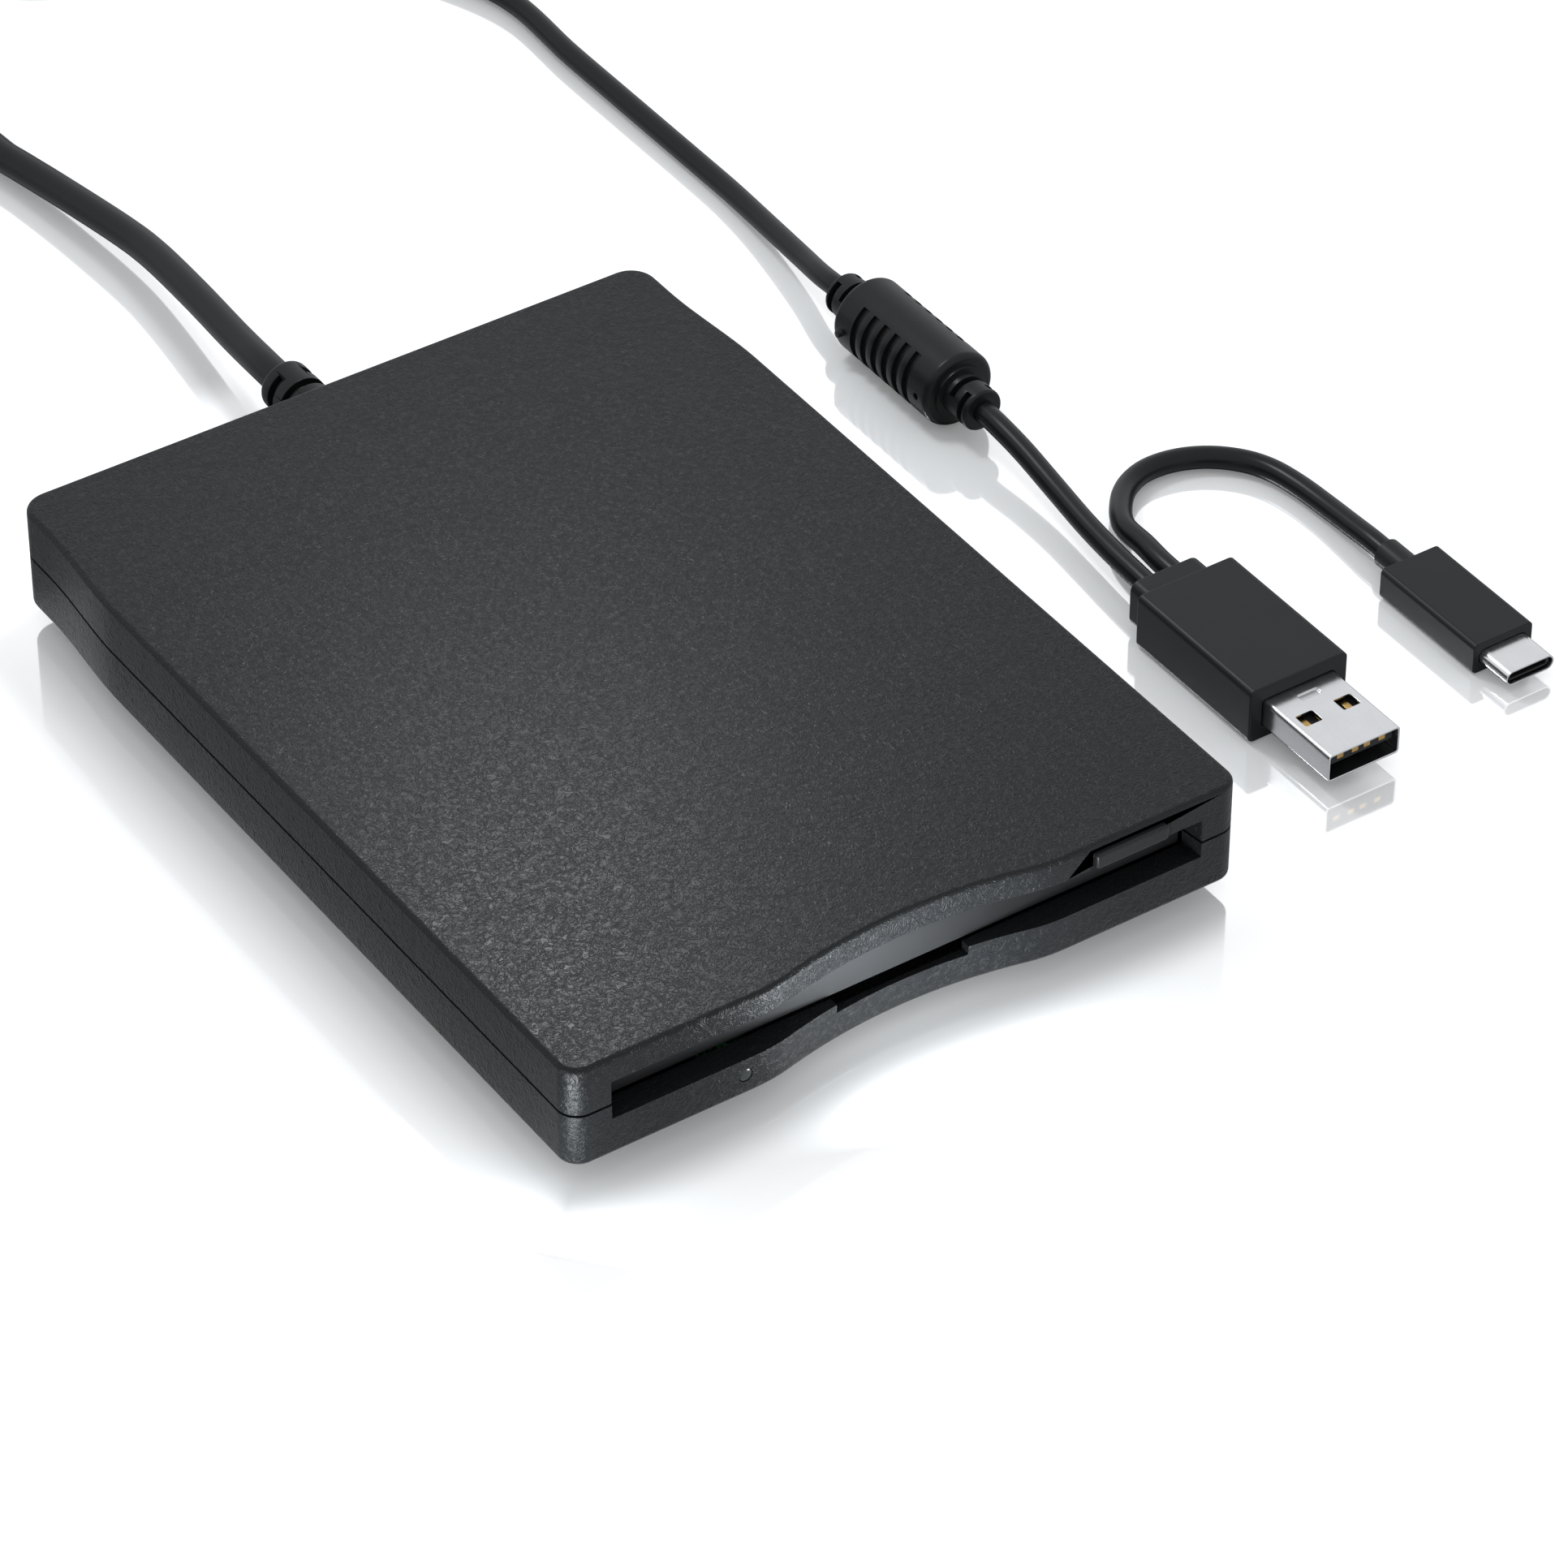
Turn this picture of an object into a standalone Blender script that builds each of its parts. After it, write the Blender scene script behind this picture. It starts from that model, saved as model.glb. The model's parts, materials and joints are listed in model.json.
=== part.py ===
"""External floppy disk drive with a USB cable, a ferrite, a USB-A plug and a USB-C pigtail.

Metres, +Z up. X points right and the disk slot faces -Y. The origin lies on the table,
under the middle of the drive. Each sub-part is one object.
"""

import math

import bmesh
import bpy
from mathutils import Matrix, Vector

MM = 0.001

# Gaps between neighbouring pieces
SEAT_GAP = 0.3 * MM
RUNNING_GAP = 0.3 * MM
OVERRUN = 1.0 * MM
UNION_BITE = 0.2 * MM

# Case
CASE_WIDTH = 104.0 * MM
CASE_LENGTH = 141.5 * MM
CASE_HEIGHT = 16.0 * MM
FOOT_LIFT = 3.0 * MM
LOWER_HALF_HEIGHT = 8.3 * MM
WALL = 1.4 * MM
FRONT_WALL_DEPTH = 3.7 * MM
FRONT_CORNER_RADIUS = 3.0 * MM
BACK_CORNER_RADIUS = 4.0 * MM
LEAST_CORNER_RADIUS = 0.5 * MM
TAIL_INSET = 1.25 * MM
TAIL_START = 28.25 * MM
TAIL_END = 8.25 * MM
RIM_RADIUS = 0.5 * MM
LIP_HEIGHT = 1.15 * MM
LIP_LEDGE = 1.65 * MM
LIP_THICKNESS = 0.7 * MM
SCOOP_HALF_WIDTH = 24.2 * MM
SCOOP_DEPTH = 2.9 * MM
SCOOP_HOLLOW_SHARE = 0.76

# Disk slot in the front
SLOT_WIDTH = 91.5 * MM
SLOT_TAPER = 0.45 * MM
SLOT_RISE = 5.95 * MM
SLOT_HEIGHT = 6.05 * MM
THUMB_NOTCH_WIDTH = 20.5 * MM
THUMB_NOTCH_DEPTH = 1.35 * MM

# Eject button and lens
BUTTON_PROUD = 1.0 * MM
BUTTON_X = 33.9 * MM
BUTTON_WIDTH = 11.5 * MM
BUTTON_HEIGHT = 2.3 * MM
BUTTON_DROP = 1.2 * MM
BUTTON_LENGTH = 9.25 * MM
BUTTON_EDGE = 0.45 * MM
BUTTON_GAP = 0.35 * MM
BUTTON_CHANNEL = 10.75 * MM
LENS_X = -25.66 * MM
LENS_RISE = 3.3 * MM
LENS_RADIUS = 1.0 * MM
LED_WIDTH = 1.6 * MM
LED_DEPTH = 2.0 * MM
LED_HEIGHT = 2.0 * MM
LED_BOARD_WIDTH = 7.0 * MM
LED_BOARD_HEIGHT = 3.9 * MM
LED_BOARD_THICKNESS = 0.6 * MM

# Dust door behind the slot
DOOR_HALF_THICKNESS = 0.55 * MM
DOOR_HINGE_DROP = 0.4 * MM
DOOR_PIN_RADIUS = 0.45 * MM
DOOR_PIN_LENGTH = 2.2 * MM
DOOR_SIDE_GAP = 0.4 * MM
DOOR_BOSS_WIDTH = 2.5 * MM
DOOR_BOSS_GAP = 0.2 * MM
DOOR_BOSS_DEPTH = 2.35 * MM
DOOR_BOSS_BELOW_PIN = 1.7 * MM

# Case screws and their posts
FRONT_POST_X = 47.8 * MM
FRONT_POST_SETBACK = 8.75 * MM
BACK_POST_X = 46.6 * MM
BACK_POST_SETBACK = 4.15 * MM
POST_RADIUS = 2.2 * MM
SCREW_HEAD_RADIUS = 1.5 * MM
SCREW_HEAD_HEIGHT = 1.1 * MM
SCREW_HEAD_SINK = 0.6 * MM
SCREW_SHANK_RADIUS = 0.8 * MM
SCREW_LENGTH = 12.0 * MM
PILOT_DEPTH = 4.2 * MM
DRIVE_SOCKET_RADIUS = 0.7 * MM
DRIVE_SOCKET_DEPTH = 0.6 * MM

# Rubber feet
FOOT_RADIUS = 4.5 * MM
FOOT_RECESS = 0.5 * MM
FOOT_EDGE = 0.5 * MM
FOOT_X = 38.0 * MM
FRONT_FOOT_SETBACK = 18.25 * MM
BACK_FOOT_SETBACK = 17.25 * MM

# Strain relief where the cable leaves the back
GLAND_RISE = 6.5 * MM
GLAND_RADIUS = 3.9 * MM
GLAND_LENGTH = 14.65 * MM
GLAND_END_RADIUS = 0.9 * MM
GLAND_NECK_RADIUS = 2.9 * MM
GLAND_FLANGE_RADIUS = 3.8 * MM
GLAND_FLANGE_LENGTH = 1.25 * MM
GLAND_CORE_RADIUS = 2.7 * MM
GLAND_SLOT_WIDTH = 1.35 * MM
GLAND_SLOT_PITCH = 3.3 * MM
GLAND_FIRST_SLOT = 3.0 * MM
GLAND_SLOTS = 4
SLOT_SWEEP = math.radians(132.0)

# Cable
DRIVE_CORD_RADIUS = 2.4 * MM
CORD_RADIUS = 1.675 * MM
CORD_END_RUN = 3.35 * MM
COIL_X = 42.0 * MM
COIL_Y = 230.0 * MM
COIL_RADIUS = 20.6 * MM
COIL_PITCH = 4.5 * MM
COIL_LAYER = 3.9 * MM
COIL_FLOOR = 1.7 * MM
COIL_TURNS_IN = 1.0
COIL_TURNS_CLIMBING = 0.5
COIL_POINTS_PER_TURN = 24
TIE_LIFT = 0.9 * MM
TIE_THICKNESS = 0.5 * MM
TIE_WIDTH = 3.0 * MM
TIE_FLOOR = 0.05 * MM
TIE_CORNER = 1.2 * MM

# Ferrite on the cable
FERRITE_X = 81.15 * MM
FERRITE_Y = 46.45 * MM
FERRITE_Z = 6.0 * MM
FERRITE_RADIUS = 5.95 * MM
FERRITE_LENGTH = 23.5 * MM
FERRITE_EDGE = 0.9 * MM
FERRITE_STEP_RADIUS = 4.2 * MM
FERRITE_STEP_LENGTH = 0.5 * MM
COLLAR_RADIUS = 3.3 * MM
COLLAR_LENGTH = 5.8 * MM
COLLAR_CORE_RADIUS = 2.3 * MM
COLLAR_SLOT_WIDTH = 1.1 * MM
COLLAR_FIRST_SLOT = 1.3 * MM
COLLAR_SLOT_PITCH = 2.4 * MM
GROOVE_COUNT = 6
GROOVE_PITCH = 2.6 * MM
GROOVE_WIDTH = 1.4 * MM
GROOVE_DEPTH = 0.6 * MM
GROOVE_SWEEP = math.radians(110.0)
HOLE_RADIUS = 0.55 * MM
HOLE_DEPTH = 1.4 * MM
HOLE_INSET = 2.4 * MM

# USB-A plug
PLUG_A_X = 80.1 * MM
PLUG_A_BACK = -20.5 * MM
PLUG_A_WIDTH = 16.4 * MM
PLUG_A_HEIGHT = 8.8 * MM
PLUG_A_LENGTH = 25.9 * MM
PLUG_A_EDGE = 1.0 * MM
PLUG_A_NECK_X = 79.1 * MM
PLUG_A_NECK_WIDTH = 11.6 * MM
PLUG_A_NECK_HEIGHT = 7.4 * MM
PLUG_A_NECK_LENGTH = 3.6 * MM
PLUG_A_NECK_EDGE = 1.5 * MM
SHELL_A_WIDTH = 12.0 * MM
SHELL_A_HEIGHT = 4.5 * MM
SHELL_A_LENGTH = 14.5 * MM
SHELL_A_SEAT = 2.7 * MM
SHELL_A_SHEET = 0.3 * MM
SHELL_A_EDGE = 0.6 * MM
SHELL_A_RISE = 2.05 * MM
WINDOW_WIDTH = 2.8 * MM
WINDOW_LENGTH = 2.5 * MM
WINDOW_SETBACK = 5.1 * MM
WINDOW_SPACING = 6.4 * MM
LATCH_WIDTH = 2.9 * MM
LATCH_LENGTH = 1.2 * MM
LATCH_SETBACK = 1.6 * MM
LATCH_DEPTH = 0.5 * MM
LATCH_SHEET_SHARE = 0.55
TONGUE_A_THICKNESS = 1.3 * MM
TONGUE_A_SETBACK = 0.9 * MM
TONGUE_A_BLOCK = 3.5 * MM
CONTACT_WIDTH = 1.1 * MM
CONTACT_THICKNESS = 0.2 * MM
CONTACT_OUTER = 3.5 * MM
CONTACT_INNER = 1.0 * MM

# USB-C plug
PLUG_C_X = 111.4 * MM
PLUG_C_BACK = -30.6 * MM
PLUG_C_WIDTH = 10.2 * MM
PLUG_C_HEIGHT = 5.0 * MM
PLUG_C_LENGTH = 20.8 * MM
PLUG_C_EDGE = 0.8 * MM
PLUG_C_NECK_RADIUS = 2.2 * MM
PLUG_C_NECK_LENGTH = 5.1 * MM
SHELL_C_WIDTH = 8.25 * MM
SHELL_C_HEIGHT = 2.4 * MM
SHELL_C_LENGTH = 6.0 * MM
SHELL_C_SEAT = 1.7 * MM
SHELL_C_SHEET = 0.25 * MM
INSERT_C_GAP = 0.25 * MM
INSERT_C_SETBACK = 0.5 * MM
INSERT_C_MOUTH_WIDTH = 6.2 * MM
INSERT_C_MOUTH_HEIGHT = 0.7 * MM
INSERT_C_MOUTH_DEPTH = 4.6 * MM

# Chassis of the drive mechanism
SHEET = 0.6 * MM
THIN_SHEET = 0.5 * MM
CHASSIS_STANDOFF = 0.6 * MM
CHASSIS_WIDTH = 96.0 * MM
CHASSIS_FRONT = -58.0 * MM
CHASSIS_BACK = 64.4 * MM
CHASSIS_WALL_HEIGHT = 11.4 * MM
CHASSIS_SCREW_X = 39.0 * MM
CHASSIS_SCREW_FRONT = -37.5 * MM
CHASSIS_SCREW_BACK = 33.0 * MM
CHASSIS_SCREW_LENGTH = 1.8 * MM
CHASSIS_SCREW_HEAD = 0.7 * MM
CHASSIS_BOSS_RADIUS = 2.6 * MM
COVER_DROP = 0.5 * MM
COVER_THICKNESS = 0.4 * MM
COVER_FLANGE = 1.1 * MM
COVER_FRONT = -56.0 * MM
COVER_BACK = 63.0 * MM
COVER_WINDOW_WIDTH = 20.0 * MM
COVER_WINDOW_FRONT = 8.0 * MM
COVER_WINDOW_BACK = 51.0 * MM

# Slider that lifts and lowers the disk holder
SLIDER_TRAVEL = 6.0 * MM
SLIDER_SIDE_GAP = 0.4 * MM
SLIDER_FRONT = -52.5 * MM
SLIDER_BACK = 30.0 * MM
SLIDER_WALL_HEIGHT = 9.3 * MM
SLIDER_STRIP_WIDTH = 6.5 * MM
SLIDER_BACK_STRIP = 22.0 * MM
SLIDER_ARM_DROP = 0.4 * MM
SLIDER_ARM_DEPTH = 5.5 * MM
SLIDER_ARM_WIDTH = 9.0 * MM
SLIDER_FLANGE = 1.5 * MM
SLOT_PLAY = 0.3 * MM
SPRING_Y = -22.0 * MM
SPRING_LENGTH = 12.0 * MM
SPRING_RADIUS = 0.9 * MM
SPRING_WIRE_RADIUS = 0.2 * MM
SPRING_TURNS = 8
SPRING_RISE = 2.4 * MM
SPRING_INSET = 3.0 * MM

# Disk holder
DISK_THICKNESS = 3.3 * MM
DISK_WIDTH = 90.0 * MM
HOLDER_DROP = 1.6 * MM
HOLDER_LIP_Z = 10.5 * MM
HOLDER_LIP_WIDTH = 3.2 * MM
HOLDER_CLEAR_HEIGHT = 4.15 * MM
HOLDER_SHEET = 0.4 * MM
HOLDER_SIDE_GAP = 0.7 * MM
HOLDER_FRONT = -56.0 * MM
HOLDER_BACK = 43.0 * MM
HOLDER_PIN_RADIUS = 0.7 * MM
HOLDER_PIN_FRONT = -46.0 * MM
HOLDER_PIN_BACK = 20.0 * MM
HOLDER_PIN_RISE = 2.0 * MM
HEAD_WINDOW_LEFT = -13.5 * MM
HEAD_WINDOW_RIGHT = 9.0 * MM
HEAD_WINDOW_FRONT = 12.0 * MM

# Lever that opens the disk's shutter
LEVER_X = -36.0 * MM
LEVER_Y = 35.0 * MM
LEVER_REACH = 20.0 * MM
LEVER_START = math.radians(-65.0)
LEVER_SWEEP = math.radians(80.0)
LEVER_THICKNESS = 0.4 * MM
LEVER_EYE_RADIUS = 2.6 * MM
LEVER_TIP_RADIUS = 1.7 * MM
LEVER_PIN_RADIUS = 0.8 * MM
LEVER_PIN_LENGTH = 3.6 * MM
LEVER_STUD_RADIUS = 1.2 * MM

# Spindle motor
SPINDLE_Y = -8.0 * MM
MOTOR_BOARD_WIDTH = 60.0 * MM
MOTOR_BOARD_FRONT = -32.0 * MM
MOTOR_BOARD_BACK = 15.5 * MM
BOARD_THICKNESS = 0.6 * MM
ROTOR_RADIUS = 20.0 * MM
ROTOR_RIM = 1.4 * MM
ROTOR_HEIGHT = 1.4 * MM
ROTOR_SHEET = 0.4 * MM
STATOR_HEIGHT = 0.7 * MM
STATOR_TEETH = 12
STATOR_HUB_RADIUS = 7.5 * MM
STATOR_BORE_RADIUS = 3.9 * MM
STATOR_TOOTH_WIDTH = 2.2 * MM
STATOR_TIP_LENGTH = 1.6 * MM
STATOR_TIP_GAP = 1.4 * MM
BEARING_RADIUS = 3.4 * MM
SHAFT_RADIUS = 1.5 * MM
HUB_RADIUS = 8.0 * MM
HUB_THICKNESS = 0.5 * MM
HUB_STUD_RADIUS = 1.95 * MM
HUB_STUD_HEIGHT = 1.2 * MM
HUB_STUD_CHAMFER = 0.5 * MM
DRIVE_PIN_RADIUS = 0.9 * MM
DRIVE_PIN_OFFSET = 5.5 * MM
DRIVE_PIN_LENGTH = 1.5 * MM

# Head carriage
CARRIAGE_TRAVEL = 14.8 * MM
CARRIAGE_Z = 6.9 * MM
ARM_WIDTH = 9.0 * MM
ARM_FRONT = 28.5 * MM
LOWER_ARM_THICKNESS = 1.5 * MM
BLOCK_FRONT = 54.3 * MM
BLOCK_BACK = 62.0 * MM
BLOCK_LEFT = -12.0 * MM
BLOCK_RIGHT = 7.2 * MM
BLOCK_HEIGHT = 5.7 * MM
POST_HEIGHT = 3.0 * MM
POST_THICKNESS = 2.2 * MM
HEAD_Y = 31.5 * MM
HEAD_WIDTH = 5.0 * MM
HEAD_LENGTH = 4.6 * MM
LOWER_HEAD_HEIGHT = 1.5 * MM
UPPER_HEAD_HEIGHT = 0.9 * MM
ARM_HINGE_Y = 57.0 * MM
ARM_HINGE_Z = 14.6 * MM
ARM_PIN_RADIUS = 0.6 * MM
UPPER_ARM_Z = 15.3 * MM
UPPER_ARM_THICKNESS = 0.6 * MM
UPPER_ARM_BLOCK_HALF = 2.0 * MM
UPPER_ARM_BLOCK_HEIGHT = 2.3 * MM
FOLLOWER_LENGTH = 2.5 * MM
FOLLOWER_HEIGHT = 2.0 * MM
ROD_X = -9.0 * MM
ROD_Z = 8.6 * MM
ROD_RADIUS = 1.0 * MM
ROD_FRONT = 36.5 * MM
ROD_BACK = 63.1 * MM
ROD_TAB_WIDTH = 4.0 * MM
ROD_TAB_HEIGHT = 4.8 * MM

# Stepper motor and its lead screw
SCREW_X = 13.0 * MM
SCREW_Z = 9.6 * MM
SCREW_RADIUS = 1.2 * MM
SCREW_PIVOT_RADIUS = 0.6 * MM
SCREW_FRONT = 36.2 * MM
STEPPER_RADIUS = 4.5 * MM
STEPPER_FRONT = 58.0 * MM
STEPPER_LENGTH = 5.7 * MM
STEPPER_EDGE = 0.4 * MM
BRACKET_FRONT = 35.4 * MM
BRACKET_WIDTH = 9.0 * MM
BRACKET_BACK_HEIGHT = 7.9 * MM
BRACKET_FRONT_HEIGHT = 5.4 * MM

# Main board
MAIN_BOARD_LEFT = -46.0 * MM
MAIN_BOARD_RIGHT = -14.0 * MM
MAIN_BOARD_FRONT = 38.0 * MM
MAIN_BOARD_BACK = 62.0 * MM
MAIN_BOARD_THICKNESS = 0.8 * MM
CHIP_HEIGHT = 1.2 * MM
CONTROLLER_SIZE = 10.0 * MM
DRIVER_WIDTH = 5.0 * MM
DRIVER_LENGTH = 8.0 * MM
CRYSTAL_WIDTH = 3.6 * MM
CRYSTAL_LENGTH = 9.0 * MM
HEADER_X = -17.8 * MM
HEADER_WIDTH = 4.6 * MM
HEADER_LENGTH = 5.0 * MM
HEADER_HEIGHT = 5.2 * MM
RIBBON_X = -23.0 * MM
RIBBON_WIDTH = 10.0 * MM
RIBBON_LENGTH = 28.5 * MM
RIBBON_THICKNESS = 0.2 * MM
WIRE_RADIUS = 1.2 * MM

# Disk sensing switches
SWITCH_X = 40.5 * MM
SWITCH_Y = -43.4 * MM
SWITCH_SIZE = 4.0 * MM
SWITCH_HEIGHT = 2.4 * MM
PLUNGER_RADIUS = 0.6 * MM
PLUNGER_TRAVEL = 1.2 * MM
PLUNGER_DEPTH = 1.8 * MM
PLUNGER_GAP_TO_DISK = 0.35 * MM

# Places that follow from the sizes above
FRONT_Y = BUTTON_PROUD - (CASE_LENGTH + BUTTON_PROUD) / 2
BACK_Y = FRONT_Y + CASE_LENGTH
BASE_Z = FOOT_LIFT
TOP_Z = BASE_Z + CASE_HEIGHT
PARTING_Z = BASE_Z + LOWER_HALF_HEIGHT
LOWER_RIM_Z = PARTING_Z - SEAT_GAP / 2
UPPER_RIM_Z = PARTING_Z + SEAT_GAP / 2
FLOOR_Z = BASE_Z + WALL
ROOF_Z = TOP_Z - WALL
FRONT_INNER_Y = FRONT_Y + FRONT_WALL_DEPTH
SLOT_LOW_Z = BASE_Z + SLOT_RISE
SLOT_HIGH_Z = SLOT_LOW_Z + SLOT_HEIGHT
GLAND_Z = BASE_Z + GLAND_RISE
LENS_Z = BASE_Z + LENS_RISE
DOOR_Y = FRONT_INNER_Y + SEAT_GAP + DOOR_HALF_THICKNESS
DOOR_Z = SLOT_HIGH_Z - DOOR_HINGE_DROP
DOOR_HALF_WIDTH = SLOT_WIDTH / 2 - SLOT_TAPER - DOOR_SIDE_GAP
CHASSIS_Z = FLOOR_Z + CHASSIS_STANDOFF
DECK_Z = CHASSIS_Z + SHEET
BOARD_Z = DECK_Z + SEAT_GAP
COVER_TOP_Z = ROOF_Z - COVER_DROP
COVER_LOW_Z = COVER_TOP_Z - COVER_THICKNESS
CHASSIS_INNER_X = CHASSIS_WIDTH / 2 - SHEET
SLIDER_OUTER_X = CHASSIS_INNER_X - SLIDER_SIDE_GAP
SLIDER_INNER_X = SLIDER_OUTER_X - THIN_SHEET
HOLDER_INNER_X = DISK_WIDTH / 2 + HOLDER_SIDE_GAP
HOLDER_OUTER_X = HOLDER_INNER_X + HOLDER_SHEET
HOLDER_PLATE_Z = HOLDER_LIP_Z + HOLDER_CLEAR_HEIGHT
HOLDER_TOP_Z = HOLDER_PLATE_Z + HOLDER_SHEET
HOLDER_PIN_Z = HOLDER_LIP_Z + HOLDER_PIN_RISE
SLIDER_ARM_TOP = COVER_LOW_Z - SLIDER_ARM_DROP
BUTTON_TOP = TOP_Z - BUTTON_DROP
BUTTON_BACK = FRONT_Y - BUTTON_PROUD + BUTTON_LENGTH
MOTOR_Z = BOARD_Z + BOARD_THICKNESS + SEAT_GAP
ROTOR_TOP = MOTOR_Z + ROTOR_HEIGHT
HUB_Z = ROTOR_TOP + SEAT_GAP
PLUG_A_FRONT = PLUG_A_BACK - PLUG_A_LENGTH
PLUG_C_FRONT = PLUG_C_BACK - PLUG_C_LENGTH
PLUG_C_Z = PLUG_C_HEIGHT / 2
MAIN_BOARD_TOP = BOARD_Z + MAIN_BOARD_THICKNESS

# Cable routes, as points along the centre line in millimetres
DRIVE_CORD_ROUTE = [
    (0.0, 86.5, 9.5),
    (0.15, 91.5, 9.3),
    (1.0, 101.0, 8.2),
    (2.3, 114.6, 7.0),
    (3.2, 127.8, 5.8),
    (3.0, 137.3, 4.9),
    (1.4, 152.5, 3.7),
    (0.0, 162.4, 3.1),
    (-0.7, 167.3, 2.9),
    (-0.6, 178.0, 2.6),
    (3.0, 191.0, 2.1),
    (10.5, 203.0, 1.75),
    (17.6, 213.0, 1.7),
]
DRIVE_CORD_TAPER = (170.0, 195.0)
FERRITE_CORD_ROUTE = [
    (63.4, 214.0, 5.2),
    (66.5, 204.0, 3.6),
    (73.0, 190.0, 2.0),
    (81.0, 176.5, 1.72),
    (85.8, 161.7, 1.7),
    (85.44, 144.3, 1.7),
    (85.41, 130.6, 1.7),
    (85.4, 108.3, 1.7),
    (85.2, 99.1, 1.9),
    (84.4, 89.4, 2.5),
    (82.8, 77.2, 4.0),
    (81.55, 70.2, 5.3),
]
PLUG_CORD_ROUTE = [
    (81.05, 25.4, 6.0),
    (80.9, 18.8, 5.4),
    (80.2, 10.2, 4.6),
    (79.2, 1.3, 4.2),
    (78.5, -6.0, 4.2),
    (78.1, -12.4, 4.3),
    (77.9, -16.6, 4.3),
]
PIGTAIL_ROUTE = [
    (82.6, -16.6, 4.3),
    (82.7, -11.6, 4.3),
    (83.3, -6.9, 4.0),
    (84.1, -1.1, 3.3),
    (87.3, 4.0, 2.4),
    (91.0, 7.6, 1.8),
    (95.3, 9.3, 1.7),
    (100.1, 9.0, 1.7),
    (104.6, 7.0, 1.7),
    (108.2, 3.6, 1.7),
    (110.3, -0.4, 1.7),
    (111.3, -5.6, 1.7),
    (111.6, -11.5, 1.8),
    (111.5, -18.0, 2.2),
    (111.4, -22.1, 2.5),
    (111.4, -25.2, 2.5),
]
WIRE_ROUTE = [
    (0.0, 67.9),
    (-0.3, 66.9),
    (-1.5, 66.0),
    (-4.0, 65.6),
    (-13.5, 65.5),
    (-16.3, 64.8),
    (-17.5, 63.6),
    (-17.8, 62.4),
]


def clear_scene():
    for obj in list(bpy.data.objects):
        bpy.data.objects.remove(obj)


def new_collection(name):
    collection = bpy.data.collections.new(name)
    bpy.context.scene.collection.children.link(collection)
    return collection


def material(name, colour, roughness, metallic=0.0):
    made = bpy.data.materials.new(name)
    made.use_nodes = True
    shader = made.node_tree.nodes["Principled BSDF"]
    shader.inputs["Base Color"].default_value = (*colour, 1.0)
    shader.inputs["Roughness"].default_value = roughness
    shader.inputs["Metallic"].default_value = metallic
    made.diffuse_color = (*colour, 1.0)
    return made


def object_from_bmesh(name, shape):
    mesh = bpy.data.meshes.new(name)
    shape.to_mesh(mesh)
    shape.free()
    obj = bpy.data.objects.new(name, mesh)
    PARTS.objects.link(obj)
    return obj


def mesh_from(obj, name):
    """A welded mesh object of what obj evaluates to; obj is removed."""
    graph = bpy.context.evaluated_depsgraph_get()
    mesh = bpy.data.meshes.new_from_object(obj.evaluated_get(graph))
    made = bpy.data.objects.new(name, mesh)
    made.matrix_world = obj.matrix_world
    for holder in list(obj.users_collection):
        holder.objects.unlink(obj)
    bpy.data.objects.remove(obj)
    made.name = name
    shape = bmesh.new()
    shape.from_mesh(mesh)
    bmesh.ops.remove_doubles(shape, verts=shape.verts, dist=WELD)
    bmesh.ops.recalc_face_normals(shape, faces=shape.faces)
    shape.to_mesh(mesh)
    shape.free()
    PARTS.objects.link(made)
    return made


WELD = 0.002 * MM


def box(name, low, high, edge=0.0, segments=2, axis=None):
    """A box between two corners; edge rounds its edges, or only those along one axis."""
    size = [b - a for a, b in zip(low, high)]
    shape = bmesh.new()
    bmesh.ops.create_cube(shape, size=1.0, matrix=Matrix.Diagonal((*size, 1.0)))
    if edge:
        edges = shape.edges[:]
        if axis is not None:
            edges = [e for e in edges if abs((e.verts[0].co - e.verts[1].co)[axis]) > size[axis] / 2]
        bmesh.ops.bevel(
            shape, geom=edges, offset=edge, segments=segments, profile=0.5, affect="EDGES"
        )
    obj = object_from_bmesh(name, shape)
    obj.location = [(a + b) / 2 for a, b in zip(low, high)]
    return obj


def turned(name, profile, centre, axis="Z", steps=24):
    """A turned piece: (radius, height) points, top to bottom, spun about an axis through centre."""
    mesh = bpy.data.meshes.new(name)
    points = [(radius, 0.0, height) for radius, height in profile]
    mesh.from_pydata(points, [(i, i + 1) for i in range(len(points) - 1)], [])
    obj = bpy.data.objects.new(name, mesh)
    PARTS.objects.link(obj)
    screw = obj.modifiers.new("Screw", "SCREW")
    screw.steps = steps
    screw.render_steps = steps
    screw.use_merge_vertices = True
    screw.merge_threshold = WELD
    turn = {
        "Z": Matrix.Identity(4),
        "X": Matrix.Rotation(math.pi / 2, 4, "Y"),
        "Y": Matrix.Rotation(-math.pi / 2, 4, "X"),
    }[axis]
    obj.matrix_world = Matrix.Translation(centre) @ turn
    bpy.context.view_layer.update()
    return mesh_from(obj, name)


def rod(name, centre, radius, length, axis="Z", steps=16, chamfer=0.0):
    """A cylinder that starts at centre and runs along +axis."""
    top = [(0.0, length), (radius, length)]
    if chamfer:
        top = [(0.0, length), (radius - chamfer, length), (radius, length - chamfer)]
    return turned(name, [*top, (radius, 0.0), (0.0, 0.0)], centre, axis, steps)


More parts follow.
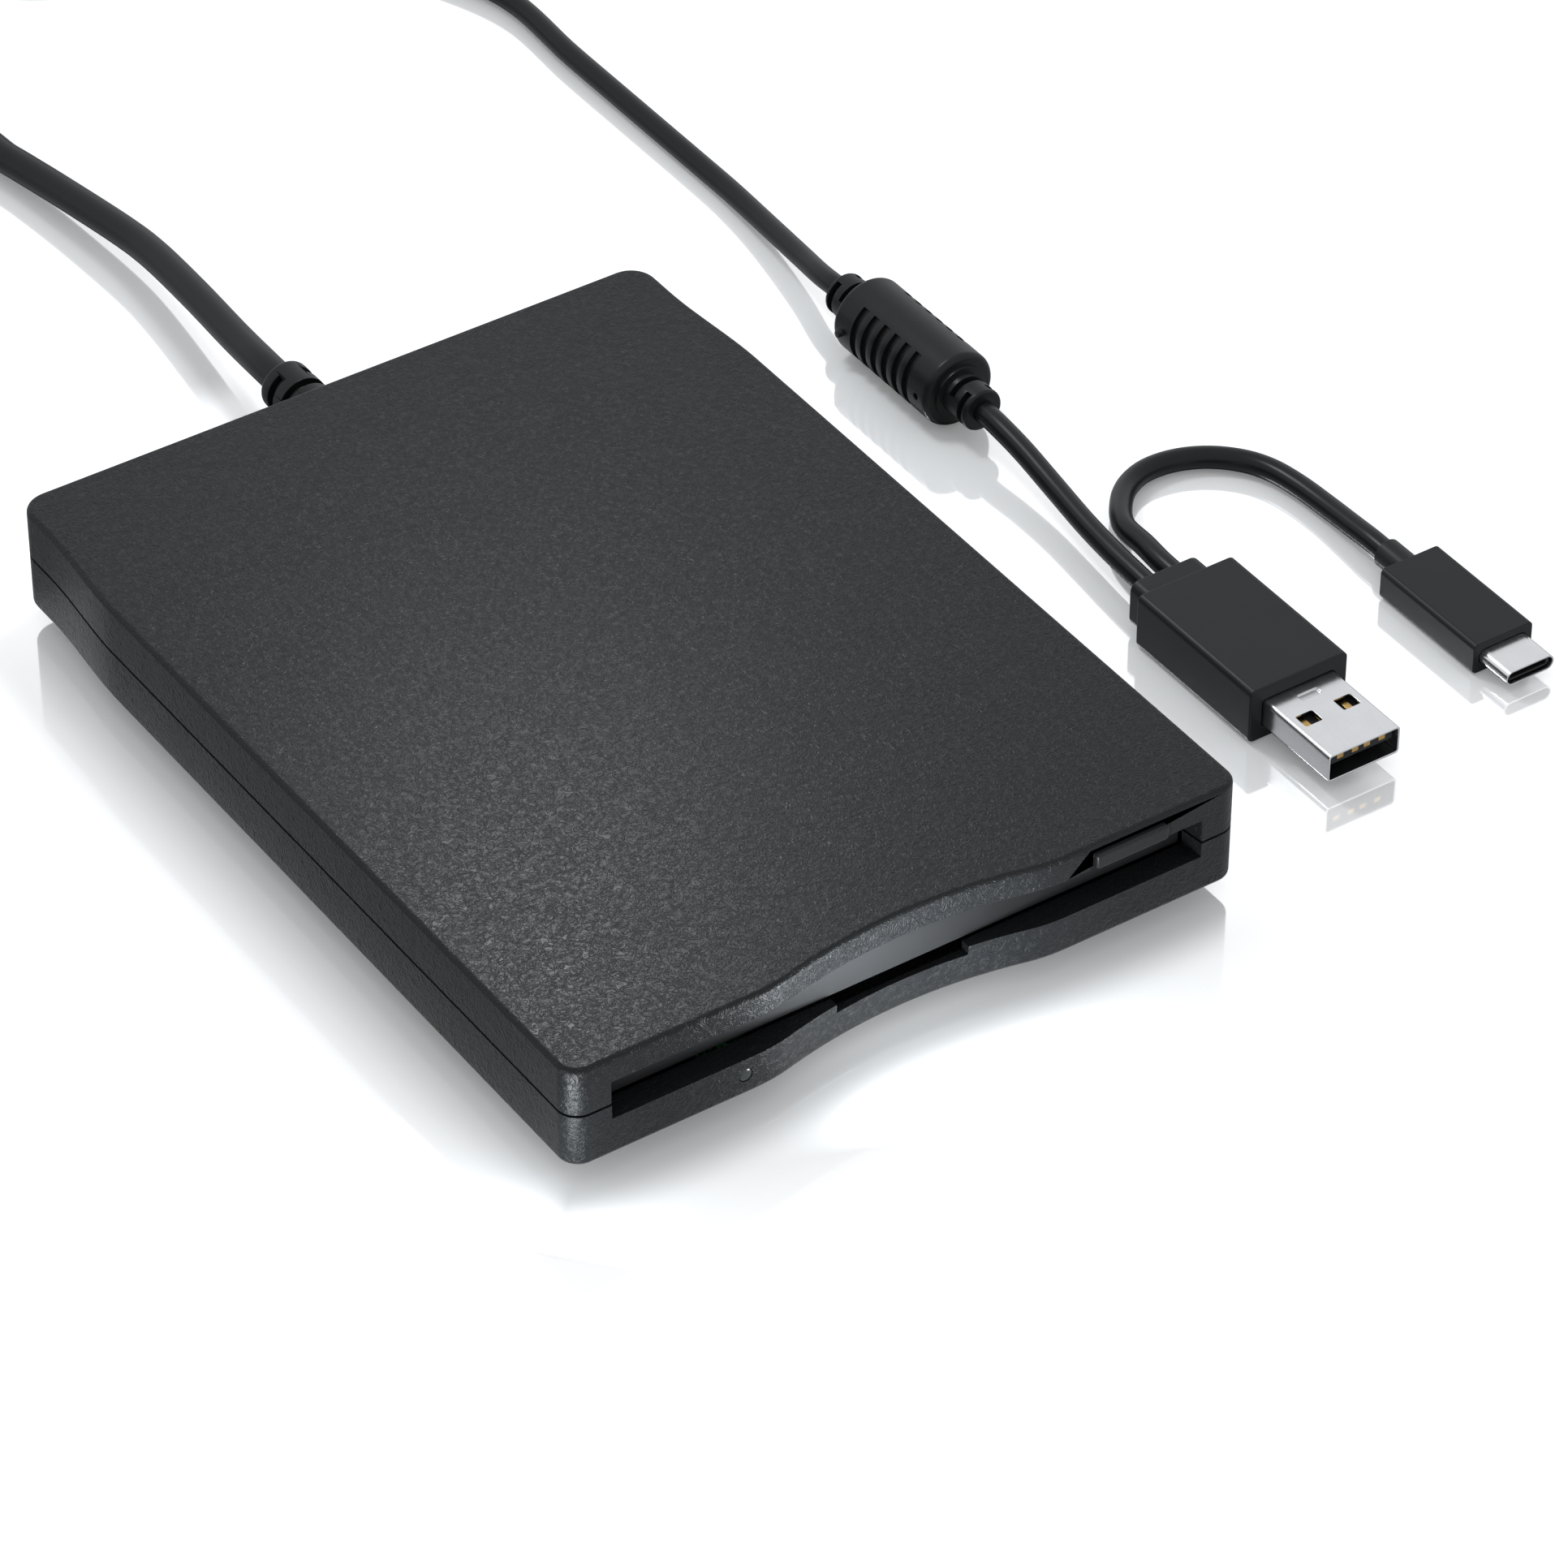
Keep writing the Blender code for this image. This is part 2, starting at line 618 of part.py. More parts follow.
def plate(name, outline, low, thickness, axis="Z"):
    """A flat outline with thickness, its low face at low along the axis."""
    curve = bpy.data.curves.new(name, "CURVE")
    curve.dimensions = "2D"
    curve.fill_mode = "BOTH"
    curve.extrude = thickness / 2
    line = curve.splines.new("POLY")
    line.points.add(len(outline) - 1)
    for point, (a, b) in zip(line.points, outline):
        point.co = (a, b, 0.0, 1.0)
    line.use_cyclic_u = True
    obj = bpy.data.objects.new(name, curve)
    PARTS.objects.link(obj)
    middle = low + thickness / 2
    obj.matrix_world = {
        "Z": Matrix.Translation((0.0, 0.0, middle)),
        "Y": Matrix.Translation((0.0, middle, 0.0)) @ Matrix.Rotation(math.pi / 2, 4, "X"),
        "X": Matrix.Translation((middle, 0.0, 0.0))
        @ Matrix.Rotation(math.pi / 2, 4, "Z")
        @ Matrix.Rotation(math.pi / 2, 4, "X"),
    }[axis]
    bpy.context.view_layer.update()
    return mesh_from(obj, name)


def rectangle(x_low, x_high, y_low, y_high):
    return [(x_low, y_low), (x_high, y_low), (x_high, y_high), (x_low, y_high)]


def arc(centre, radius, start, end, steps):
    return [
        (
            centre[0] + radius * math.cos(start + (end - start) * i / steps),
            centre[1] + radius * math.sin(start + (end - start) * i / steps),
        )
        for i in range(steps + 1)
    ]


def slot_outline(start, end, radius, steps=8):
    """A straight slot with round ends between two points."""
    angle = math.atan2(end[1] - start[1], end[0] - start[0])
    return [
        *arc(end, radius, angle - math.pi / 2, angle + math.pi / 2, steps),
        *arc(start, radius, angle + math.pi / 2, angle + math.pi * 3 / 2, steps),
    ]


def sector_ring(centre, inner, outer, middle, sweep, steps=7):
    """The outline of a part of a ring, centred on the angle middle."""
    start = middle - sweep / 2
    end = middle + sweep / 2
    return [*arc(centre, outer, start, end, steps), *arc(centre, inner, end, start, steps)]


def as_cutter(obj):
    PARTS.objects.unlink(obj)
    CUTTERS.objects.link(obj)
    obj.hide_render = True
    obj.display_type = "WIRE"
    return obj


def combine(obj, others, operation):
    for other in others:
        as_cutter(other)
        step = obj.modifiers.new(other.name, "BOOLEAN")
        step.operation = operation
        step.solver = "EXACT"
        step.object = other


def cut(obj, *others):
    combine(obj, others, "DIFFERENCE")
    return obj


def join(obj, *others):
    combine(obj, others, "UNION")
    return obj


def set_origin(obj, point):
    """Moves an object's origin to a joint's axis without moving its shape."""
    bpy.context.view_layer.update()
    point = Vector(point)
    shift = obj.matrix_world.inverted() @ point
    obj.data.transform(Matrix.Translation(-shift))
    obj.matrix_world.translation = point
    return obj


def finish(obj, look, smooth=True):
    obj.data.materials.clear()
    obj.data.materials.append(look)
    if smooth and obj.type == "MESH":
        obj.data.shade_smooth()
        obj.data.set_sharp_from_angle(angle=math.radians(SHARP_ANGLE_DEG))
    return obj


SHARP_ANGLE_DEG = 35.0


def smooth_route(points, spacing):
    """Points at about an even spacing on a smooth curve through the given points."""
    points = [Vector(p) for p in points]
    points = [2 * points[0] - points[1], *points, 2 * points[-1] - points[-2]]
    fine = []
    for a, b, c, d in zip(points, points[1:], points[2:], points[3:]):
        for i in range(24):
            t = i / 24
            fine.append(
                0.5
                * (
                    2 * b
                    + (c - a) * t
                    + (2 * a - 5 * b + 4 * c - d) * t * t
                    + (3 * b - a - 3 * c + d) * t * t * t
                )
            )
    fine.append(points[-2])
    lengths = [0.0]
    for a, b in zip(fine, fine[1:]):
        lengths.append(lengths[-1] + (b - a).length)
    count = max(2, round(lengths[-1] / spacing))
    result = []
    at = 0
    for i in range(count + 1):
        goal = lengths[-1] * i / count
        while at < len(fine) - 2 and lengths[at + 1] < goal:
            at += 1
        share = (goal - lengths[at]) / max(lengths[at + 1] - lengths[at], 1e-12)
        result.append(fine[at].lerp(fine[at + 1], min(share, 1.0)))
    return result


def tube(name, points, radii, look, resolution=2):
    """A round tube along the points, as a curve with a bevel and filled ends."""
    thickest = max(radii)
    curve = bpy.data.curves.new(name, "CURVE")
    curve.dimensions = "3D"
    curve.bevel_depth = thickest
    curve.bevel_resolution = resolution
    curve.use_fill_caps = True
    line = curve.splines.new("POLY")
    line.points.add(len(points) - 1)
    for point, place, radius in zip(line.points, points, radii):
        point.co = (*place, 1.0)
        point.radius = radius / thickest
    line.use_smooth = True
    obj = bpy.data.objects.new(name, curve)
    curve.materials.append(look)
    PARTS.objects.link(obj)
    return obj


def in_metres(points):
    return [tuple(value * MM for value in point) for point in points]


def smooth_step(t):
    t = min(max(t, 0.0), 1.0)
    return t * t * (3.0 - 2.0 * t)


def scoop(x):
    """How far the finger scoop lies behind the front face: two arcs that meet tangentially."""
    x = abs(x)
    if x >= SCOOP_HALF_WIDTH:
        return 0.0
    bend = SCOOP_HALF_WIDTH * SCOOP_HOLLOW_SHARE
    slope = 2.0 * SCOOP_DEPTH / SCOOP_HALF_WIDTH
    if x <= bend:
        return SCOOP_DEPTH - x * x * slope / (2.0 * bend)
    rest = SCOOP_HALF_WIDTH - bend
    return (SCOOP_HALF_WIDTH - x) ** 2 * slope / (2.0 * rest)


def case_outline(inset, front=None, corner_steps=5, tail_steps=6, scoop_steps=20):
    """The case's plan, inset from its outside; front replaces the scooped front by a straight one."""
    side = CASE_WIDTH / 2 - inset
    back = BACK_Y - inset
    nose = FRONT_Y + inset if front is None else front
    front_radius = max(FRONT_CORNER_RADIUS - inset, LEAST_CORNER_RADIUS)
    back_radius = max(BACK_CORNER_RADIUS - inset, LEAST_CORNER_RADIUS)
    tail = side - TAIL_INSET
    right = arc((side - front_radius, nose + front_radius), front_radius, -math.pi / 2, 0.0, corner_steps)
    tail_low = BACK_Y - TAIL_START
    for i in range(tail_steps + 1):
        share = i / tail_steps
        right.append((side - TAIL_INSET * smooth_step(share), tail_low + (TAIL_START - TAIL_END) * share))
    right += arc((tail - back_radius, back - back_radius), back_radius, 0.0, math.pi / 2, corner_steps)
    left = [(-x, y) for x, y in reversed(right)]
    hollow = []
    if front is None:
        for i in range(scoop_steps + 1):
            x = SCOOP_HALF_WIDTH * (2.0 * i / scoop_steps - 1.0)
            hollow.append((x, nose + scoop(x)))
    return [*hollow, *right, *left]


def case_block(name, low, high, rounded):
    """The outer form of one half of the case with a rounded rim at one end."""
    block = plate(name, case_outline(0.0), low, high - low)
    rim = high if rounded == "top" else low
    shape = bmesh.new()
    shape.from_mesh(block.data)
    middle = (low + high) / 2
    edges = [
        e
        for e in shape.edges
        if all(abs(v.co.z + middle - rim) < WELD for v in e.verts)
        and len(e.link_faces) == 2
        and abs(e.link_faces[0].normal.z - e.link_faces[1].normal.z) > 0.5
    ]
    bmesh.ops.bevel(shape, geom=edges, offset=RIM_RADIUS, segments=2, profile=0.5, affect="EDGES")
    shape.to_mesh(block.data)
    shape.free()
    return block


def slot_cutter(name):
    """The disk slot: it narrows a little from the front face to the dust door."""
    wide = SLOT_WIDTH / 2
    narrow = wide - SLOT_TAPER
    outline = [
        (-wide, FRONT_Y - OVERRUN),
        (wide, FRONT_Y - OVERRUN),
        (wide, FRONT_Y),
        (narrow, FRONT_INNER_Y),
        (narrow, FRONT_INNER_Y + OVERRUN),
        (-narrow, FRONT_INNER_Y + OVERRUN),
        (-narrow, FRONT_INNER_Y),
        (-wide, FRONT_Y),
    ]
    return plate(name, outline, SLOT_LOW_Z, SLOT_HEIGHT)


CORNERS = ("front_left", "front_right", "back_left", "back_right")


def post_places():
    front = FRONT_Y + FRONT_POST_SETBACK
    back = BACK_Y - BACK_POST_SETBACK
    return [
        (-FRONT_POST_X, front),
        (FRONT_POST_X, front),
        (-BACK_POST_X, back),
        (BACK_POST_X, back),
    ]


def make_top_case(look):
    case = case_block("top_case", UPPER_RIM_Z, TOP_Z, "top")
    cavity = plate(
        "cut_top_cavity",
        case_outline(WALL, FRONT_INNER_Y),
        UPPER_RIM_Z - OVERRUN,
        ROOF_Z - UPPER_RIM_Z + OVERRUN,
    )
    cut(case, cavity)
    for i, (x, y) in enumerate(post_places()):
        low = PARTING_Z + LIP_HEIGHT + SEAT_GAP
        join(case, rod(f"add_top_post_{i}", (x, y, low), POST_RADIUS, ROOF_Z - low + UNION_BITE))
        pilot = SCREW_SHANK_RADIUS + SEAT_GAP
        cut(case, rod(f"cut_pilot_{i}", (x, y, low - OVERRUN), pilot, PILOT_DEPTH + OVERRUN))
    inner = DOOR_HALF_WIDTH + DOOR_SIDE_GAP + DOOR_BOSS_GAP
    for side in (-1, 1):
        ends = sorted((side * inner, side * (inner + DOOR_BOSS_WIDTH)))
        low = (ends[0], FRONT_INNER_Y - UNION_BITE, DOOR_Z - DOOR_BOSS_BELOW_PIN)
        high = (ends[1], FRONT_INNER_Y + DOOR_BOSS_DEPTH, ROOF_Z + UNION_BITE)
        join(case, box(f"add_door_boss_{side}", low, high))
        hole = DOOR_PIN_RADIUS + RUNNING_GAP
        reach = inner - OVERRUN if side > 0 else -(DOOR_HALF_WIDTH + DOOR_PIN_LENGTH + SEAT_GAP)
        length = DOOR_HALF_WIDTH + DOOR_PIN_LENGTH + SEAT_GAP - inner + OVERRUN
        cut(case, rod(f"cut_door_hole_{side}", (reach, DOOR_Y, DOOR_Z), hole, length, "X", 16))
    cut(case, slot_cutter("cut_slot_top"))
    half = BUTTON_WIDTH / 2 + BUTTON_GAP
    low = (BUTTON_X - half, FRONT_Y - OVERRUN, SLOT_HIGH_Z - OVERRUN)
    high = (BUTTON_X + half, FRONT_Y + BUTTON_CHANNEL, BUTTON_TOP + BUTTON_GAP)
    cut(case, box("cut_button_channel", low, high))
    neck = GLAND_NECK_RADIUS + SEAT_GAP
    cut(case, rod("cut_gland_top", (0.0, BACK_Y - WALL - OVERRUN, GLAND_Z), neck, WALL + 2 * OVERRUN, "Y"))
    return finish(case, look)


def make_bottom_case(look):
    case = case_block("bottom_case", BASE_Z, LOWER_RIM_Z, "bottom")
    lip_gap = WALL + SEAT_GAP
    lip_low = PARTING_Z - LIP_LEDGE
    lip_top = PARTING_Z + LIP_HEIGHT
    lip = plate(
        "add_lip", case_outline(lip_gap, FRONT_INNER_Y + SEAT_GAP), lip_low, lip_top - lip_low
    )
    join(case, lip)
    cavity = plate(
        "cut_low_cavity", case_outline(WALL, FRONT_INNER_Y), FLOOR_Z, lip_low - FLOOR_Z
    )
    lip_inner = lip_gap + LIP_THICKNESS
    throat = plate(
        "cut_throat",
        case_outline(lip_inner, FRONT_INNER_Y + SEAT_GAP + LIP_THICKNESS),
        lip_low - UNION_BITE,
        lip_top - lip_low + UNION_BITE + OVERRUN,
    )
    cut(case, cavity, throat)
    for i, (x, y) in enumerate(post_places()):
        length = lip_top - FLOOR_Z + UNION_BITE
        join(case, rod(f"add_low_post_{i}", (x, y, FLOOR_Z - UNION_BITE), POST_RADIUS, length))
        bore = SCREW_SHANK_RADIUS + SEAT_GAP
        cut(case, rod(f"cut_bore_{i}", (x, y, BASE_Z - OVERRUN), bore, lip_top - BASE_Z + 2 * OVERRUN, "Z", 12))
        sink = SCREW_HEAD_SINK + SCREW_HEAD_HEIGHT + SEAT_GAP
        cut(case, rod(f"cut_sink_{i}", (x, y, BASE_Z - OVERRUN), SCREW_HEAD_RADIUS + SEAT_GAP, sink + OVERRUN))
    for i, (x, y) in enumerate(chassis_screw_places()):
        join(
            case,
            rod(
                f"add_boss_{i}",
                (x, y, FLOOR_Z - UNION_BITE),
                CHASSIS_BOSS_RADIUS,
                CHASSIS_STANDOFF - SEAT_GAP + UNION_BITE,
            ),
        )
        bore = SCREW_SHANK_RADIUS + SEAT_GAP
        low = DECK_Z - CHASSIS_SCREW_LENGTH
        cut(case, rod(f"cut_boss_{i}", (x, y, low), bore, FLOOR_Z - low + OVERRUN, "Z", 12))
    for i, (x, y) in enumerate(foot_places()):
        cut(case, rod(f"cut_foot_{i}", (x, y, BASE_Z - OVERRUN), FOOT_RADIUS + SEAT_GAP, FOOT_RECESS + OVERRUN))
    cut(case, slot_cutter("cut_slot_bottom"))
    half = THUMB_NOTCH_WIDTH / 2
    low = (-half, FRONT_Y - OVERRUN, SLOT_LOW_Z - THUMB_NOTCH_DEPTH)
    high = (half, FRONT_INNER_Y + OVERRUN, SLOT_LOW_Z + OVERRUN)
    cut(case, box("cut_thumb_notch", low, high))
    lens = LENS_RADIUS + SEAT_GAP
    length = FRONT_WALL_DEPTH + 2 * OVERRUN
    cut(case, rod("cut_lens", (LENS_X, FRONT_Y - OVERRUN, LENS_Z), lens, length, "Y", 20))
    neck = GLAND_NECK_RADIUS + SEAT_GAP
    low = BACK_Y - WALL - 2 * OVERRUN
    cut(case, rod("cut_gland_low", (0.0, low, GLAND_Z), neck, BACK_Y + OVERRUN - low, "Y"))
    flange = GLAND_FLANGE_RADIUS + SEAT_GAP
    low = BACK_Y - WALL - SEAT_GAP - GLAND_FLANGE_LENGTH - OVERRUN
    cut(case, rod("cut_flange", (0.0, low, GLAND_Z), flange, BACK_Y - WALL - low, "Y"))
    return finish(case, look)


def foot_places():
    front = FRONT_Y + FRONT_FOOT_SETBACK
    back = BACK_Y - BACK_FOOT_SETBACK
    return [(-FOOT_X, front), (FOOT_X, front), (-FOOT_X, back), (FOOT_X, back)]


def make_feet(look):
    height = FOOT_LIFT + FOOT_RECESS - SEAT_GAP
    profile = [
        (0.0, height),
        (FOOT_RADIUS, height),
        (FOOT_RADIUS, FOOT_EDGE),
        (FOOT_RADIUS - FOOT_EDGE, 0.0),
        (0.0, 0.0),
    ]
    for corner, (x, y) in zip(CORNERS, foot_places()):
        finish(turned(f"foot_{corner}", profile, (x, y, 0.0)), look)


def screw(name, place, length, head_height):
    """A round-headed screw, head up, with a socket; place is the underside of its head."""
    profile = [
        (0.0, head_height - DRIVE_SOCKET_DEPTH),
        (DRIVE_SOCKET_RADIUS, head_height - DRIVE_SOCKET_DEPTH),
        (DRIVE_SOCKET_RADIUS, head_height),
        (SCREW_HEAD_RADIUS, head_height),
        (SCREW_HEAD_RADIUS, 0.0),
        (SCREW_SHANK_RADIUS, 0.0),
        (SCREW_SHANK_RADIUS, -length),
        (0.0, -length),
    ]
    return turned(name, profile, place, steps=16)


def make_case_screws(look):
    for corner, (x, y) in zip(CORNERS, post_places()):
        made = screw(f"case_screw_{corner}", (0.0, 0.0, 0.0), SCREW_LENGTH, SCREW_HEAD_HEIGHT)
        seat = BASE_Z + SCREW_HEAD_SINK + SCREW_HEAD_HEIGHT
        made.matrix_world = Matrix.Translation((x, y, seat)) @ Matrix.Rotation(math.pi, 4, "X")
        finish(made, look)


def make_eject_button(look):
    half = BUTTON_WIDTH / 2
    low = (BUTTON_X - half, FRONT_Y - BUTTON_PROUD, BUTTON_TOP - BUTTON_HEIGHT)
    high = (BUTTON_X + half, BUTTON_BACK, BUTTON_TOP)
    button = box("eject_button", low, high, BUTTON_EDGE, 3)
    return finish(set_origin(button, (BUTTON_X, FRONT_Y, BUTTON_TOP)), look)


def make_lens(look):
    length = FRONT_WALL_DEPTH + SEAT_GAP / 2
    lens = rod("led_lens", (LENS_X, FRONT_Y, LENS_Z), LENS_RADIUS, length, "Y", 20)
    return finish(lens, look)


def led_front():
    return FRONT_INNER_Y + SEAT_GAP / 2 + SEAT_GAP


def make_led(look):
    """The lamp, soldered to its small upright board."""
    half = LED_WIDTH / 2
    front = led_front()
    back = front + LED_DEPTH
    low = (LENS_X - half, front, LENS_Z - LED_HEIGHT / 2)
    high = (LENS_X + half, back + UNION_BITE, LENS_Z + LED_HEIGHT / 2)
    lamp = box("activity_led", low, high)
    half = LED_BOARD_WIDTH / 2
    low = (LENS_X - half, back, FLOOR_Z + SEAT_GAP)
    high = (LENS_X + half, back + LED_BOARD_THICKNESS, FLOOR_Z + SEAT_GAP + LED_BOARD_HEIGHT)
    join(lamp, box("add_led_board", low, high))
    return finish(lamp, look)


def make_dust_door(look):
    """The flap behind the slot: it hangs on its pins and folds in and up as a disk goes in."""
    half = DOOR_HALF_THICKNESS
    low = SLOT_LOW_Z + RUNNING_GAP
    section = [
        *arc((DOOR_Y, DOOR_Z), half, 0.0, math.pi, 8),
        (DOOR_Y - half, low),
        (DOOR_Y + half, low),
    ]
    door = plate("dust_door", section, -DOOR_HALF_WIDTH, 2 * DOOR_HALF_WIDTH, "X")
    reach = DOOR_HALF_WIDTH + DOOR_PIN_LENGTH
    join(door, rod("add_door_pin", (-reach, DOOR_Y, DOOR_Z), DOOR_PIN_RADIUS, 2 * reach, "X", 16))
    return finish(set_origin(door, (0.0, DOOR_Y, DOOR_Z)), look)


def relief_slots(piece, name, centre, core, outside, places, width):
    """Cuts paired slots across a strain relief, turned a quarter from one place to the next."""
    for i, y in enumerate(places):
        turn = 0.0 if i % 2 == 0 else math.pi / 2
        for side in range(2):
            outline = sector_ring(
                (centre[0], centre[2]), core, outside + OVERRUN, turn + math.pi * side, SLOT_SWEEP
            )
            cut(piece, plate(f"{name}_{i}_{side}", outline, y - width / 2, width, "Y"))


def make_gland(look):
    """The strain relief: flange inside the back wall, neck through it, slotted collar outside."""
    start = BACK_Y + SEAT_GAP
    end = start + GLAND_LENGTH
    inner = BACK_Y - WALL - SEAT_GAP
    flange = inner - GLAND_FLANGE_LENGTH
    profile = [(0.0, end)]
    round_end = arc(
        (GLAND_RADIUS - GLAND_END_RADIUS, end - GLAND_END_RADIUS), GLAND_END_RADIUS, math.pi / 2, 0.0, 3
    )
    profile += round_end
    profile += [
        (GLAND_RADIUS, start),
        (GLAND_NECK_RADIUS, start),
        (GLAND_NECK_RADIUS, inner),
        (GLAND_FLANGE_RADIUS, inner),
        (GLAND_FLANGE_RADIUS, flange),
        (0.0, flange),
    ]
    gland = turned("cable_gland", profile, (0.0, 0.0, GLAND_Z), "Y", 24)
    places = [end - GLAND_FIRST_SLOT - GLAND_SLOT_PITCH * i for i in range(GLAND_SLOTS)]
    centre = (0.0, 0.0, GLAND_Z)
    relief_slots(gland, "cut_relief", centre, GLAND_CORE_RADIUS, GLAND_RADIUS, places, GLAND_SLOT_WIDTH)
    return finish(gland, look)


def coil_points():
    """The centre line of the coil: it winds in on the table, climbs and winds out on top."""
    turns = 2 * COIL_TURNS_IN + COIL_TURNS_CLIMBING
    steps = round(turns * COIL_POINTS_PER_TURN)
    points = []
    for i in range(steps + 1):
        turn = turns * i / steps
        inward = min(turn, COIL_TURNS_IN) - max(turn - COIL_TURNS_IN - COIL_TURNS_CLIMBING, 0.0)
        radius = COIL_RADIUS - COIL_PITCH * inward
        climb = smooth_step((turn - COIL_TURNS_IN) / COIL_TURNS_CLIMBING)
        angle = math.pi - 2.0 * math.pi * turn
        lift = TIE_LIFT * max(math.cos(angle - math.pi / 2), 0.0) ** 2
        height = COIL_FLOOR + COIL_LAYER * climb + lift
        points.append(
            Vector((COIL_X + radius * math.cos(angle), COIL_Y + radius * math.sin(angle), height))
        )
    first = points[0] - Vector((0.0, CORD_END_RUN, 0.0))
    last = points[-1] - Vector((0.0, CORD_END_RUN, 0.0))
    return [first, *points, last]


def least_gap(points, radius):
    """The least gap of a tube to itself, over points more than a quarter turn apart."""
    fine = smooth_route(points, radius / 2)
    apart = round(math.pi * (COIL_RADIUS - COIL_PITCH) / radius)
    least = COIL_RADIUS
    for i in range(len(fine)):
        for j in range(i + apart, len(fine)):
            least = min(least, (fine[i] - fine[j]).length)
    return least - 2.0 * radius


def make_cord_coil(look):
    points = coil_points()
    print(f"coil: least gap to itself {least_gap(points, CORD_RADIUS) / MM:.2f} mm")
    return tube("cord_coil", points, [CORD_RADIUS] * len(points), look, 1)


def make_coil_tie(look):
    """A strap round the coil's turns, on its far side."""
    middle = [p for p in coil_points() if abs(p.x - COIL_X) < COIL_RADIUS / 8 and p.y > COIL_Y]
    nearest = min(p.y for p in middle) - CORD_RADIUS - SEAT_GAP
    farthest = max(p.y for p in middle) + CORD_RADIUS + SEAT_GAP
    top = max(p.z for p in middle) + CORD_RADIUS + SEAT_GAP
    low = (COIL_X - TIE_WIDTH / 2, nearest - TIE_THICKNESS, TIE_FLOOR)
    high = (COIL_X + TIE_WIDTH / 2, farthest + TIE_THICKNESS, top + TIE_THICKNESS)
    tie = box("coil_tie", low, high, TIE_CORNER, 3, 0)
    low = (low[0] - OVERRUN, nearest, TIE_FLOOR + TIE_THICKNESS)
    high = (high[0] + OVERRUN, farthest, top)
    cut(tie, box("cut_tie", low, high, TIE_CORNER - TIE_THICKNESS, 3, 0))
    return finish(tie, look)


def make_cords(look):
    """The free stretches of the cable, each along its own route."""
    coil = coil_points()
    start = Vector((0.0, SEAT_GAP, 0.0))
    spacing = 2.5 * 2 * CORD_RADIUS
    ends = [tuple(coil[0] - start - Vector((0.0, CORD_END_RUN, 0.0))), tuple(coil[0] - start)]
    route = smooth_route(in_metres(DRIVE_CORD_ROUTE) + ends, spacing)
    taper = [value * MM for value in DRIVE_CORD_TAPER]
    radii = []
    for point in route:
        share = smooth_step((point.y - taper[0]) / (taper[1] - taper[0]))
        radii.append(DRIVE_CORD_RADIUS + (CORD_RADIUS - DRIVE_CORD_RADIUS) * share)
    tube("cord_at_drive", route, radii, look, 3)
    ferrite_end = FERRITE_Y + FERRITE_LENGTH / 2 + COLLAR_LENGTH + SEAT_GAP
    ends = [tuple(coil[-1] - start), tuple(coil[-1] - start - Vector((0.0, CORD_END_RUN, 0.0)))]
    last = [
        (FERRITE_X, ferrite_end + CORD_END_RUN / 2, FERRITE_Z),
        (FERRITE_X, ferrite_end, FERRITE_Z),
    ]
    route = smooth_route(ends + in_metres(FERRITE_CORD_ROUTE) + last, spacing)
    tube("cord_to_ferrite", route, [CORD_RADIUS] * len(route), look)
    ferrite_end = FERRITE_Y - FERRITE_LENGTH / 2 - COLLAR_LENGTH - SEAT_GAP
    first = [(FERRITE_X, ferrite_end, FERRITE_Z)]
    route = smooth_route(first + in_metres(PLUG_CORD_ROUTE), spacing)
    tube("cord_to_plug", route, [CORD_RADIUS] * len(route), look)
    route = smooth_route(in_metres(PIGTAIL_ROUTE), spacing / 2)
    tube("pigtail_cord", route, [CORD_RADIUS] * len(route), look)


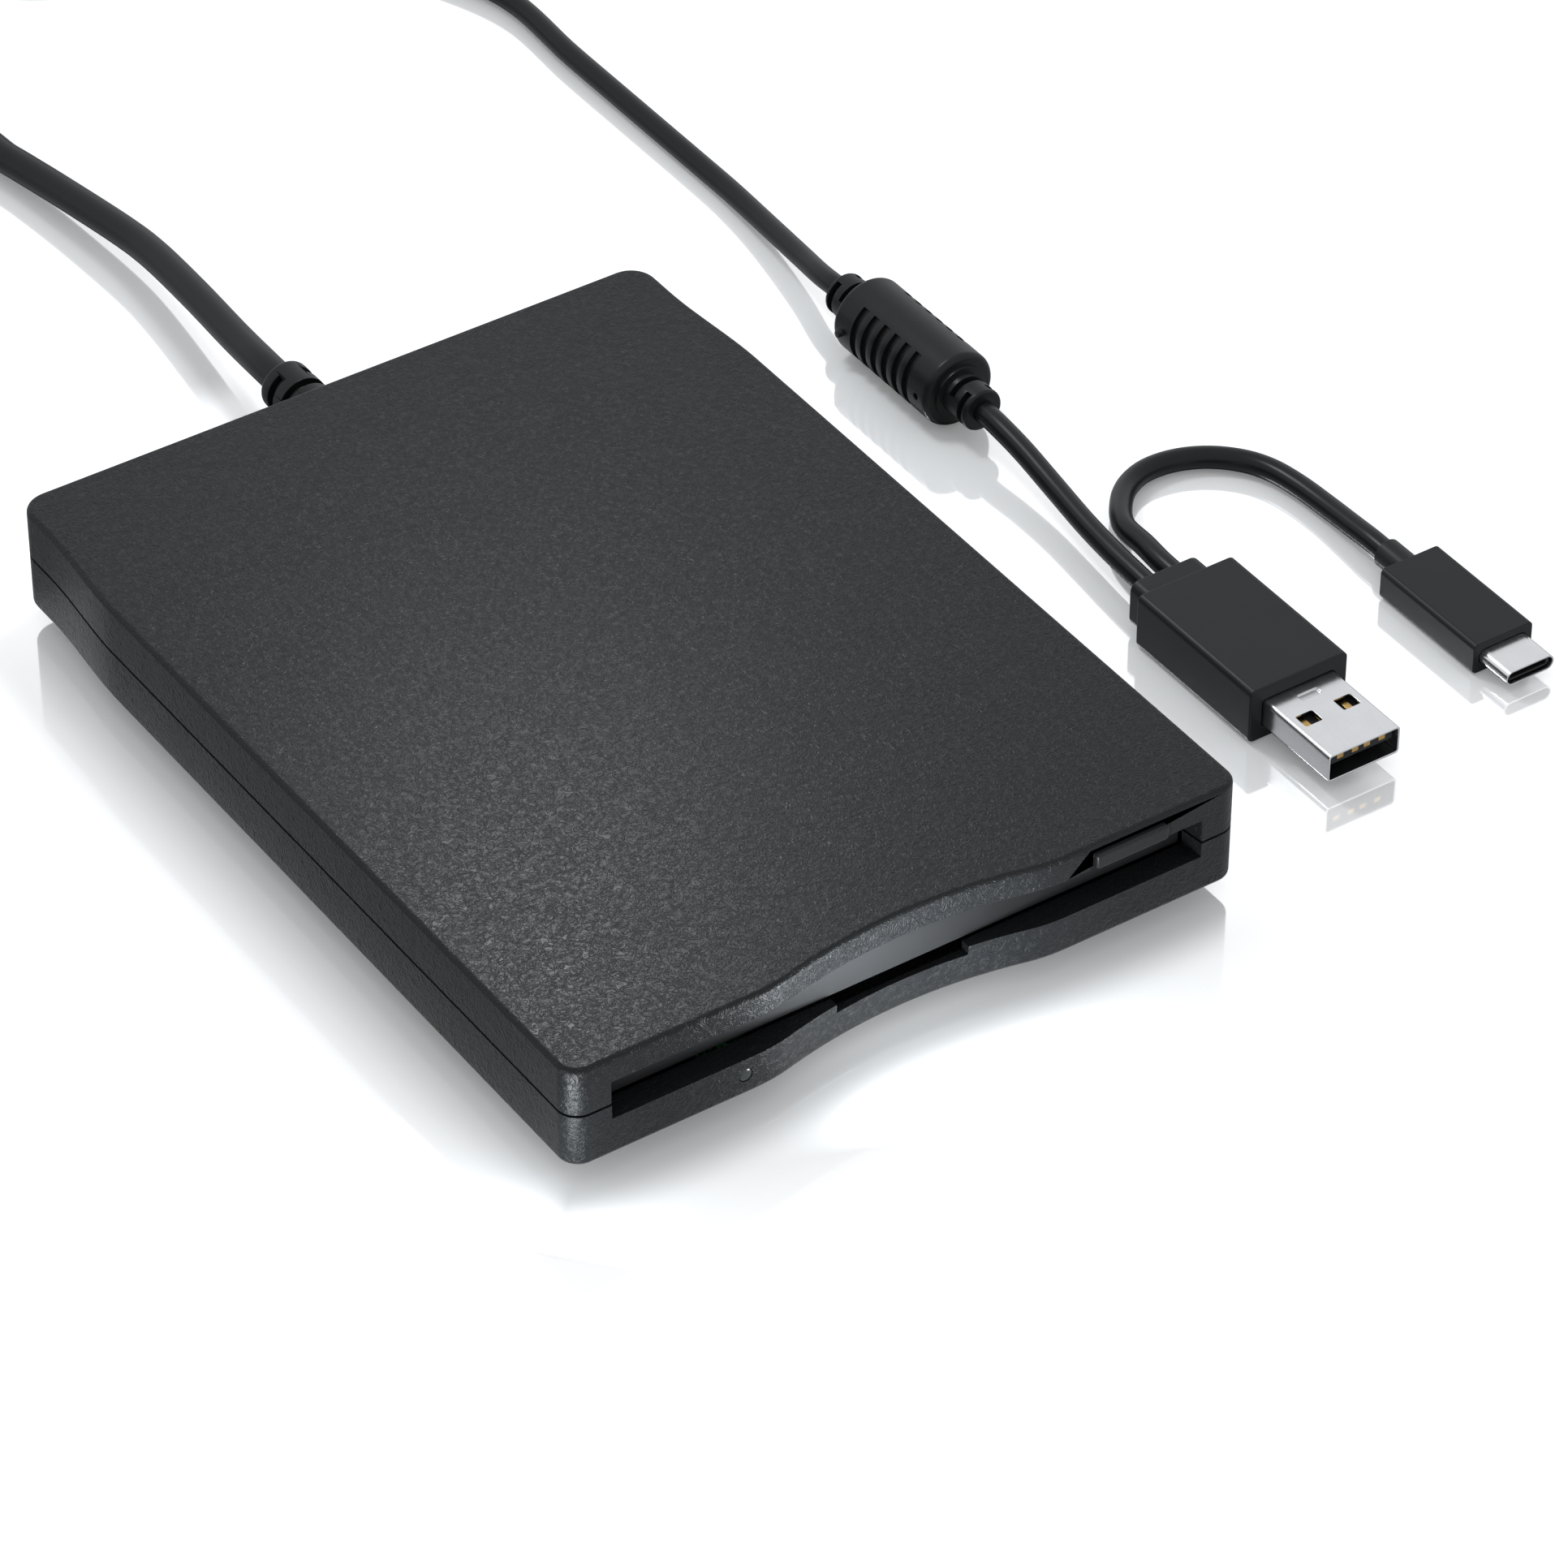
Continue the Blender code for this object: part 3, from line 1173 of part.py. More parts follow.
def make_ferrite(look):
    """The moulded ferrite: grooved barrel, a step at each end and a slotted collar."""
    half = FERRITE_LENGTH / 2
    upper = [(0.0, half + COLLAR_LENGTH), (COLLAR_RADIUS - FERRITE_STEP_LENGTH, half + COLLAR_LENGTH)]
    upper += [
        (COLLAR_RADIUS, half + COLLAR_LENGTH - FERRITE_STEP_LENGTH),
        (COLLAR_RADIUS, half + FERRITE_STEP_LENGTH),
        (FERRITE_STEP_RADIUS, half + FERRITE_STEP_LENGTH),
        (FERRITE_STEP_RADIUS, half),
    ]
    upper += arc(
        (FERRITE_RADIUS - FERRITE_EDGE, half - FERRITE_EDGE), FERRITE_EDGE, math.pi / 2, 0.0, 4
    )
    lower = [(radius, -height) for radius, height in reversed(upper)]
    centre = (FERRITE_X, FERRITE_Y, FERRITE_Z)
    ferrite = turned("ferrite_choke", upper + lower, centre, "Y", 28)
    plane = (FERRITE_X, FERRITE_Z)
    for side in range(2):
        for i in range(GROOVE_COUNT):
            y = FERRITE_Y + GROOVE_PITCH * (i - (GROOVE_COUNT - 1) / 2)
            outline = sector_ring(
                plane,
                FERRITE_RADIUS - GROOVE_DEPTH,
                FERRITE_RADIUS + OVERRUN,
                math.pi * side,
                GROOVE_SWEEP,
                6,
            )
            name = f"cut_groove_{side}_{i}"
            cut(ferrite, plate(name, outline, y - GROOVE_WIDTH / 2, GROOVE_WIDTH, "Y"))
        for i, end in enumerate((-1, 1)):
            y = FERRITE_Y + end * (half - HOLE_INSET)
            x = FERRITE_X - FERRITE_RADIUS - OVERRUN if side else FERRITE_X + FERRITE_RADIUS - HOLE_DEPTH
            name = f"cut_hole_{side}_{i}"
            cut(ferrite, rod(name, (x, y, FERRITE_Z), HOLE_RADIUS, HOLE_DEPTH + OVERRUN, "X", 8))
    for end in (-1, 1):
        tip = half + COLLAR_LENGTH
        places = [FERRITE_Y + end * (tip - COLLAR_FIRST_SLOT - COLLAR_SLOT_PITCH * i) for i in range(2)]
        relief_slots(
            ferrite,
            f"cut_collar_{end}",
            centre,
            COLLAR_CORE_RADIUS,
            COLLAR_RADIUS,
            places,
            COLLAR_SLOT_WIDTH,
        )
    return finish(ferrite, look)


def rounded_bar(name, centre_x, width, low_z, height, back_y, front_y, edge, segments=3):
    """A bar along Y with rounded long edges."""
    low = (centre_x - width / 2, front_y, low_z)
    high = (centre_x + width / 2, back_y, low_z + height)
    return box(name, low, high, edge, segments, 1)


def make_plug_a(overmould_look, shell_look, tongue_look):
    body = rounded_bar(
        "usb_a_overmould",
        PLUG_A_X,
        PLUG_A_WIDTH,
        0.0,
        PLUG_A_HEIGHT,
        PLUG_A_BACK,
        PLUG_A_FRONT,
        PLUG_A_EDGE,
    )
    neck = rounded_bar(
        "add_neck",
        PLUG_A_NECK_X,
        PLUG_A_NECK_WIDTH,
        (PLUG_A_HEIGHT - PLUG_A_NECK_HEIGHT) / 2,
        PLUG_A_NECK_HEIGHT,
        PLUG_A_BACK + PLUG_A_NECK_LENGTH,
        PLUG_A_BACK - OVERRUN,
        PLUG_A_NECK_EDGE,
    )
    join(body, neck)
    pocket_back = PLUG_A_FRONT + SHELL_A_SEAT + SEAT_GAP
    pocket = rounded_bar(
        "cut_pocket",
        PLUG_A_X,
        SHELL_A_WIDTH + 2 * SEAT_GAP,
        SHELL_A_RISE - SEAT_GAP,
        SHELL_A_HEIGHT + 2 * SEAT_GAP,
        pocket_back,
        PLUG_A_FRONT - OVERRUN,
        SHELL_A_EDGE,
    )
    cut(body, pocket)
    finish(body, overmould_look)
    back = PLUG_A_FRONT + SHELL_A_SEAT
    mouth = PLUG_A_FRONT - SHELL_A_LENGTH
    shell = rounded_bar(
        "usb_a_shell", PLUG_A_X, SHELL_A_WIDTH, SHELL_A_RISE, SHELL_A_HEIGHT, back, mouth, SHELL_A_EDGE
    )
    hollow = rounded_bar(
        "cut_shell",
        PLUG_A_X,
        SHELL_A_WIDTH - 2 * SHELL_A_SHEET,
        SHELL_A_RISE + SHELL_A_SHEET,
        SHELL_A_HEIGHT - 2 * SHELL_A_SHEET,
        back + OVERRUN,
        mouth - OVERRUN,
        SHELL_A_EDGE - SHELL_A_SHEET,
    )
    cut(shell, hollow)
    top = SHELL_A_RISE + SHELL_A_HEIGHT
    for side in (-1, 1):
        x = PLUG_A_X + side * WINDOW_SPACING / 2
        y = PLUG_A_FRONT - WINDOW_SETBACK
        low = (x - WINDOW_WIDTH / 2, y - WINDOW_LENGTH, SHELL_A_RISE - OVERRUN)
        high = (x + WINDOW_WIDTH / 2, y, top + OVERRUN)
        cut(shell, box(f"cut_window_{side}", low, high))
    y = PLUG_A_FRONT - LATCH_SETBACK
    low = (PLUG_A_X - LATCH_WIDTH / 2, y - LATCH_LENGTH, top - SHELL_A_SHEET * LATCH_SHEET_SHARE)
    high = (PLUG_A_X + LATCH_WIDTH / 2, y, top + OVERRUN)
    cut(shell, box("cut_latch", low, high))
    finish(shell, shell_look)
    ceiling = top - SHELL_A_SHEET - SEAT_GAP
    tongue_top = ceiling - CONTACT_THICKNESS - SEAT_GAP
    half = SHELL_A_WIDTH / 2 - SHELL_A_SHEET - SEAT_GAP
    tongue_front = mouth + TONGUE_A_SETBACK
    floor = SHELL_A_RISE + SHELL_A_SHEET + SEAT_GAP
    section = [
        (tongue_front, tongue_top - TONGUE_A_THICKNESS),
        (back - TONGUE_A_BLOCK, tongue_top - TONGUE_A_THICKNESS),
        (back - TONGUE_A_BLOCK, floor),
        (back, floor),
        (back, tongue_top),
        (tongue_front, tongue_top),
    ]
    tongue = plate("usb_a_tongue", section, PLUG_A_X - half, 2 * half, "X")
    for i, offset in enumerate((-CONTACT_OUTER, -CONTACT_INNER, CONTACT_INNER, CONTACT_OUTER)):
        x = PLUG_A_X + offset
        low = (x - CONTACT_WIDTH / 2, tongue_front - CONTACT_THICKNESS, tongue_top - TONGUE_A_THICKNESS / 2)
        high = (x + CONTACT_WIDTH / 2, back - TONGUE_A_BLOCK / 2, tongue_top + CONTACT_THICKNESS)
        join(tongue, box(f"add_contact_{i}", low, high))
    finish(tongue, tongue_look)


def stadium(name, centre_x, width, centre_z, height, back_y, front_y, steps=8):
    """A bar along Y whose section is a slot with round sides."""
    radius = height / 2
    reach = width / 2 - radius
    outline = slot_outline((centre_x - reach, centre_z), (centre_x + reach, centre_z), radius, steps)
    return plate(name, outline, front_y, back_y - front_y, "Y")


def make_plug_c(overmould_look, shell_look, insert_look):
    body = rounded_bar(
        "usb_c_overmould",
        PLUG_C_X,
        PLUG_C_WIDTH,
        0.0,
        PLUG_C_HEIGHT,
        PLUG_C_BACK,
        PLUG_C_FRONT,
        PLUG_C_EDGE,
    )
    length = PLUG_C_NECK_LENGTH + OVERRUN
    start = (PLUG_C_X, PLUG_C_BACK - OVERRUN, PLUG_C_Z)
    join(body, rod("add_c_neck", start, PLUG_C_NECK_RADIUS, length, "Y", 24))
    pocket = stadium(
        "cut_c_pocket",
        PLUG_C_X,
        SHELL_C_WIDTH + 2 * SEAT_GAP,
        PLUG_C_Z,
        SHELL_C_HEIGHT + 2 * SEAT_GAP,
        PLUG_C_FRONT + SHELL_C_SEAT + SEAT_GAP,
        PLUG_C_FRONT - OVERRUN,
    )
    finish(cut(body, pocket), overmould_look)
    back = PLUG_C_FRONT + SHELL_C_SEAT
    mouth = PLUG_C_FRONT - SHELL_C_LENGTH
    shell = stadium("usb_c_shell", PLUG_C_X, SHELL_C_WIDTH, PLUG_C_Z, SHELL_C_HEIGHT, back, mouth)
    inner_width = SHELL_C_WIDTH - 2 * SHELL_C_SHEET
    inner_height = SHELL_C_HEIGHT - 2 * SHELL_C_SHEET
    hollow = stadium(
        "cut_c_shell", PLUG_C_X, inner_width, PLUG_C_Z, inner_height, back + OVERRUN, mouth - OVERRUN
    )
    finish(cut(shell, hollow), shell_look)
    gap = 2 * INSERT_C_GAP
    face = mouth + INSERT_C_SETBACK
    insert = stadium("usb_c_insert", PLUG_C_X, inner_width - gap, PLUG_C_Z, inner_height - gap, back, face)
    low = (PLUG_C_X - INSERT_C_MOUTH_WIDTH / 2, face - OVERRUN, PLUG_C_Z - INSERT_C_MOUTH_HEIGHT / 2)
    high = (
        PLUG_C_X + INSERT_C_MOUTH_WIDTH / 2,
        face + INSERT_C_MOUTH_DEPTH,
        PLUG_C_Z + INSERT_C_MOUTH_HEIGHT / 2,
    )
    finish(cut(insert, box("cut_c_mouth", low, high)), insert_look)


def chassis_screw_places():
    """Two screws on a diagonal of the chassis."""
    return [(-CHASSIS_SCREW_X, CHASSIS_SCREW_FRONT), (CHASSIS_SCREW_X, CHASSIS_SCREW_BACK)]


def channel(half, sheet, low, floor_top, high):
    """The section of a sheet channel: a floor with two upright walls."""
    inner = half - sheet
    return [
        (-half, low),
        (half, low),
        (half, high),
        (inner, high),
        (inner, floor_top),
        (-inner, floor_top),
        (-inner, high),
        (-half, high),
    ]


def make_chassis(look):
    """The sheet-metal tray: floor, side walls with upright pin slots, and tabs for the guide rod."""
    half = CHASSIS_WIDTH / 2
    wall_top = CHASSIS_Z + CHASSIS_WALL_HEIGHT
    section = channel(half, SHEET, CHASSIS_Z, DECK_Z, wall_top)
    chassis = plate("chassis", section, CHASSIS_FRONT, CHASSIS_BACK - CHASSIS_FRONT, "Y")
    for side in (-1, 1):
        ends = sorted((side * (CHASSIS_INNER_X - OVERRUN), side * (half + OVERRUN)))
        for i, y in enumerate((HOLDER_PIN_FRONT, HOLDER_PIN_BACK)):
            gap = HOLDER_PIN_RADIUS + SLOT_PLAY
            low = (ends[0], y - gap, HOLDER_PIN_Z - HOLDER_DROP - gap)
            high = (ends[1], y + gap, wall_top + OVERRUN)
            cut(chassis, box(f"cut_pin_slot_{side}_{i}", low, high))
    for i, y in enumerate((ROD_FRONT - SEAT_GAP - SHEET, ROD_BACK + SEAT_GAP)):
        low = (ROD_X - ROD_TAB_WIDTH / 2, y, CHASSIS_Z + SHEET / 2)
        high = (ROD_X + ROD_TAB_WIDTH / 2, y + SHEET, DECK_Z + ROD_TAB_HEIGHT)
        join(chassis, box(f"add_rod_tab_{i}", low, high))
    low = (SCREW_X - STEPPER_RADIUS - OVERRUN / 2, STEPPER_FRONT - SEAT_GAP, CHASSIS_Z - OVERRUN)
    high = (SCREW_X + STEPPER_RADIUS + OVERRUN / 2, CHASSIS_BACK + OVERRUN, DECK_Z + OVERRUN)
    cut(chassis, box("cut_stepper_bay", low, high))
    for i, (x, y) in enumerate(chassis_screw_places()):
        bore = SCREW_SHANK_RADIUS + SEAT_GAP
        cut(chassis, rod(f"cut_chassis_{i}", (x, y, CHASSIS_Z - OVERRUN), bore, SHEET + 2 * OVERRUN, "Z", 12))
    return finish(chassis, look)


def make_mechanism_cover(look):
    """The sheet lid over the mechanism, with flanges down outside the chassis walls."""
    half = CHASSIS_WIDTH / 2 + SEAT_GAP + COVER_THICKNESS
    low_edge = COVER_TOP_Z - COVER_FLANGE
    section = channel(half, COVER_THICKNESS, COVER_TOP_Z, COVER_LOW_Z, low_edge)
    cover = plate("mechanism_cover", section, COVER_FRONT, COVER_BACK - COVER_FRONT, "Y")
    wide = COVER_WINDOW_WIDTH / 2
    low = (-wide, COVER_WINDOW_FRONT, COVER_LOW_Z - OVERRUN)
    high = (wide, COVER_WINDOW_BACK, COVER_TOP_Z + OVERRUN)
    cut(cover, box("cut_cover_window", low, high, HUB_RADIUS / 4, 3, 2))
    return finish(cover, look)


def make_chassis_screws(look):
    for end, (x, y) in zip(("front", "back"), chassis_screw_places()):
        seat = (x, y, DECK_Z + SEAT_GAP)
        finish(screw(f"chassis_screw_{end}", seat, CHASSIS_SCREW_LENGTH, CHASSIS_SCREW_HEAD), look)


def make_slider_frame(look):
    """Two walls with cam slots, joined under the disk by strips, and the arm to the button."""
    half = SLIDER_OUTER_X
    floor = BOARD_Z
    wall_top = floor + SLIDER_WALL_HEIGHT
    arm_low = SLIDER_ARM_TOP - THIN_SHEET
    arm_back = SLIDER_FRONT + SLIDER_ARM_DEPTH
    arm_front = BUTTON_BACK + SEAT_GAP
    left = BUTTON_X - SLIDER_ARM_WIDTH / 2
    section = [
        (-half, floor),
        (half, floor),
        (half, SLIDER_ARM_TOP),
        (left, SLIDER_ARM_TOP),
        (left, arm_low),
        (SLIDER_INNER_X, arm_low),
        (SLIDER_INNER_X, floor + THIN_SHEET),
        (-SLIDER_INNER_X, floor + THIN_SHEET),
        (-SLIDER_INNER_X, wall_top),
        (-half, wall_top),
    ]
    slider = plate("slider_frame", section, arm_front, SLIDER_BACK - arm_front, "Y")
    wide = half + OVERRUN
    low = (-wide, arm_back, wall_top)
    cut(slider, box("cut_behind_arm", low, (wide, SLIDER_BACK + OVERRUN, SLIDER_ARM_TOP + OVERRUN)))
    low = (-wide, arm_front - OVERRUN, floor - OVERRUN)
    high = (left + SLIDER_ARM_WIDTH, SLIDER_FRONT, wall_top)
    cut(slider, box("cut_under_arm", low, high))
    low = (left + SLIDER_ARM_WIDTH - UNION_BITE, arm_front - OVERRUN, floor - OVERRUN)
    cut(slider, box("cut_beside_arm", low, (wide, SLIDER_FRONT, SLIDER_ARM_TOP + OVERRUN)))
    inside = SLIDER_INNER_X - SLIDER_FLANGE
    spans = (
        (SLIDER_FRONT + SLIDER_STRIP_WIDTH, SLIDER_BACK_STRIP),
        (SLIDER_BACK_STRIP + SLIDER_STRIP_WIDTH, SLIDER_BACK + OVERRUN),
    )
    for i, (near, far) in enumerate(spans):
        low = (-inside, near, floor - OVERRUN)
        cut(slider, box(f"cut_slider_floor_{i}", low, (inside, far, floor + THIN_SHEET + OVERRUN)))
    for side in (-1, 1):
        start = min(side * SLIDER_INNER_X, side * half) - OVERRUN
        for i, y in enumerate((HOLDER_PIN_FRONT, HOLDER_PIN_BACK)):
            outline = slot_outline(
                (y, HOLDER_PIN_Z),
                (y + SLIDER_TRAVEL, HOLDER_PIN_Z - HOLDER_DROP),
                HOLDER_PIN_RADIUS + SLOT_PLAY,
            )
            length = THIN_SHEET + 2 * OVERRUN
            cut(slider, plate(f"cut_cam_{side}_{i}", outline, start, length, "X"))
    return finish(set_origin(slider, (0.0, SLIDER_FRONT, floor)), look)


def make_slider_spring(look):
    """The spring beside the slider's left wall that draws it forward."""
    x = -(SLIDER_INNER_X - SPRING_INSET)
    points = []
    steps = SPRING_TURNS * 8
    for i in range(steps + 1):
        angle = 2.0 * math.pi * SPRING_TURNS * i / steps
        points.append(
            (
                x + SPRING_RADIUS * math.cos(angle),
                SPRING_Y + SPRING_LENGTH * i / steps,
                DECK_Z + SPRING_RISE - SPRING_RADIUS + SPRING_RADIUS * math.sin(angle),
            )
        )
    return tube("slider_spring", points, [SPRING_WIRE_RADIUS] * len(points), look, 0)


def make_disk_holder(look):
    """The cradle that the disk slides into: plate, sides, lips under the disk and four cam pins."""
    outer = HOLDER_OUTER_X
    inner = HOLDER_INNER_X
    lip = inner - HOLDER_LIP_WIDTH
    lip_low = HOLDER_LIP_Z - HOLDER_SHEET
    right = [
        (lip, HOLDER_LIP_Z),
        (lip, lip_low),
        (outer, lip_low),
        (outer, HOLDER_TOP_Z),
    ]
    left = [(-x, z) for x, z in reversed(right)]
    section = [(inner, HOLDER_PLATE_Z), (inner, HOLDER_LIP_Z), *right]
    section += [*left, (-inner, HOLDER_LIP_Z), (-inner, HOLDER_PLATE_Z)]
    holder = plate("disk_holder", section, HOLDER_FRONT, HOLDER_BACK - HOLDER_FRONT, "Y")
    low = (HEAD_WINDOW_LEFT, HEAD_WINDOW_FRONT, HOLDER_PLATE_Z - OVERRUN)
    high = (HEAD_WINDOW_RIGHT, HOLDER_BACK + OVERRUN, HOLDER_TOP_Z + OVERRUN)
    cut(holder, box("cut_head_window", low, high))
    for side in (-1, 1):
        for i, y in enumerate((HOLDER_PIN_FRONT, HOLDER_PIN_BACK)):
            length = CHASSIS_WIDTH / 2 - inner - HOLDER_SHEET / 2
            x = inner + HOLDER_SHEET / 2 if side > 0 else -CHASSIS_WIDTH / 2
            pin = rod(f"add_cam_pin_{side}_{i}", (x, y, HOLDER_PIN_Z), HOLDER_PIN_RADIUS, length, "X", 16)
            join(holder, pin)
    gap = LEVER_PIN_RADIUS + SLOT_PLAY
    pivot = (LEVER_X, LEVER_Y)
    end = LEVER_START + LEVER_SWEEP
    slack = gap / LEVER_REACH
    arc_slot = sector_ring(
        pivot, LEVER_REACH - gap, LEVER_REACH + gap, (LEVER_START + end) / 2, LEVER_SWEEP + 2 * slack, 20
    )
    cut(holder, plate("cut_lever_arc", arc_slot, HOLDER_PLATE_Z - OVERRUN, HOLDER_SHEET + 2 * OVERRUN))
    height = HOLDER_SHEET + SEAT_GAP + LEVER_THICKNESS
    foot = (LEVER_X, LEVER_Y, HOLDER_PLATE_Z + HOLDER_SHEET / 2)
    stud = rod("add_lever_stud", foot, LEVER_STUD_RADIUS, height - HOLDER_SHEET / 2, "Z", 20)
    join(holder, stud)
    return finish(set_origin(holder, (0.0, 0.0, HOLDER_PIN_Z)), look)


def make_shutter_lever(look):
    """A tapered lever on the holder; its pin hangs through the holder's arc slot."""
    tip = (
        LEVER_X + LEVER_REACH * math.cos(LEVER_START),
        LEVER_Y + LEVER_REACH * math.sin(LEVER_START),
    )
    quarter = math.pi / 2
    outline = [
        *arc((LEVER_X, LEVER_Y), LEVER_EYE_RADIUS, LEVER_START + quarter, LEVER_START + 3 * quarter, 12),
        *arc(tip, LEVER_TIP_RADIUS, LEVER_START - quarter, LEVER_START + quarter, 10),
    ]
    low = HOLDER_TOP_Z + SEAT_GAP
    lever = plate("shutter_lever", outline, low, LEVER_THICKNESS)
    eye = LEVER_STUD_RADIUS + RUNNING_GAP
    cut(lever, rod("cut_lever_eye", (LEVER_X, LEVER_Y, low - OVERRUN), eye, LEVER_THICKNESS + 2 * OVERRUN, "Z", 20))
    pin_low = low - LEVER_PIN_LENGTH
    pin = rod("add_lever_pin", (*tip, pin_low), LEVER_PIN_RADIUS, LEVER_PIN_LENGTH + UNION_BITE, "Z", 16)
    join(lever, pin)
    return finish(set_origin(lever, (LEVER_X, LEVER_Y, low)), look)


def make_spindle(rotor_look, hub_look, pin_look):
    """The turning part of the motor: cup with its shaft, hub that drives the disk, and drive pin."""
    inner = ROTOR_RADIUS - ROTOR_RIM
    under = ROTOR_HEIGHT - ROTOR_SHEET
    profile = [
        (0.0, ROTOR_HEIGHT),
        (ROTOR_RADIUS, ROTOR_HEIGHT),
        (ROTOR_RADIUS, 0.0),
        (inner, 0.0),
        (inner, under),
        (SHAFT_RADIUS, under),
        (SHAFT_RADIUS, 0.0),
        (0.0, 0.0),
    ]
    rotor = turned("spindle_rotor", profile, (0.0, SPINDLE_Y, MOTOR_Z), "Z", 48)
    finish(rotor, rotor_look)
    height = HUB_THICKNESS + HUB_STUD_HEIGHT
    profile = [
        (0.0, height),
        (HUB_STUD_RADIUS - HUB_STUD_CHAMFER, height),
        (HUB_STUD_RADIUS, height - HUB_STUD_CHAMFER),
        (HUB_STUD_RADIUS, HUB_THICKNESS),
        (HUB_RADIUS, HUB_THICKNESS),
        (HUB_RADIUS, 0.0),
        (0.0, 0.0),
    ]
    hub = turned("spindle_hub", profile, (0.0, SPINDLE_Y, HUB_Z), "Z", 32)
    hole = rod(
        "cut_drive_pin",
        (DRIVE_PIN_OFFSET, SPINDLE_Y, HUB_Z - OVERRUN),
        DRIVE_PIN_RADIUS + SEAT_GAP,
        HUB_THICKNESS + 2 * OVERRUN,
        "Z",
        16,
    )
    finish(cut(hub, hole), hub_look)
    pin = rod("drive_pin", (DRIVE_PIN_OFFSET, SPINDLE_Y, HUB_Z), DRIVE_PIN_RADIUS, DRIVE_PIN_LENGTH, "Z", 16)
    finish(pin, pin_look)


def stator_outline():
    """Salient teeth with wide tips round the stator's core."""
    outer = ROTOR_RADIUS - ROTOR_RIM - RUNNING_GAP
    root = math.asin(STATOR_TOOTH_WIDTH / 2 / STATOR_HUB_RADIUS)
    neck_radius = outer - STATOR_TIP_LENGTH
    neck = math.asin(STATOR_TOOTH_WIDTH / 2 / neck_radius)
    pitch = 2.0 * math.pi / STATOR_TEETH
    tip = pitch / 2 - STATOR_TIP_GAP / 2 / outer
    points = []
    for i in range(STATOR_TEETH):
        middle = pitch * i
        for angle, radius in (
            (-root, STATOR_HUB_RADIUS),
            (-neck, neck_radius),
            (-tip, neck_radius),
            (-tip, outer),
            (0.0, outer),
            (tip, outer),
            (tip, neck_radius),
            (neck, neck_radius),
            (root, STATOR_HUB_RADIUS),
        ):
            points.append((radius * math.cos(middle + angle), SPINDLE_Y + radius * math.sin(middle + angle)))
    return points


def make_stator(look):
    stator = plate("stator", stator_outline(), MOTOR_Z, STATOR_HEIGHT)
    length = STATOR_HEIGHT + 2 * OVERRUN
    cut(stator, rod("cut_stator_bore", (0.0, SPINDLE_Y, MOTOR_Z - OVERRUN), STATOR_BORE_RADIUS, length))
    return finish(stator, look)


def make_bearing(look):
    bore = SHAFT_RADIUS + RUNNING_GAP
    profile = [
        (bore, STATOR_HEIGHT),
        (BEARING_RADIUS, STATOR_HEIGHT),
        (BEARING_RADIUS, 0.0),
        (bore, 0.0),
        (bore, STATOR_HEIGHT),
    ]
    return finish(turned("spindle_bearing", profile, (0.0, SPINDLE_Y, MOTOR_Z), "Z", 24), look)


def make_motor_board(look):
    half = MOTOR_BOARD_WIDTH / 2
    outline = rectangle(-half, half, MOTOR_BOARD_FRONT, MOTOR_BOARD_BACK)
    return finish(plate("motor_board", outline, BOARD_Z, BOARD_THICKNESS), look)


def make_carriage(look):
    """The head carriage: block on the guide rod, arm under the disk, hinge posts and follower."""
    top = CARRIAGE_Z + BLOCK_HEIGHT
    post_top = top + POST_HEIGHT
    post = BLOCK_RIGHT - POST_THICKNESS
    section = [
        (BLOCK_LEFT, CARRIAGE_Z),
        (BLOCK_RIGHT, CARRIAGE_Z),
        (BLOCK_RIGHT, post_top),
        (post, post_top),
        (post, top),
        (-post, top),
        (-post, post_top),
        (-BLOCK_RIGHT, post_top),
        (-BLOCK_RIGHT, top),
        (BLOCK_LEFT, top),
    ]
    carriage = plate("head_carriage", section, BLOCK_FRONT, BLOCK_BACK - BLOCK_FRONT, "Y")
    low = (-ARM_WIDTH / 2, ARM_FRONT, CARRIAGE_Z + UNION_BITE)
    high = (ARM_WIDTH / 2, BLOCK_FRONT + OVERRUN, CARRIAGE_Z + LOWER_ARM_THICKNESS)
    join(carriage, box("add_lower_arm", low, high))
    reach = SCREW_X - SCREW_RADIUS - SEAT_GAP
    low = (BLOCK_RIGHT - OVERRUN, BLOCK_FRONT + UNION_BITE, SCREW_Z - FOLLOWER_HEIGHT / 2)
    high = (reach, BLOCK_FRONT + FOLLOWER_LENGTH, SCREW_Z + FOLLOWER_HEIGHT / 2)
    join(carriage, box("add_follower", low, high))
    length = BLOCK_BACK - BLOCK_FRONT + 2 * OVERRUN
    start = (ROD_X, BLOCK_FRONT - OVERRUN, ROD_Z)
    cut(carriage, rod("cut_rod_bore", start, ROD_RADIUS + RUNNING_GAP, length, "Y", 20))
    hole = ARM_PIN_RADIUS + RUNNING_GAP
    start = (-BLOCK_RIGHT - OVERRUN, ARM_HINGE_Y, ARM_HINGE_Z)
    cut(carriage, rod("cut_post_hole", start, hole, 2 * (BLOCK_RIGHT + OVERRUN), "X", 16))
    return finish(set_origin(carriage, (ROD_X, BLOCK_FRONT, ROD_Z)), look)


def head_block(name, low_z, height, look):
    low = (-HEAD_WIDTH / 2, HEAD_Y - HEAD_LENGTH / 2, low_z)
    high = (HEAD_WIDTH / 2, HEAD_Y + HEAD_LENGTH / 2, low_z + height)
    return finish(box(name, low, high, SEAT_GAP, 1), look)


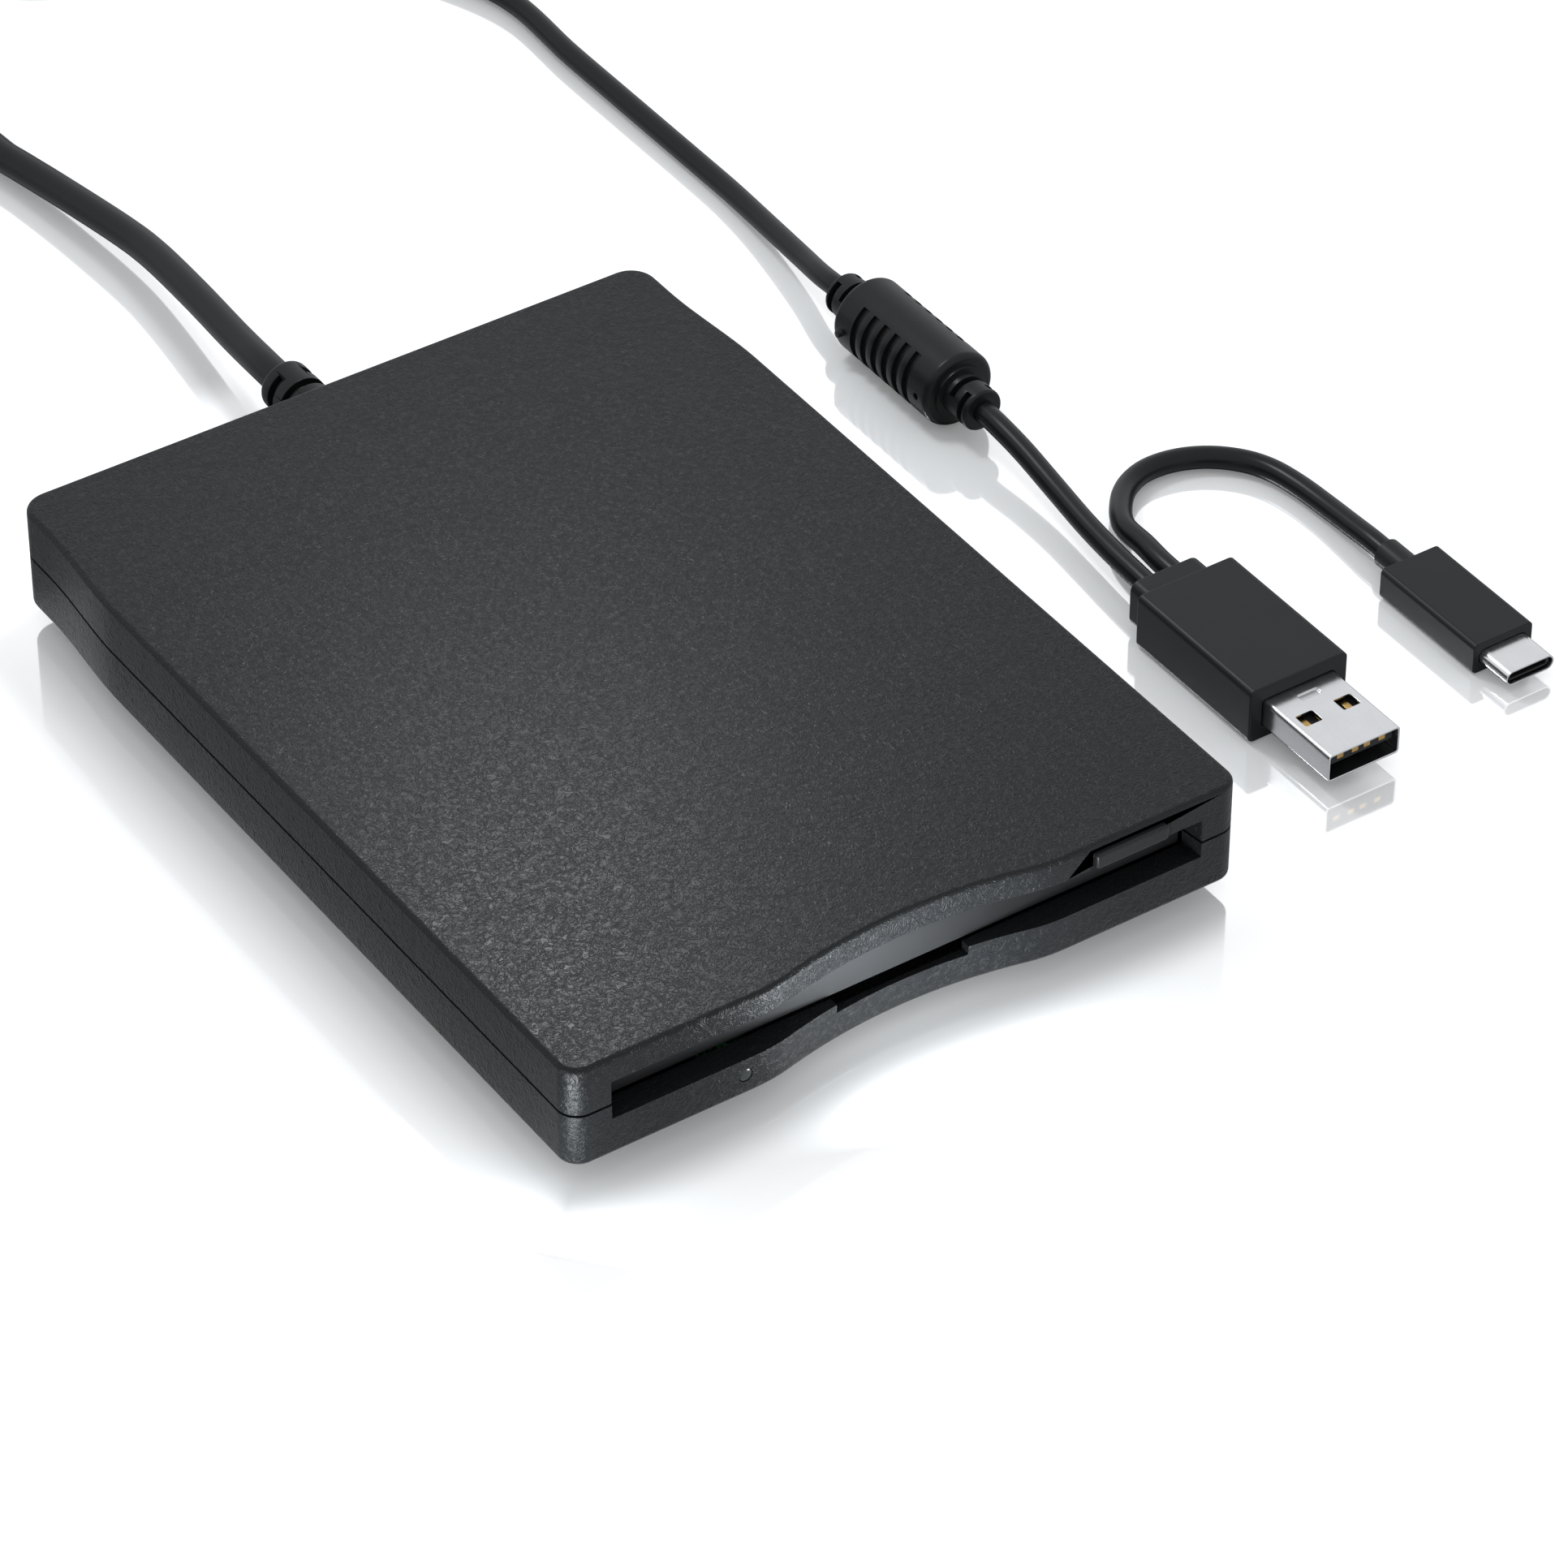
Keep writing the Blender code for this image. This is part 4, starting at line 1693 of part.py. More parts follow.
def make_upper_arm(look):
    """The upper arm: a thin spring plate with its hinge block behind."""
    top = UPPER_ARM_Z + UPPER_ARM_THICKNESS
    low = top - UPPER_ARM_BLOCK_HEIGHT
    block_front = ARM_HINGE_Y - UPPER_ARM_BLOCK_HALF
    block_back = ARM_HINGE_Y + UPPER_ARM_BLOCK_HALF
    section = [
        (ARM_FRONT, UPPER_ARM_Z),
        (block_front, UPPER_ARM_Z),
        (block_front, low),
        (block_back, low),
        (block_back, top),
        (ARM_FRONT, top),
    ]
    arm = plate("upper_head_arm", section, -ARM_WIDTH / 2, ARM_WIDTH, "X")
    start = (-ARM_WIDTH / 2 - OVERRUN, ARM_HINGE_Y, ARM_HINGE_Z)
    hole = ARM_PIN_RADIUS + RUNNING_GAP
    cut(arm, rod("cut_arm_hole", start, hole, ARM_WIDTH + 2 * OVERRUN, "X", 16))
    return finish(set_origin(arm, (0.0, ARM_HINGE_Y, ARM_HINGE_Z)), look)


def make_arm_pin(look):
    start = (-BLOCK_RIGHT, ARM_HINGE_Y, ARM_HINGE_Z)
    return finish(rod("arm_hinge_pin", start, ARM_PIN_RADIUS, 2 * BLOCK_RIGHT, "X", 16), look)


def make_guide_rod(look):
    rod_made = rod("guide_rod", (ROD_X, ROD_FRONT, ROD_Z), ROD_RADIUS, ROD_BACK - ROD_FRONT, "Y", 20)
    return finish(rod_made, look)


def make_lead_screw(look):
    """The motor's long shaft, with its slim pivot in the bracket's front ear."""
    end = STEPPER_FRONT - SEAT_GAP
    profile = [
        (0.0, end),
        (SCREW_RADIUS, end),
        (SCREW_RADIUS, SCREW_FRONT),
        (SCREW_PIVOT_RADIUS, SCREW_FRONT),
        (SCREW_PIVOT_RADIUS, BRACKET_FRONT),
        (0.0, BRACKET_FRONT),
    ]
    return finish(turned("lead_screw", profile, (SCREW_X, 0.0, SCREW_Z), "Y", 20), look)


def make_screw_bracket(look):
    """The bent strip that carries the motor and, at its front ear, the screw's pivot."""
    back = STEPPER_FRONT - SEAT_GAP
    floor = BOARD_Z + THIN_SHEET
    section = [
        (BRACKET_FRONT, BOARD_Z),
        (back, BOARD_Z),
        (back, BOARD_Z + BRACKET_BACK_HEIGHT),
        (back - THIN_SHEET, BOARD_Z + BRACKET_BACK_HEIGHT),
        (back - THIN_SHEET, floor),
        (BRACKET_FRONT + THIN_SHEET, floor),
        (BRACKET_FRONT + THIN_SHEET, BOARD_Z + BRACKET_FRONT_HEIGHT),
        (BRACKET_FRONT, BOARD_Z + BRACKET_FRONT_HEIGHT),
    ]
    bracket = plate("screw_bracket", section, SCREW_X - BRACKET_WIDTH / 2, BRACKET_WIDTH, "X")
    hole = SCREW_RADIUS + RUNNING_GAP
    start = (SCREW_X, back - THIN_SHEET - OVERRUN, SCREW_Z)
    cut(bracket, rod("cut_back_ear", start, hole, THIN_SHEET + 2 * OVERRUN, "Y", 20))
    hole = SCREW_PIVOT_RADIUS + RUNNING_GAP
    start = (SCREW_X, BRACKET_FRONT - OVERRUN, SCREW_Z)
    cut(bracket, rod("cut_front_ear", start, hole, THIN_SHEET + 2 * OVERRUN, "Y", 16))
    return finish(bracket, look)


def make_stepper(look):
    length = STEPPER_LENGTH
    profile = [
        (0.0, length),
        (STEPPER_RADIUS - STEPPER_EDGE, length),
        (STEPPER_RADIUS, length - STEPPER_EDGE),
        (STEPPER_RADIUS, 0.0),
        (0.0, 0.0),
    ]
    return finish(turned("stepper_motor", profile, (SCREW_X, STEPPER_FRONT, SCREW_Z), "Y", 32), look)


def make_main_board(look):
    """The controller board with its larger parts, which are soldered to it."""
    outline = rectangle(MAIN_BOARD_LEFT, MAIN_BOARD_RIGHT, MAIN_BOARD_FRONT, MAIN_BOARD_BACK)
    board = plate("main_board", outline, BOARD_Z, MAIN_BOARD_THICKNESS)
    width = MAIN_BOARD_RIGHT - MAIN_BOARD_LEFT
    length = MAIN_BOARD_BACK - MAIN_BOARD_FRONT
    place_shares = ((0.28, 0.62), (0.62, 0.72), (0.2, 0.18), (0.5, 0.35))
    sizes = (
        (CONTROLLER_SIZE, CONTROLLER_SIZE),
        (DRIVER_WIDTH, DRIVER_LENGTH),
        (DRIVER_LENGTH, DRIVER_WIDTH),
        (CRYSTAL_WIDTH, CRYSTAL_LENGTH),
    )
    for i, ((x_share, y_share), (size_x, size_y)) in enumerate(zip(place_shares, sizes)):
        x = MAIN_BOARD_LEFT + width * x_share
        y = MAIN_BOARD_FRONT + length * y_share
        low = (x - size_x / 2, y - size_y / 2, MAIN_BOARD_TOP - UNION_BITE)
        high = (x + size_x / 2, y + size_y / 2, MAIN_BOARD_TOP + CHIP_HEIGHT)
        join(board, box(f"add_chip_{i}", low, high))
    return finish(board, look)


def make_cable_header(look):
    low = (HEADER_X - HEADER_WIDTH / 2, MAIN_BOARD_BACK - HEADER_LENGTH, MAIN_BOARD_TOP + SEAT_GAP)
    high = (HEADER_X + HEADER_WIDTH / 2, MAIN_BOARD_BACK, MAIN_BOARD_TOP + SEAT_GAP + HEADER_HEIGHT)
    return finish(box("cable_header", low, high), look)


def make_cable_core(look):
    """The cable's bundle of wires, from the strain relief to the header."""
    points = [(x * MM, y * MM, GLAND_Z) for x, y in WIRE_ROUTE]
    return tube("cable_core", points, [WIRE_RADIUS] * len(points), look)


def make_ribbon(look):
    back = MAIN_BOARD_FRONT + SWITCH_SIZE
    outline = rectangle(RIBBON_X - RIBBON_WIDTH / 2, RIBBON_X + RIBBON_WIDTH / 2, back - RIBBON_LENGTH, back)
    return finish(plate("ribbon_cable", outline, MAIN_BOARD_TOP + SEAT_GAP, RIBBON_THICKNESS), look)


def make_switches(body_look, plunger_look):
    """Two switches on the deck, each with a plunger that the disk presses down."""
    half = SWITCH_SIZE / 2
    hole = PLUNGER_RADIUS + RUNNING_GAP
    top = BOARD_Z + SWITCH_HEIGHT
    plunger_low = top - PLUNGER_DEPTH + PLUNGER_TRAVEL + SEAT_GAP / 2
    length = HOLDER_LIP_Z - PLUNGER_GAP_TO_DISK - plunger_low
    for side, name in ((-1, "density"), (1, "write_protect")):
        x = side * SWITCH_X
        low = (x - half, SWITCH_Y - half, BOARD_Z)
        block = box(f"{name}_switch", low, (x + half, SWITCH_Y + half, top))
        start = (x, SWITCH_Y, top - PLUNGER_DEPTH)
        cut(block, rod(f"cut_{name}_switch", start, hole, PLUNGER_DEPTH + OVERRUN, "Z", 12))
        finish(block, body_look)
        start = (x, SWITCH_Y, plunger_low)
        finish(rod(f"{name}_plunger", start, PLUNGER_RADIUS, length, "Z", 16), plunger_look)


def make_case(looks):
    make_top_case(looks["case"])
    make_bottom_case(looks["case_lower"])
    make_feet(looks["rubber"])
    make_case_screws(looks["black_steel"])
    make_eject_button(looks["button"])
    make_lens(looks["lens"])
    make_led(looks["led"])
    make_dust_door(looks["door"])


def make_cable(looks):
    make_gland(looks["cable"])
    make_cords(looks["cable"])
    make_cord_coil(looks["cable"])
    make_coil_tie(looks["tie"])
    make_ferrite(looks["ferrite"])
    make_plug_a(looks["overmould"], looks["nickel"], looks["tongue"])
    make_plug_c(looks["overmould"], looks["nickel"], looks["tongue"])
    make_cable_core(looks["wire"])


def make_mechanism(looks):
    make_chassis(looks["steel"])
    make_mechanism_cover(looks["steel"])
    make_chassis_screws(looks["black_steel"])
    make_slider_frame(looks["steel"])
    make_slider_spring(looks["spring"])
    make_disk_holder(looks["steel"])
    make_shutter_lever(looks["steel"])
    make_spindle(looks["steel"], looks["steel"], looks["brass"])
    make_stator(looks["copper"])
    make_bearing(looks["brass"])
    make_motor_board(looks["board"])
    make_carriage(looks["carriage"])
    head_block("lower_head", CARRIAGE_Z + LOWER_ARM_THICKNESS + SEAT_GAP, LOWER_HEAD_HEIGHT, looks["head"])
    make_upper_arm(looks["carriage"])
    head_block("upper_head", UPPER_ARM_Z - SEAT_GAP - UPPER_HEAD_HEIGHT, UPPER_HEAD_HEIGHT, looks["head"])
    make_arm_pin(looks["steel"])
    make_guide_rod(looks["steel"])
    make_lead_screw(looks["steel"])
    make_screw_bracket(looks["steel"])
    make_stepper(looks["steel"])
    make_main_board(looks["board"])
    make_cable_header(looks["header"])
    make_ribbon(looks["ribbon"])
    make_switches(looks["switch"], looks["carriage"])


def make_looks():
    return {
        "case": material("case_plastic", (0.035, 0.037, 0.039), 0.55),
        "case_lower": material("case_plastic_lower", (0.03, 0.032, 0.034), 0.55),
        "button": material("button_plastic", (0.025, 0.026, 0.028), 0.4),
        "door": material("door_plastic", (0.02, 0.02, 0.022), 0.5),
        "lens": material("lens_plastic", (0.04, 0.05, 0.04), 0.25),
        "led": material("led_resin", (0.1, 0.5, 0.15), 0.3),
        "rubber": material("foot_rubber", (0.02, 0.02, 0.02), 0.9),
        "cable": material("cable_jacket", (0.02, 0.021, 0.022), 0.45),
        "tie": material("tie_strap", (0.03, 0.03, 0.03), 0.8),
        "ferrite": material("ferrite_mould", (0.02, 0.021, 0.022), 0.4),
        "overmould": material("plug_mould", (0.03, 0.031, 0.033), 0.5),
        "nickel": material("nickel_shell", (0.75, 0.75, 0.76), 0.2, 1.0),
        "tongue": material("plug_insulator", (0.02, 0.02, 0.02), 0.6),
        "steel": material("zinc_sheet", (0.55, 0.56, 0.57), 0.35, 1.0),
        "spring": material("spring_wire", (0.6, 0.6, 0.62), 0.3, 1.0),
        "black_steel": material("screw_steel", (0.08, 0.08, 0.085), 0.4, 1.0),
        "brass": material("bearing_brass", (0.7, 0.55, 0.3), 0.3, 1.0),
        "copper": material("stator_windings", (0.55, 0.25, 0.12), 0.4, 0.8),
        "board": material("circuit_board", (0.03, 0.16, 0.07), 0.5),
        "header": material("header_nylon", (0.75, 0.72, 0.62), 0.5),
        "ribbon": material("ribbon_film", (0.55, 0.32, 0.1), 0.4),
        "wire": material("wire_sleeve", (0.3, 0.05, 0.05), 0.5),
        "carriage": material("carriage_resin", (0.06, 0.06, 0.065), 0.5),
        "head": material("head_ceramic", (0.3, 0.3, 0.32), 0.2),
        "switch": material("switch_body", (0.02, 0.02, 0.02), 0.5),
    }


clear_scene()
PARTS = new_collection("floppy_disk_drive")
CUTTERS = new_collection("cutters")
LOOKS = make_looks()
make_case(LOOKS)
make_cable(LOOKS)
make_mechanism(LOOKS)
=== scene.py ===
"""The looks of an external floppy disk drive with its cable, ferrite and two plugs.

Each sub-assembly is a class that holds its sizes in metres, builds its meshes with Blender's
own tools and dresses them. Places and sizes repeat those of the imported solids.
"""

from __future__ import annotations

import json
import logging
import math
from dataclasses import dataclass, field
from enum import Enum
from typing import Callable, Iterable, Sequence

import bpy
from mathutils import Matrix, Vector

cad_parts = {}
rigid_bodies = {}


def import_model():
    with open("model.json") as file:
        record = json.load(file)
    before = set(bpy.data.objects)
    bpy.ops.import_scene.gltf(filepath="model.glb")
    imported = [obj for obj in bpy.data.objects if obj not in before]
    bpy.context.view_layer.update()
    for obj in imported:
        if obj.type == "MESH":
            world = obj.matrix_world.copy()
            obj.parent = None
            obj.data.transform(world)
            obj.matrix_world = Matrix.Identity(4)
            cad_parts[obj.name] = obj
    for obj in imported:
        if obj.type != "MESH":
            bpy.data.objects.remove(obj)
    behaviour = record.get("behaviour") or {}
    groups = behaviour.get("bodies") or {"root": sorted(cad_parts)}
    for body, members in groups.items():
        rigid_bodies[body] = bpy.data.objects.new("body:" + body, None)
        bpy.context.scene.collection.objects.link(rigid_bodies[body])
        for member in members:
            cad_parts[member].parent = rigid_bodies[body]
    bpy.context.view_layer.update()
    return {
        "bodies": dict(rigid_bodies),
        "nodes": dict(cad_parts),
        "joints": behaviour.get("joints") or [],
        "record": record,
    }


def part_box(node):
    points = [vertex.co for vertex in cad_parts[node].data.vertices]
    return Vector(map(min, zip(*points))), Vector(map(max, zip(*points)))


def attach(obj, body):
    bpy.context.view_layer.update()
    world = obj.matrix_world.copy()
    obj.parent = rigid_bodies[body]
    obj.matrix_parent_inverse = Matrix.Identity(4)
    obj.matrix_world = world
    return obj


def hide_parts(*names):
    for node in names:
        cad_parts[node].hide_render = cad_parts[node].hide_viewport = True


LOG = logging.getLogger("floppy_drive")
MM = 0.001
Point = tuple[float, float, float]
Flat = tuple[float, float]


class Axis(Enum):
    """The direction that a section is drawn along, with its two drawing axes."""

    X = (0, (1, 2))
    Y = (1, (0, 2))
    Z = (2, (0, 1))


# Shader maths -------------------------------------------------------------------------------


class Value:
    """A number in a node tree: a socket that adds its Math nodes as it is used in a sum."""

    def __init__(self, shader: "Shader", socket: bpy.types.NodeSocket) -> None:
        """Wraps a socket.

        Args:
            shader: the material's tree that the socket is in.
            socket: an output socket.
        """
        self.shader = shader
        self.socket = socket

    def _maths(self, operation: str, other: "Value | float", swapped: bool = False) -> "Value":
        """One Math node of this value and another.

        Args:
            operation: the Math node's operation.
            other: the second value.
            swapped: puts the second value first.

        Returns:
            The node's result.
        """
        pair = (other, self) if swapped else (self, other)
        return self.shader.node("ShaderNodeMath", {"operation": operation}, {0: pair[0], 1: pair[1]})

    def __add__(self, other: "Value | float") -> "Value":
        """The sum."""
        return self._maths("ADD", other)

    __radd__ = __add__

    def __sub__(self, other: "Value | float") -> "Value":
        """The difference."""
        return self._maths("SUBTRACT", other)

    def __rsub__(self, other: "Value | float") -> "Value":
        """The difference from a number."""
        return self._maths("SUBTRACT", other, True)

    def __mul__(self, other: "Value | float") -> "Value":
        """The product."""
        return self._maths("MULTIPLY", other)

    __rmul__ = __mul__

    def __truediv__(self, other: "Value | float") -> "Value":
        """The quotient."""
        return self._maths("DIVIDE", other)

    def __pow__(self, other: "Value | float") -> "Value":
        """The power."""
        return self._maths("POWER", other)

    def above(self, edge: "Value | float") -> "Value":
        """One where the value is over the edge, else zero."""
        return self._maths("GREATER_THAN", edge)

    def smooth(self, low: float, high: float) -> "Value":
        """A soft step from zero at low to one at high."""
        settings = {"interpolation_type": "SMOOTHSTEP"}
        return self.shader.node("ShaderNodeMapRange", settings, {0: self, 1: low, 2: high, 3: 0.0, 4: 1.0})


class Shader:
    """A material's node tree."""

    def __init__(self, name: str) -> None:
        """Makes an empty material with a Principled shader.

        Args:
            name: the material's name.
        """
        self.material = bpy.data.materials.new(name)
        self.material.use_nodes = True
        self.tree = self.material.node_tree
        self.surface = self.tree.nodes["Principled BSDF"]
        self._place: Value | None = None

    def node(self, kind: str, settings: dict, inputs: dict, output: int | str = 0) -> Value:
        """Adds any node.

        Args:
            kind: the node's type.
            settings: its own settings, set first.
            inputs: the value or link of each socket.
            output: the socket that is wanted.

        Returns:
            The wanted output.
        """
        made = self.tree.nodes.new(kind)
        for key, value in settings.items():
            if key == "stops":
                ramp = made.color_ramp
                for i, (at, colour) in enumerate(value):
                    stop = ramp.elements[i] if i < len(ramp.elements) else ramp.elements.new(at)
                    stop.position = at
                    stop.color = (*colour, 1.0)
            else:
                setattr(made, key, value)
        for key, value in inputs.items():
            self.feed(made.inputs[key], value)
        return Value(self, made.outputs[output])

    def feed(self, socket: bpy.types.NodeSocket, value: "Value | float | Sequence[float]") -> None:
        """Sets or links one input socket."""
        if isinstance(value, Value):
            self.tree.links.new(value.socket, socket)
        elif isinstance(value, (int, float)):
            socket.default_value = value
        else:
            wanted = len(socket.default_value)
            socket.default_value = tuple(value) + (1.0,) * (wanted - len(value))

    def place(self) -> Value:
        """The point on the piece, in metres in the part's own frame."""
        if self._place is None:
            self._place = self.node("ShaderNodeTexCoord", {}, {}, "Object")
        return self._place

    def along(self, axis: str) -> Value:
        """One coordinate of the point on the piece."""
        return self.node("ShaderNodeSeparateXYZ", {}, {0: self.place()}, axis)

    def stretched(self, scale: Point) -> Value:
        """The point on the piece, scaled by axis."""
        return self.node("ShaderNodeMapping", {}, {"Vector": self.place(), "Scale": scale})

    def noise(self, size: float, detail: float = 3.0, stretch: Point = (1.0, 1.0, 1.0),
              bend: float = 0.0) -> Value:
        """Smooth noise with features of about the given size in metres."""
        scale = tuple(value / size for value in stretch)
        inputs = {"Vector": self.stretched(scale), "Scale": 1.0, "Detail": detail, "Distortion": bend}
        return self.node("ShaderNodeTexNoise", {}, inputs, "Fac")

    def cells(self, size: float, feature: str = "F1") -> Value:
        """The distance to the nearest of scattered points about the given size apart."""
        inputs = {"Vector": self.stretched((1 / size,) * 3), "Scale": 1.0}
        return self.node("ShaderNodeTexVoronoi", {"feature": feature}, inputs, "Distance")

    def mix(self, share: Value | float, low: "Value | Point", high: "Value | Point") -> Value:
        """A colour between two colours."""
        inputs = {"Factor": share, 6: low, 7: high}
        settings = {"data_type": "RGBA"}
        made = self.tree.nodes.new("ShaderNodeMix")
        made.data_type = settings["data_type"]
        self.feed(made.inputs[0], inputs["Factor"])
        self.feed(made.inputs[6], low)
        self.feed(made.inputs[7], high)
        return Value(self, made.outputs[2])

    def bump(self, height: Value, depth: float, strength: float = 1.0) -> None:
        """Roughens the surface by a height from 0 to 1 that stands for depth metres."""
        inputs = {"Strength": strength, "Distance": depth, "Height": height}
        self.feed(self.surface.inputs["Normal"], self.node("ShaderNodeBump", {}, inputs))

    def set(self, **values: "Value | float | Point") -> "Shader":
        """Sets the Principled shader's sockets; a name's underscores stand for spaces."""
        for key, value in values.items():
            self.feed(self.surface.inputs[key.replace("_", " ")], value)
        return self


# Finishes -----------------------------------------------------------------------------------


@dataclass(frozen=True)
class GrainedShell:
    """Black moulded plastic with a fine leathery grain, as on the case."""

    name: str = "grained_shell"
    low: Point = (0.0078, 0.0083, 0.0089)
    high: Point = (0.0102, 0.0109, 0.0118)
    grain: float = 1.0 * MM
    depth: float = 0.075 * MM
    roughness: float = 0.32
    specular: float = 0.155

    def build(self) -> bpy.types.Material:
        """Makes the material."""
        shader = Shader(self.name)
        broad = shader.noise(self.grain * 3.0, 2.0, bend=0.8)
        fine = shader.noise(self.grain * 1.15, 3.0, bend=1.6)
        settings = {"operation": "ABSOLUTE"}
        crease = shader.node("ShaderNodeMath", settings, {0: fine - 0.5}).smooth(0.0, 0.16)
        height = crease * 0.55 + fine * 0.7 + broad * 0.5
        tone = shader.noise(9.0 * MM, 3.0)
        shader.bump(height, self.depth)
        shader.set(
            Base_Color=shader.mix(tone, self.low, self.high),
            Roughness=self.roughness + (fine - 0.5) * 0.14 + (tone - 0.5) * 0.05,
            Specular_IOR_Level=self.specular,
        )
        return shader.material


@dataclass(frozen=True)
class SatinMould:
    """Smooth satin plastic or rubber: plug bodies, cables, ferrite, button."""

    name: str
    colour: Point = (0.0095, 0.0098, 0.0102)
    roughness: float = 0.36
    specular: float = 0.19
    wave: float = 4.0 * MM
    depth: float = 0.006 * MM

    def build(self) -> bpy.types.Material:
        """Makes the material."""
        shader = Shader(self.name)
        broad = shader.noise(self.wave, 3.0)
        fine = shader.noise(0.22 * MM, 4.0)
        lighter = tuple(1.35 * value for value in self.colour)
        shader.bump(fine * 0.6 + broad * 0.4, self.depth)
        shader.set(
            Base_Color=shader.mix(broad, self.colour, lighter),
            Roughness=self.roughness + (broad - 0.5) * 0.08 + (fine - 0.5) * 0.08,
            Specular_IOR_Level=self.specular,
        )
        return shader.material


@dataclass(frozen=True)
class PlatedMetal:
    """Metal with a faint rolling grain and slight clouding."""

    name: str
    colour: Point = (0.72, 0.72, 0.73)
    shade: Point = (0.60, 0.60, 0.61)
    roughness: float = 0.22
    grain: float = 0.25 * MM
    stretch: Point = (1.0, 0.12, 1.0)
    depth: float = 0.004 * MM

    def build(self) -> bpy.types.Material:
        """Makes the material."""
        shader = Shader(self.name)
        lines = shader.noise(self.grain, 3.0, self.stretch)
        cloud = shader.noise(3.5 * MM, 2.0)
        shader.bump(lines, self.depth)
        shader.set(
            Base_Color=shader.mix(cloud * 0.6 + lines * 0.4, self.shade, self.colour),
            Roughness=self.roughness + (lines - 0.5) * 0.12 + (cloud - 0.5) * 0.08,
            Metallic=1.0,
        )
        return shader.material


@dataclass(frozen=True)
class SpangledSheet:
    """Zinc-plated sheet steel with a faint spangle, as inside the drive."""

    name: str = "zinc_sheet"
    colour: Point = (0.62, 0.63, 0.64)
    shade: Point = (0.44, 0.45, 0.47)

    def build(self) -> bpy.types.Material:
        """Makes the material."""
        shader = Shader(self.name)
        spangle = shader.cells(5.0 * MM)
        cloud = shader.noise(8.0 * MM, 4.0)
        fine = shader.noise(0.3 * MM, 3.0)
        shader.bump(fine * 0.7 + spangle * 0.3, 0.006 * MM)
        shader.set(
            Base_Color=shader.mix(spangle * 0.5 + cloud * 0.5, self.shade, self.colour),
            Roughness=0.34 + (cloud - 0.5) * 0.2,
            Metallic=1.0,
        )
        return shader.material


@dataclass(frozen=True)
class CircuitBoard:
    """Green solder mask with paler tracks that run along the board."""

    name: str = "circuit_board"
    mask: Point = (0.008, 0.060, 0.022)
    track: Point = (0.020, 0.115, 0.045)

    def build(self) -> bpy.types.Material:
        """Makes the material."""
        shader = Shader(self.name)
        bend = shader.noise(9.0 * MM, 1.0)
        lines = shader.along("X") / (0.9 * MM) + bend * 4.0
        wave = shader.node("ShaderNodeMath", {"operation": "FRACT"}, {0: lines})
        stripe = wave.above(0.45) * shader.noise(6.0 * MM, 1.0).above(0.48)
        shader.bump(stripe, 0.02 * MM, 0.6)
        shader.set(Base_Color=shader.mix(stripe, self.mask, self.track), Roughness=0.35 + stripe * 0.1)
        return shader.material


@dataclass(frozen=True)
class WoundCopper:
    """Enamelled copper wire wound side by side."""

    name: str = "wound_copper"
    colour: Point = (0.62, 0.26, 0.12)

    def build(self) -> bpy.types.Material:
        """Makes the material."""
        shader = Shader(self.name)
        cloud = shader.noise(0.25 * MM, 2.0, (1.0, 1.0, 0.2))
        shader.bump(cloud, 0.03 * MM)
        darker = tuple(0.5 * value for value in self.colour)
        shader.set(Base_Color=shader.mix(cloud, darker, self.colour), Roughness=0.35, Metallic=0.85)
        return shader.material


@dataclass(frozen=True)
class FlatFilm:
    """Amber polyimide film with its row of conductors."""

    name: str = "flat_film"
    film: Point = (0.40, 0.17, 0.03)
    line: Point = (0.58, 0.30, 0.08)

    def build(self) -> bpy.types.Material:
        """Makes the material."""
        shader = Shader(self.name)
        lines = shader.along("X") / (1.0 * MM)
        wave = shader.node("ShaderNodeMath", {"operation": "FRACT"}, {0: lines})
        stripe = wave.smooth(0.4, 0.5)
        shader.bump(stripe, 0.02 * MM, 0.5)
        shader.set(Base_Color=shader.mix(stripe, self.film, self.line), Roughness=0.25 + stripe * 0.1)
        return shader.material


@dataclass(frozen=True)
class WovenStrap:
    """Black woven strap: crossing ribs."""

    name: str = "woven_strap"
    colour: Point = (0.014, 0.014, 0.015)

    def build(self) -> bpy.types.Material:
        """Makes the material."""
        shader = Shader(self.name)
        rib = shader.noise(0.35 * MM, 2.0, (0.2, 1.0, 1.0))
        cross = shader.noise(0.35 * MM, 2.0, (1.0, 0.3, 0.3))
        weave = rib * 0.5 + cross * 0.5
        lighter = tuple(2.6 * value for value in self.colour)
        shader.bump(weave, 0.08 * MM)
        shader.set(Base_Color=shader.mix(weave, self.colour, lighter), Roughness=0.8 + (weave - 0.5) * 0.2)
        return shader.material


# Bench tools --------------------------------------------------------------------------------


def deselect_all() -> None:
    """Leaves nothing selected."""
    for piece in bpy.context.view_layer.objects:
        piece.select_set(False)


def take(piece: bpy.types.Object) -> None:
    """Selects one piece alone and makes it the active one."""
    deselect_all()
    piece.hide_set(False)
    piece.select_set(True)
    bpy.context.view_layer.objects.active = piece


def settle(piece: bpy.types.Object) -> bpy.types.Object:
    """Puts a piece's place into its mesh and leaves its object at the origin."""
    take(piece)
    bpy.ops.object.transform_apply(location=True, rotation=True, scale=True)
    return piece


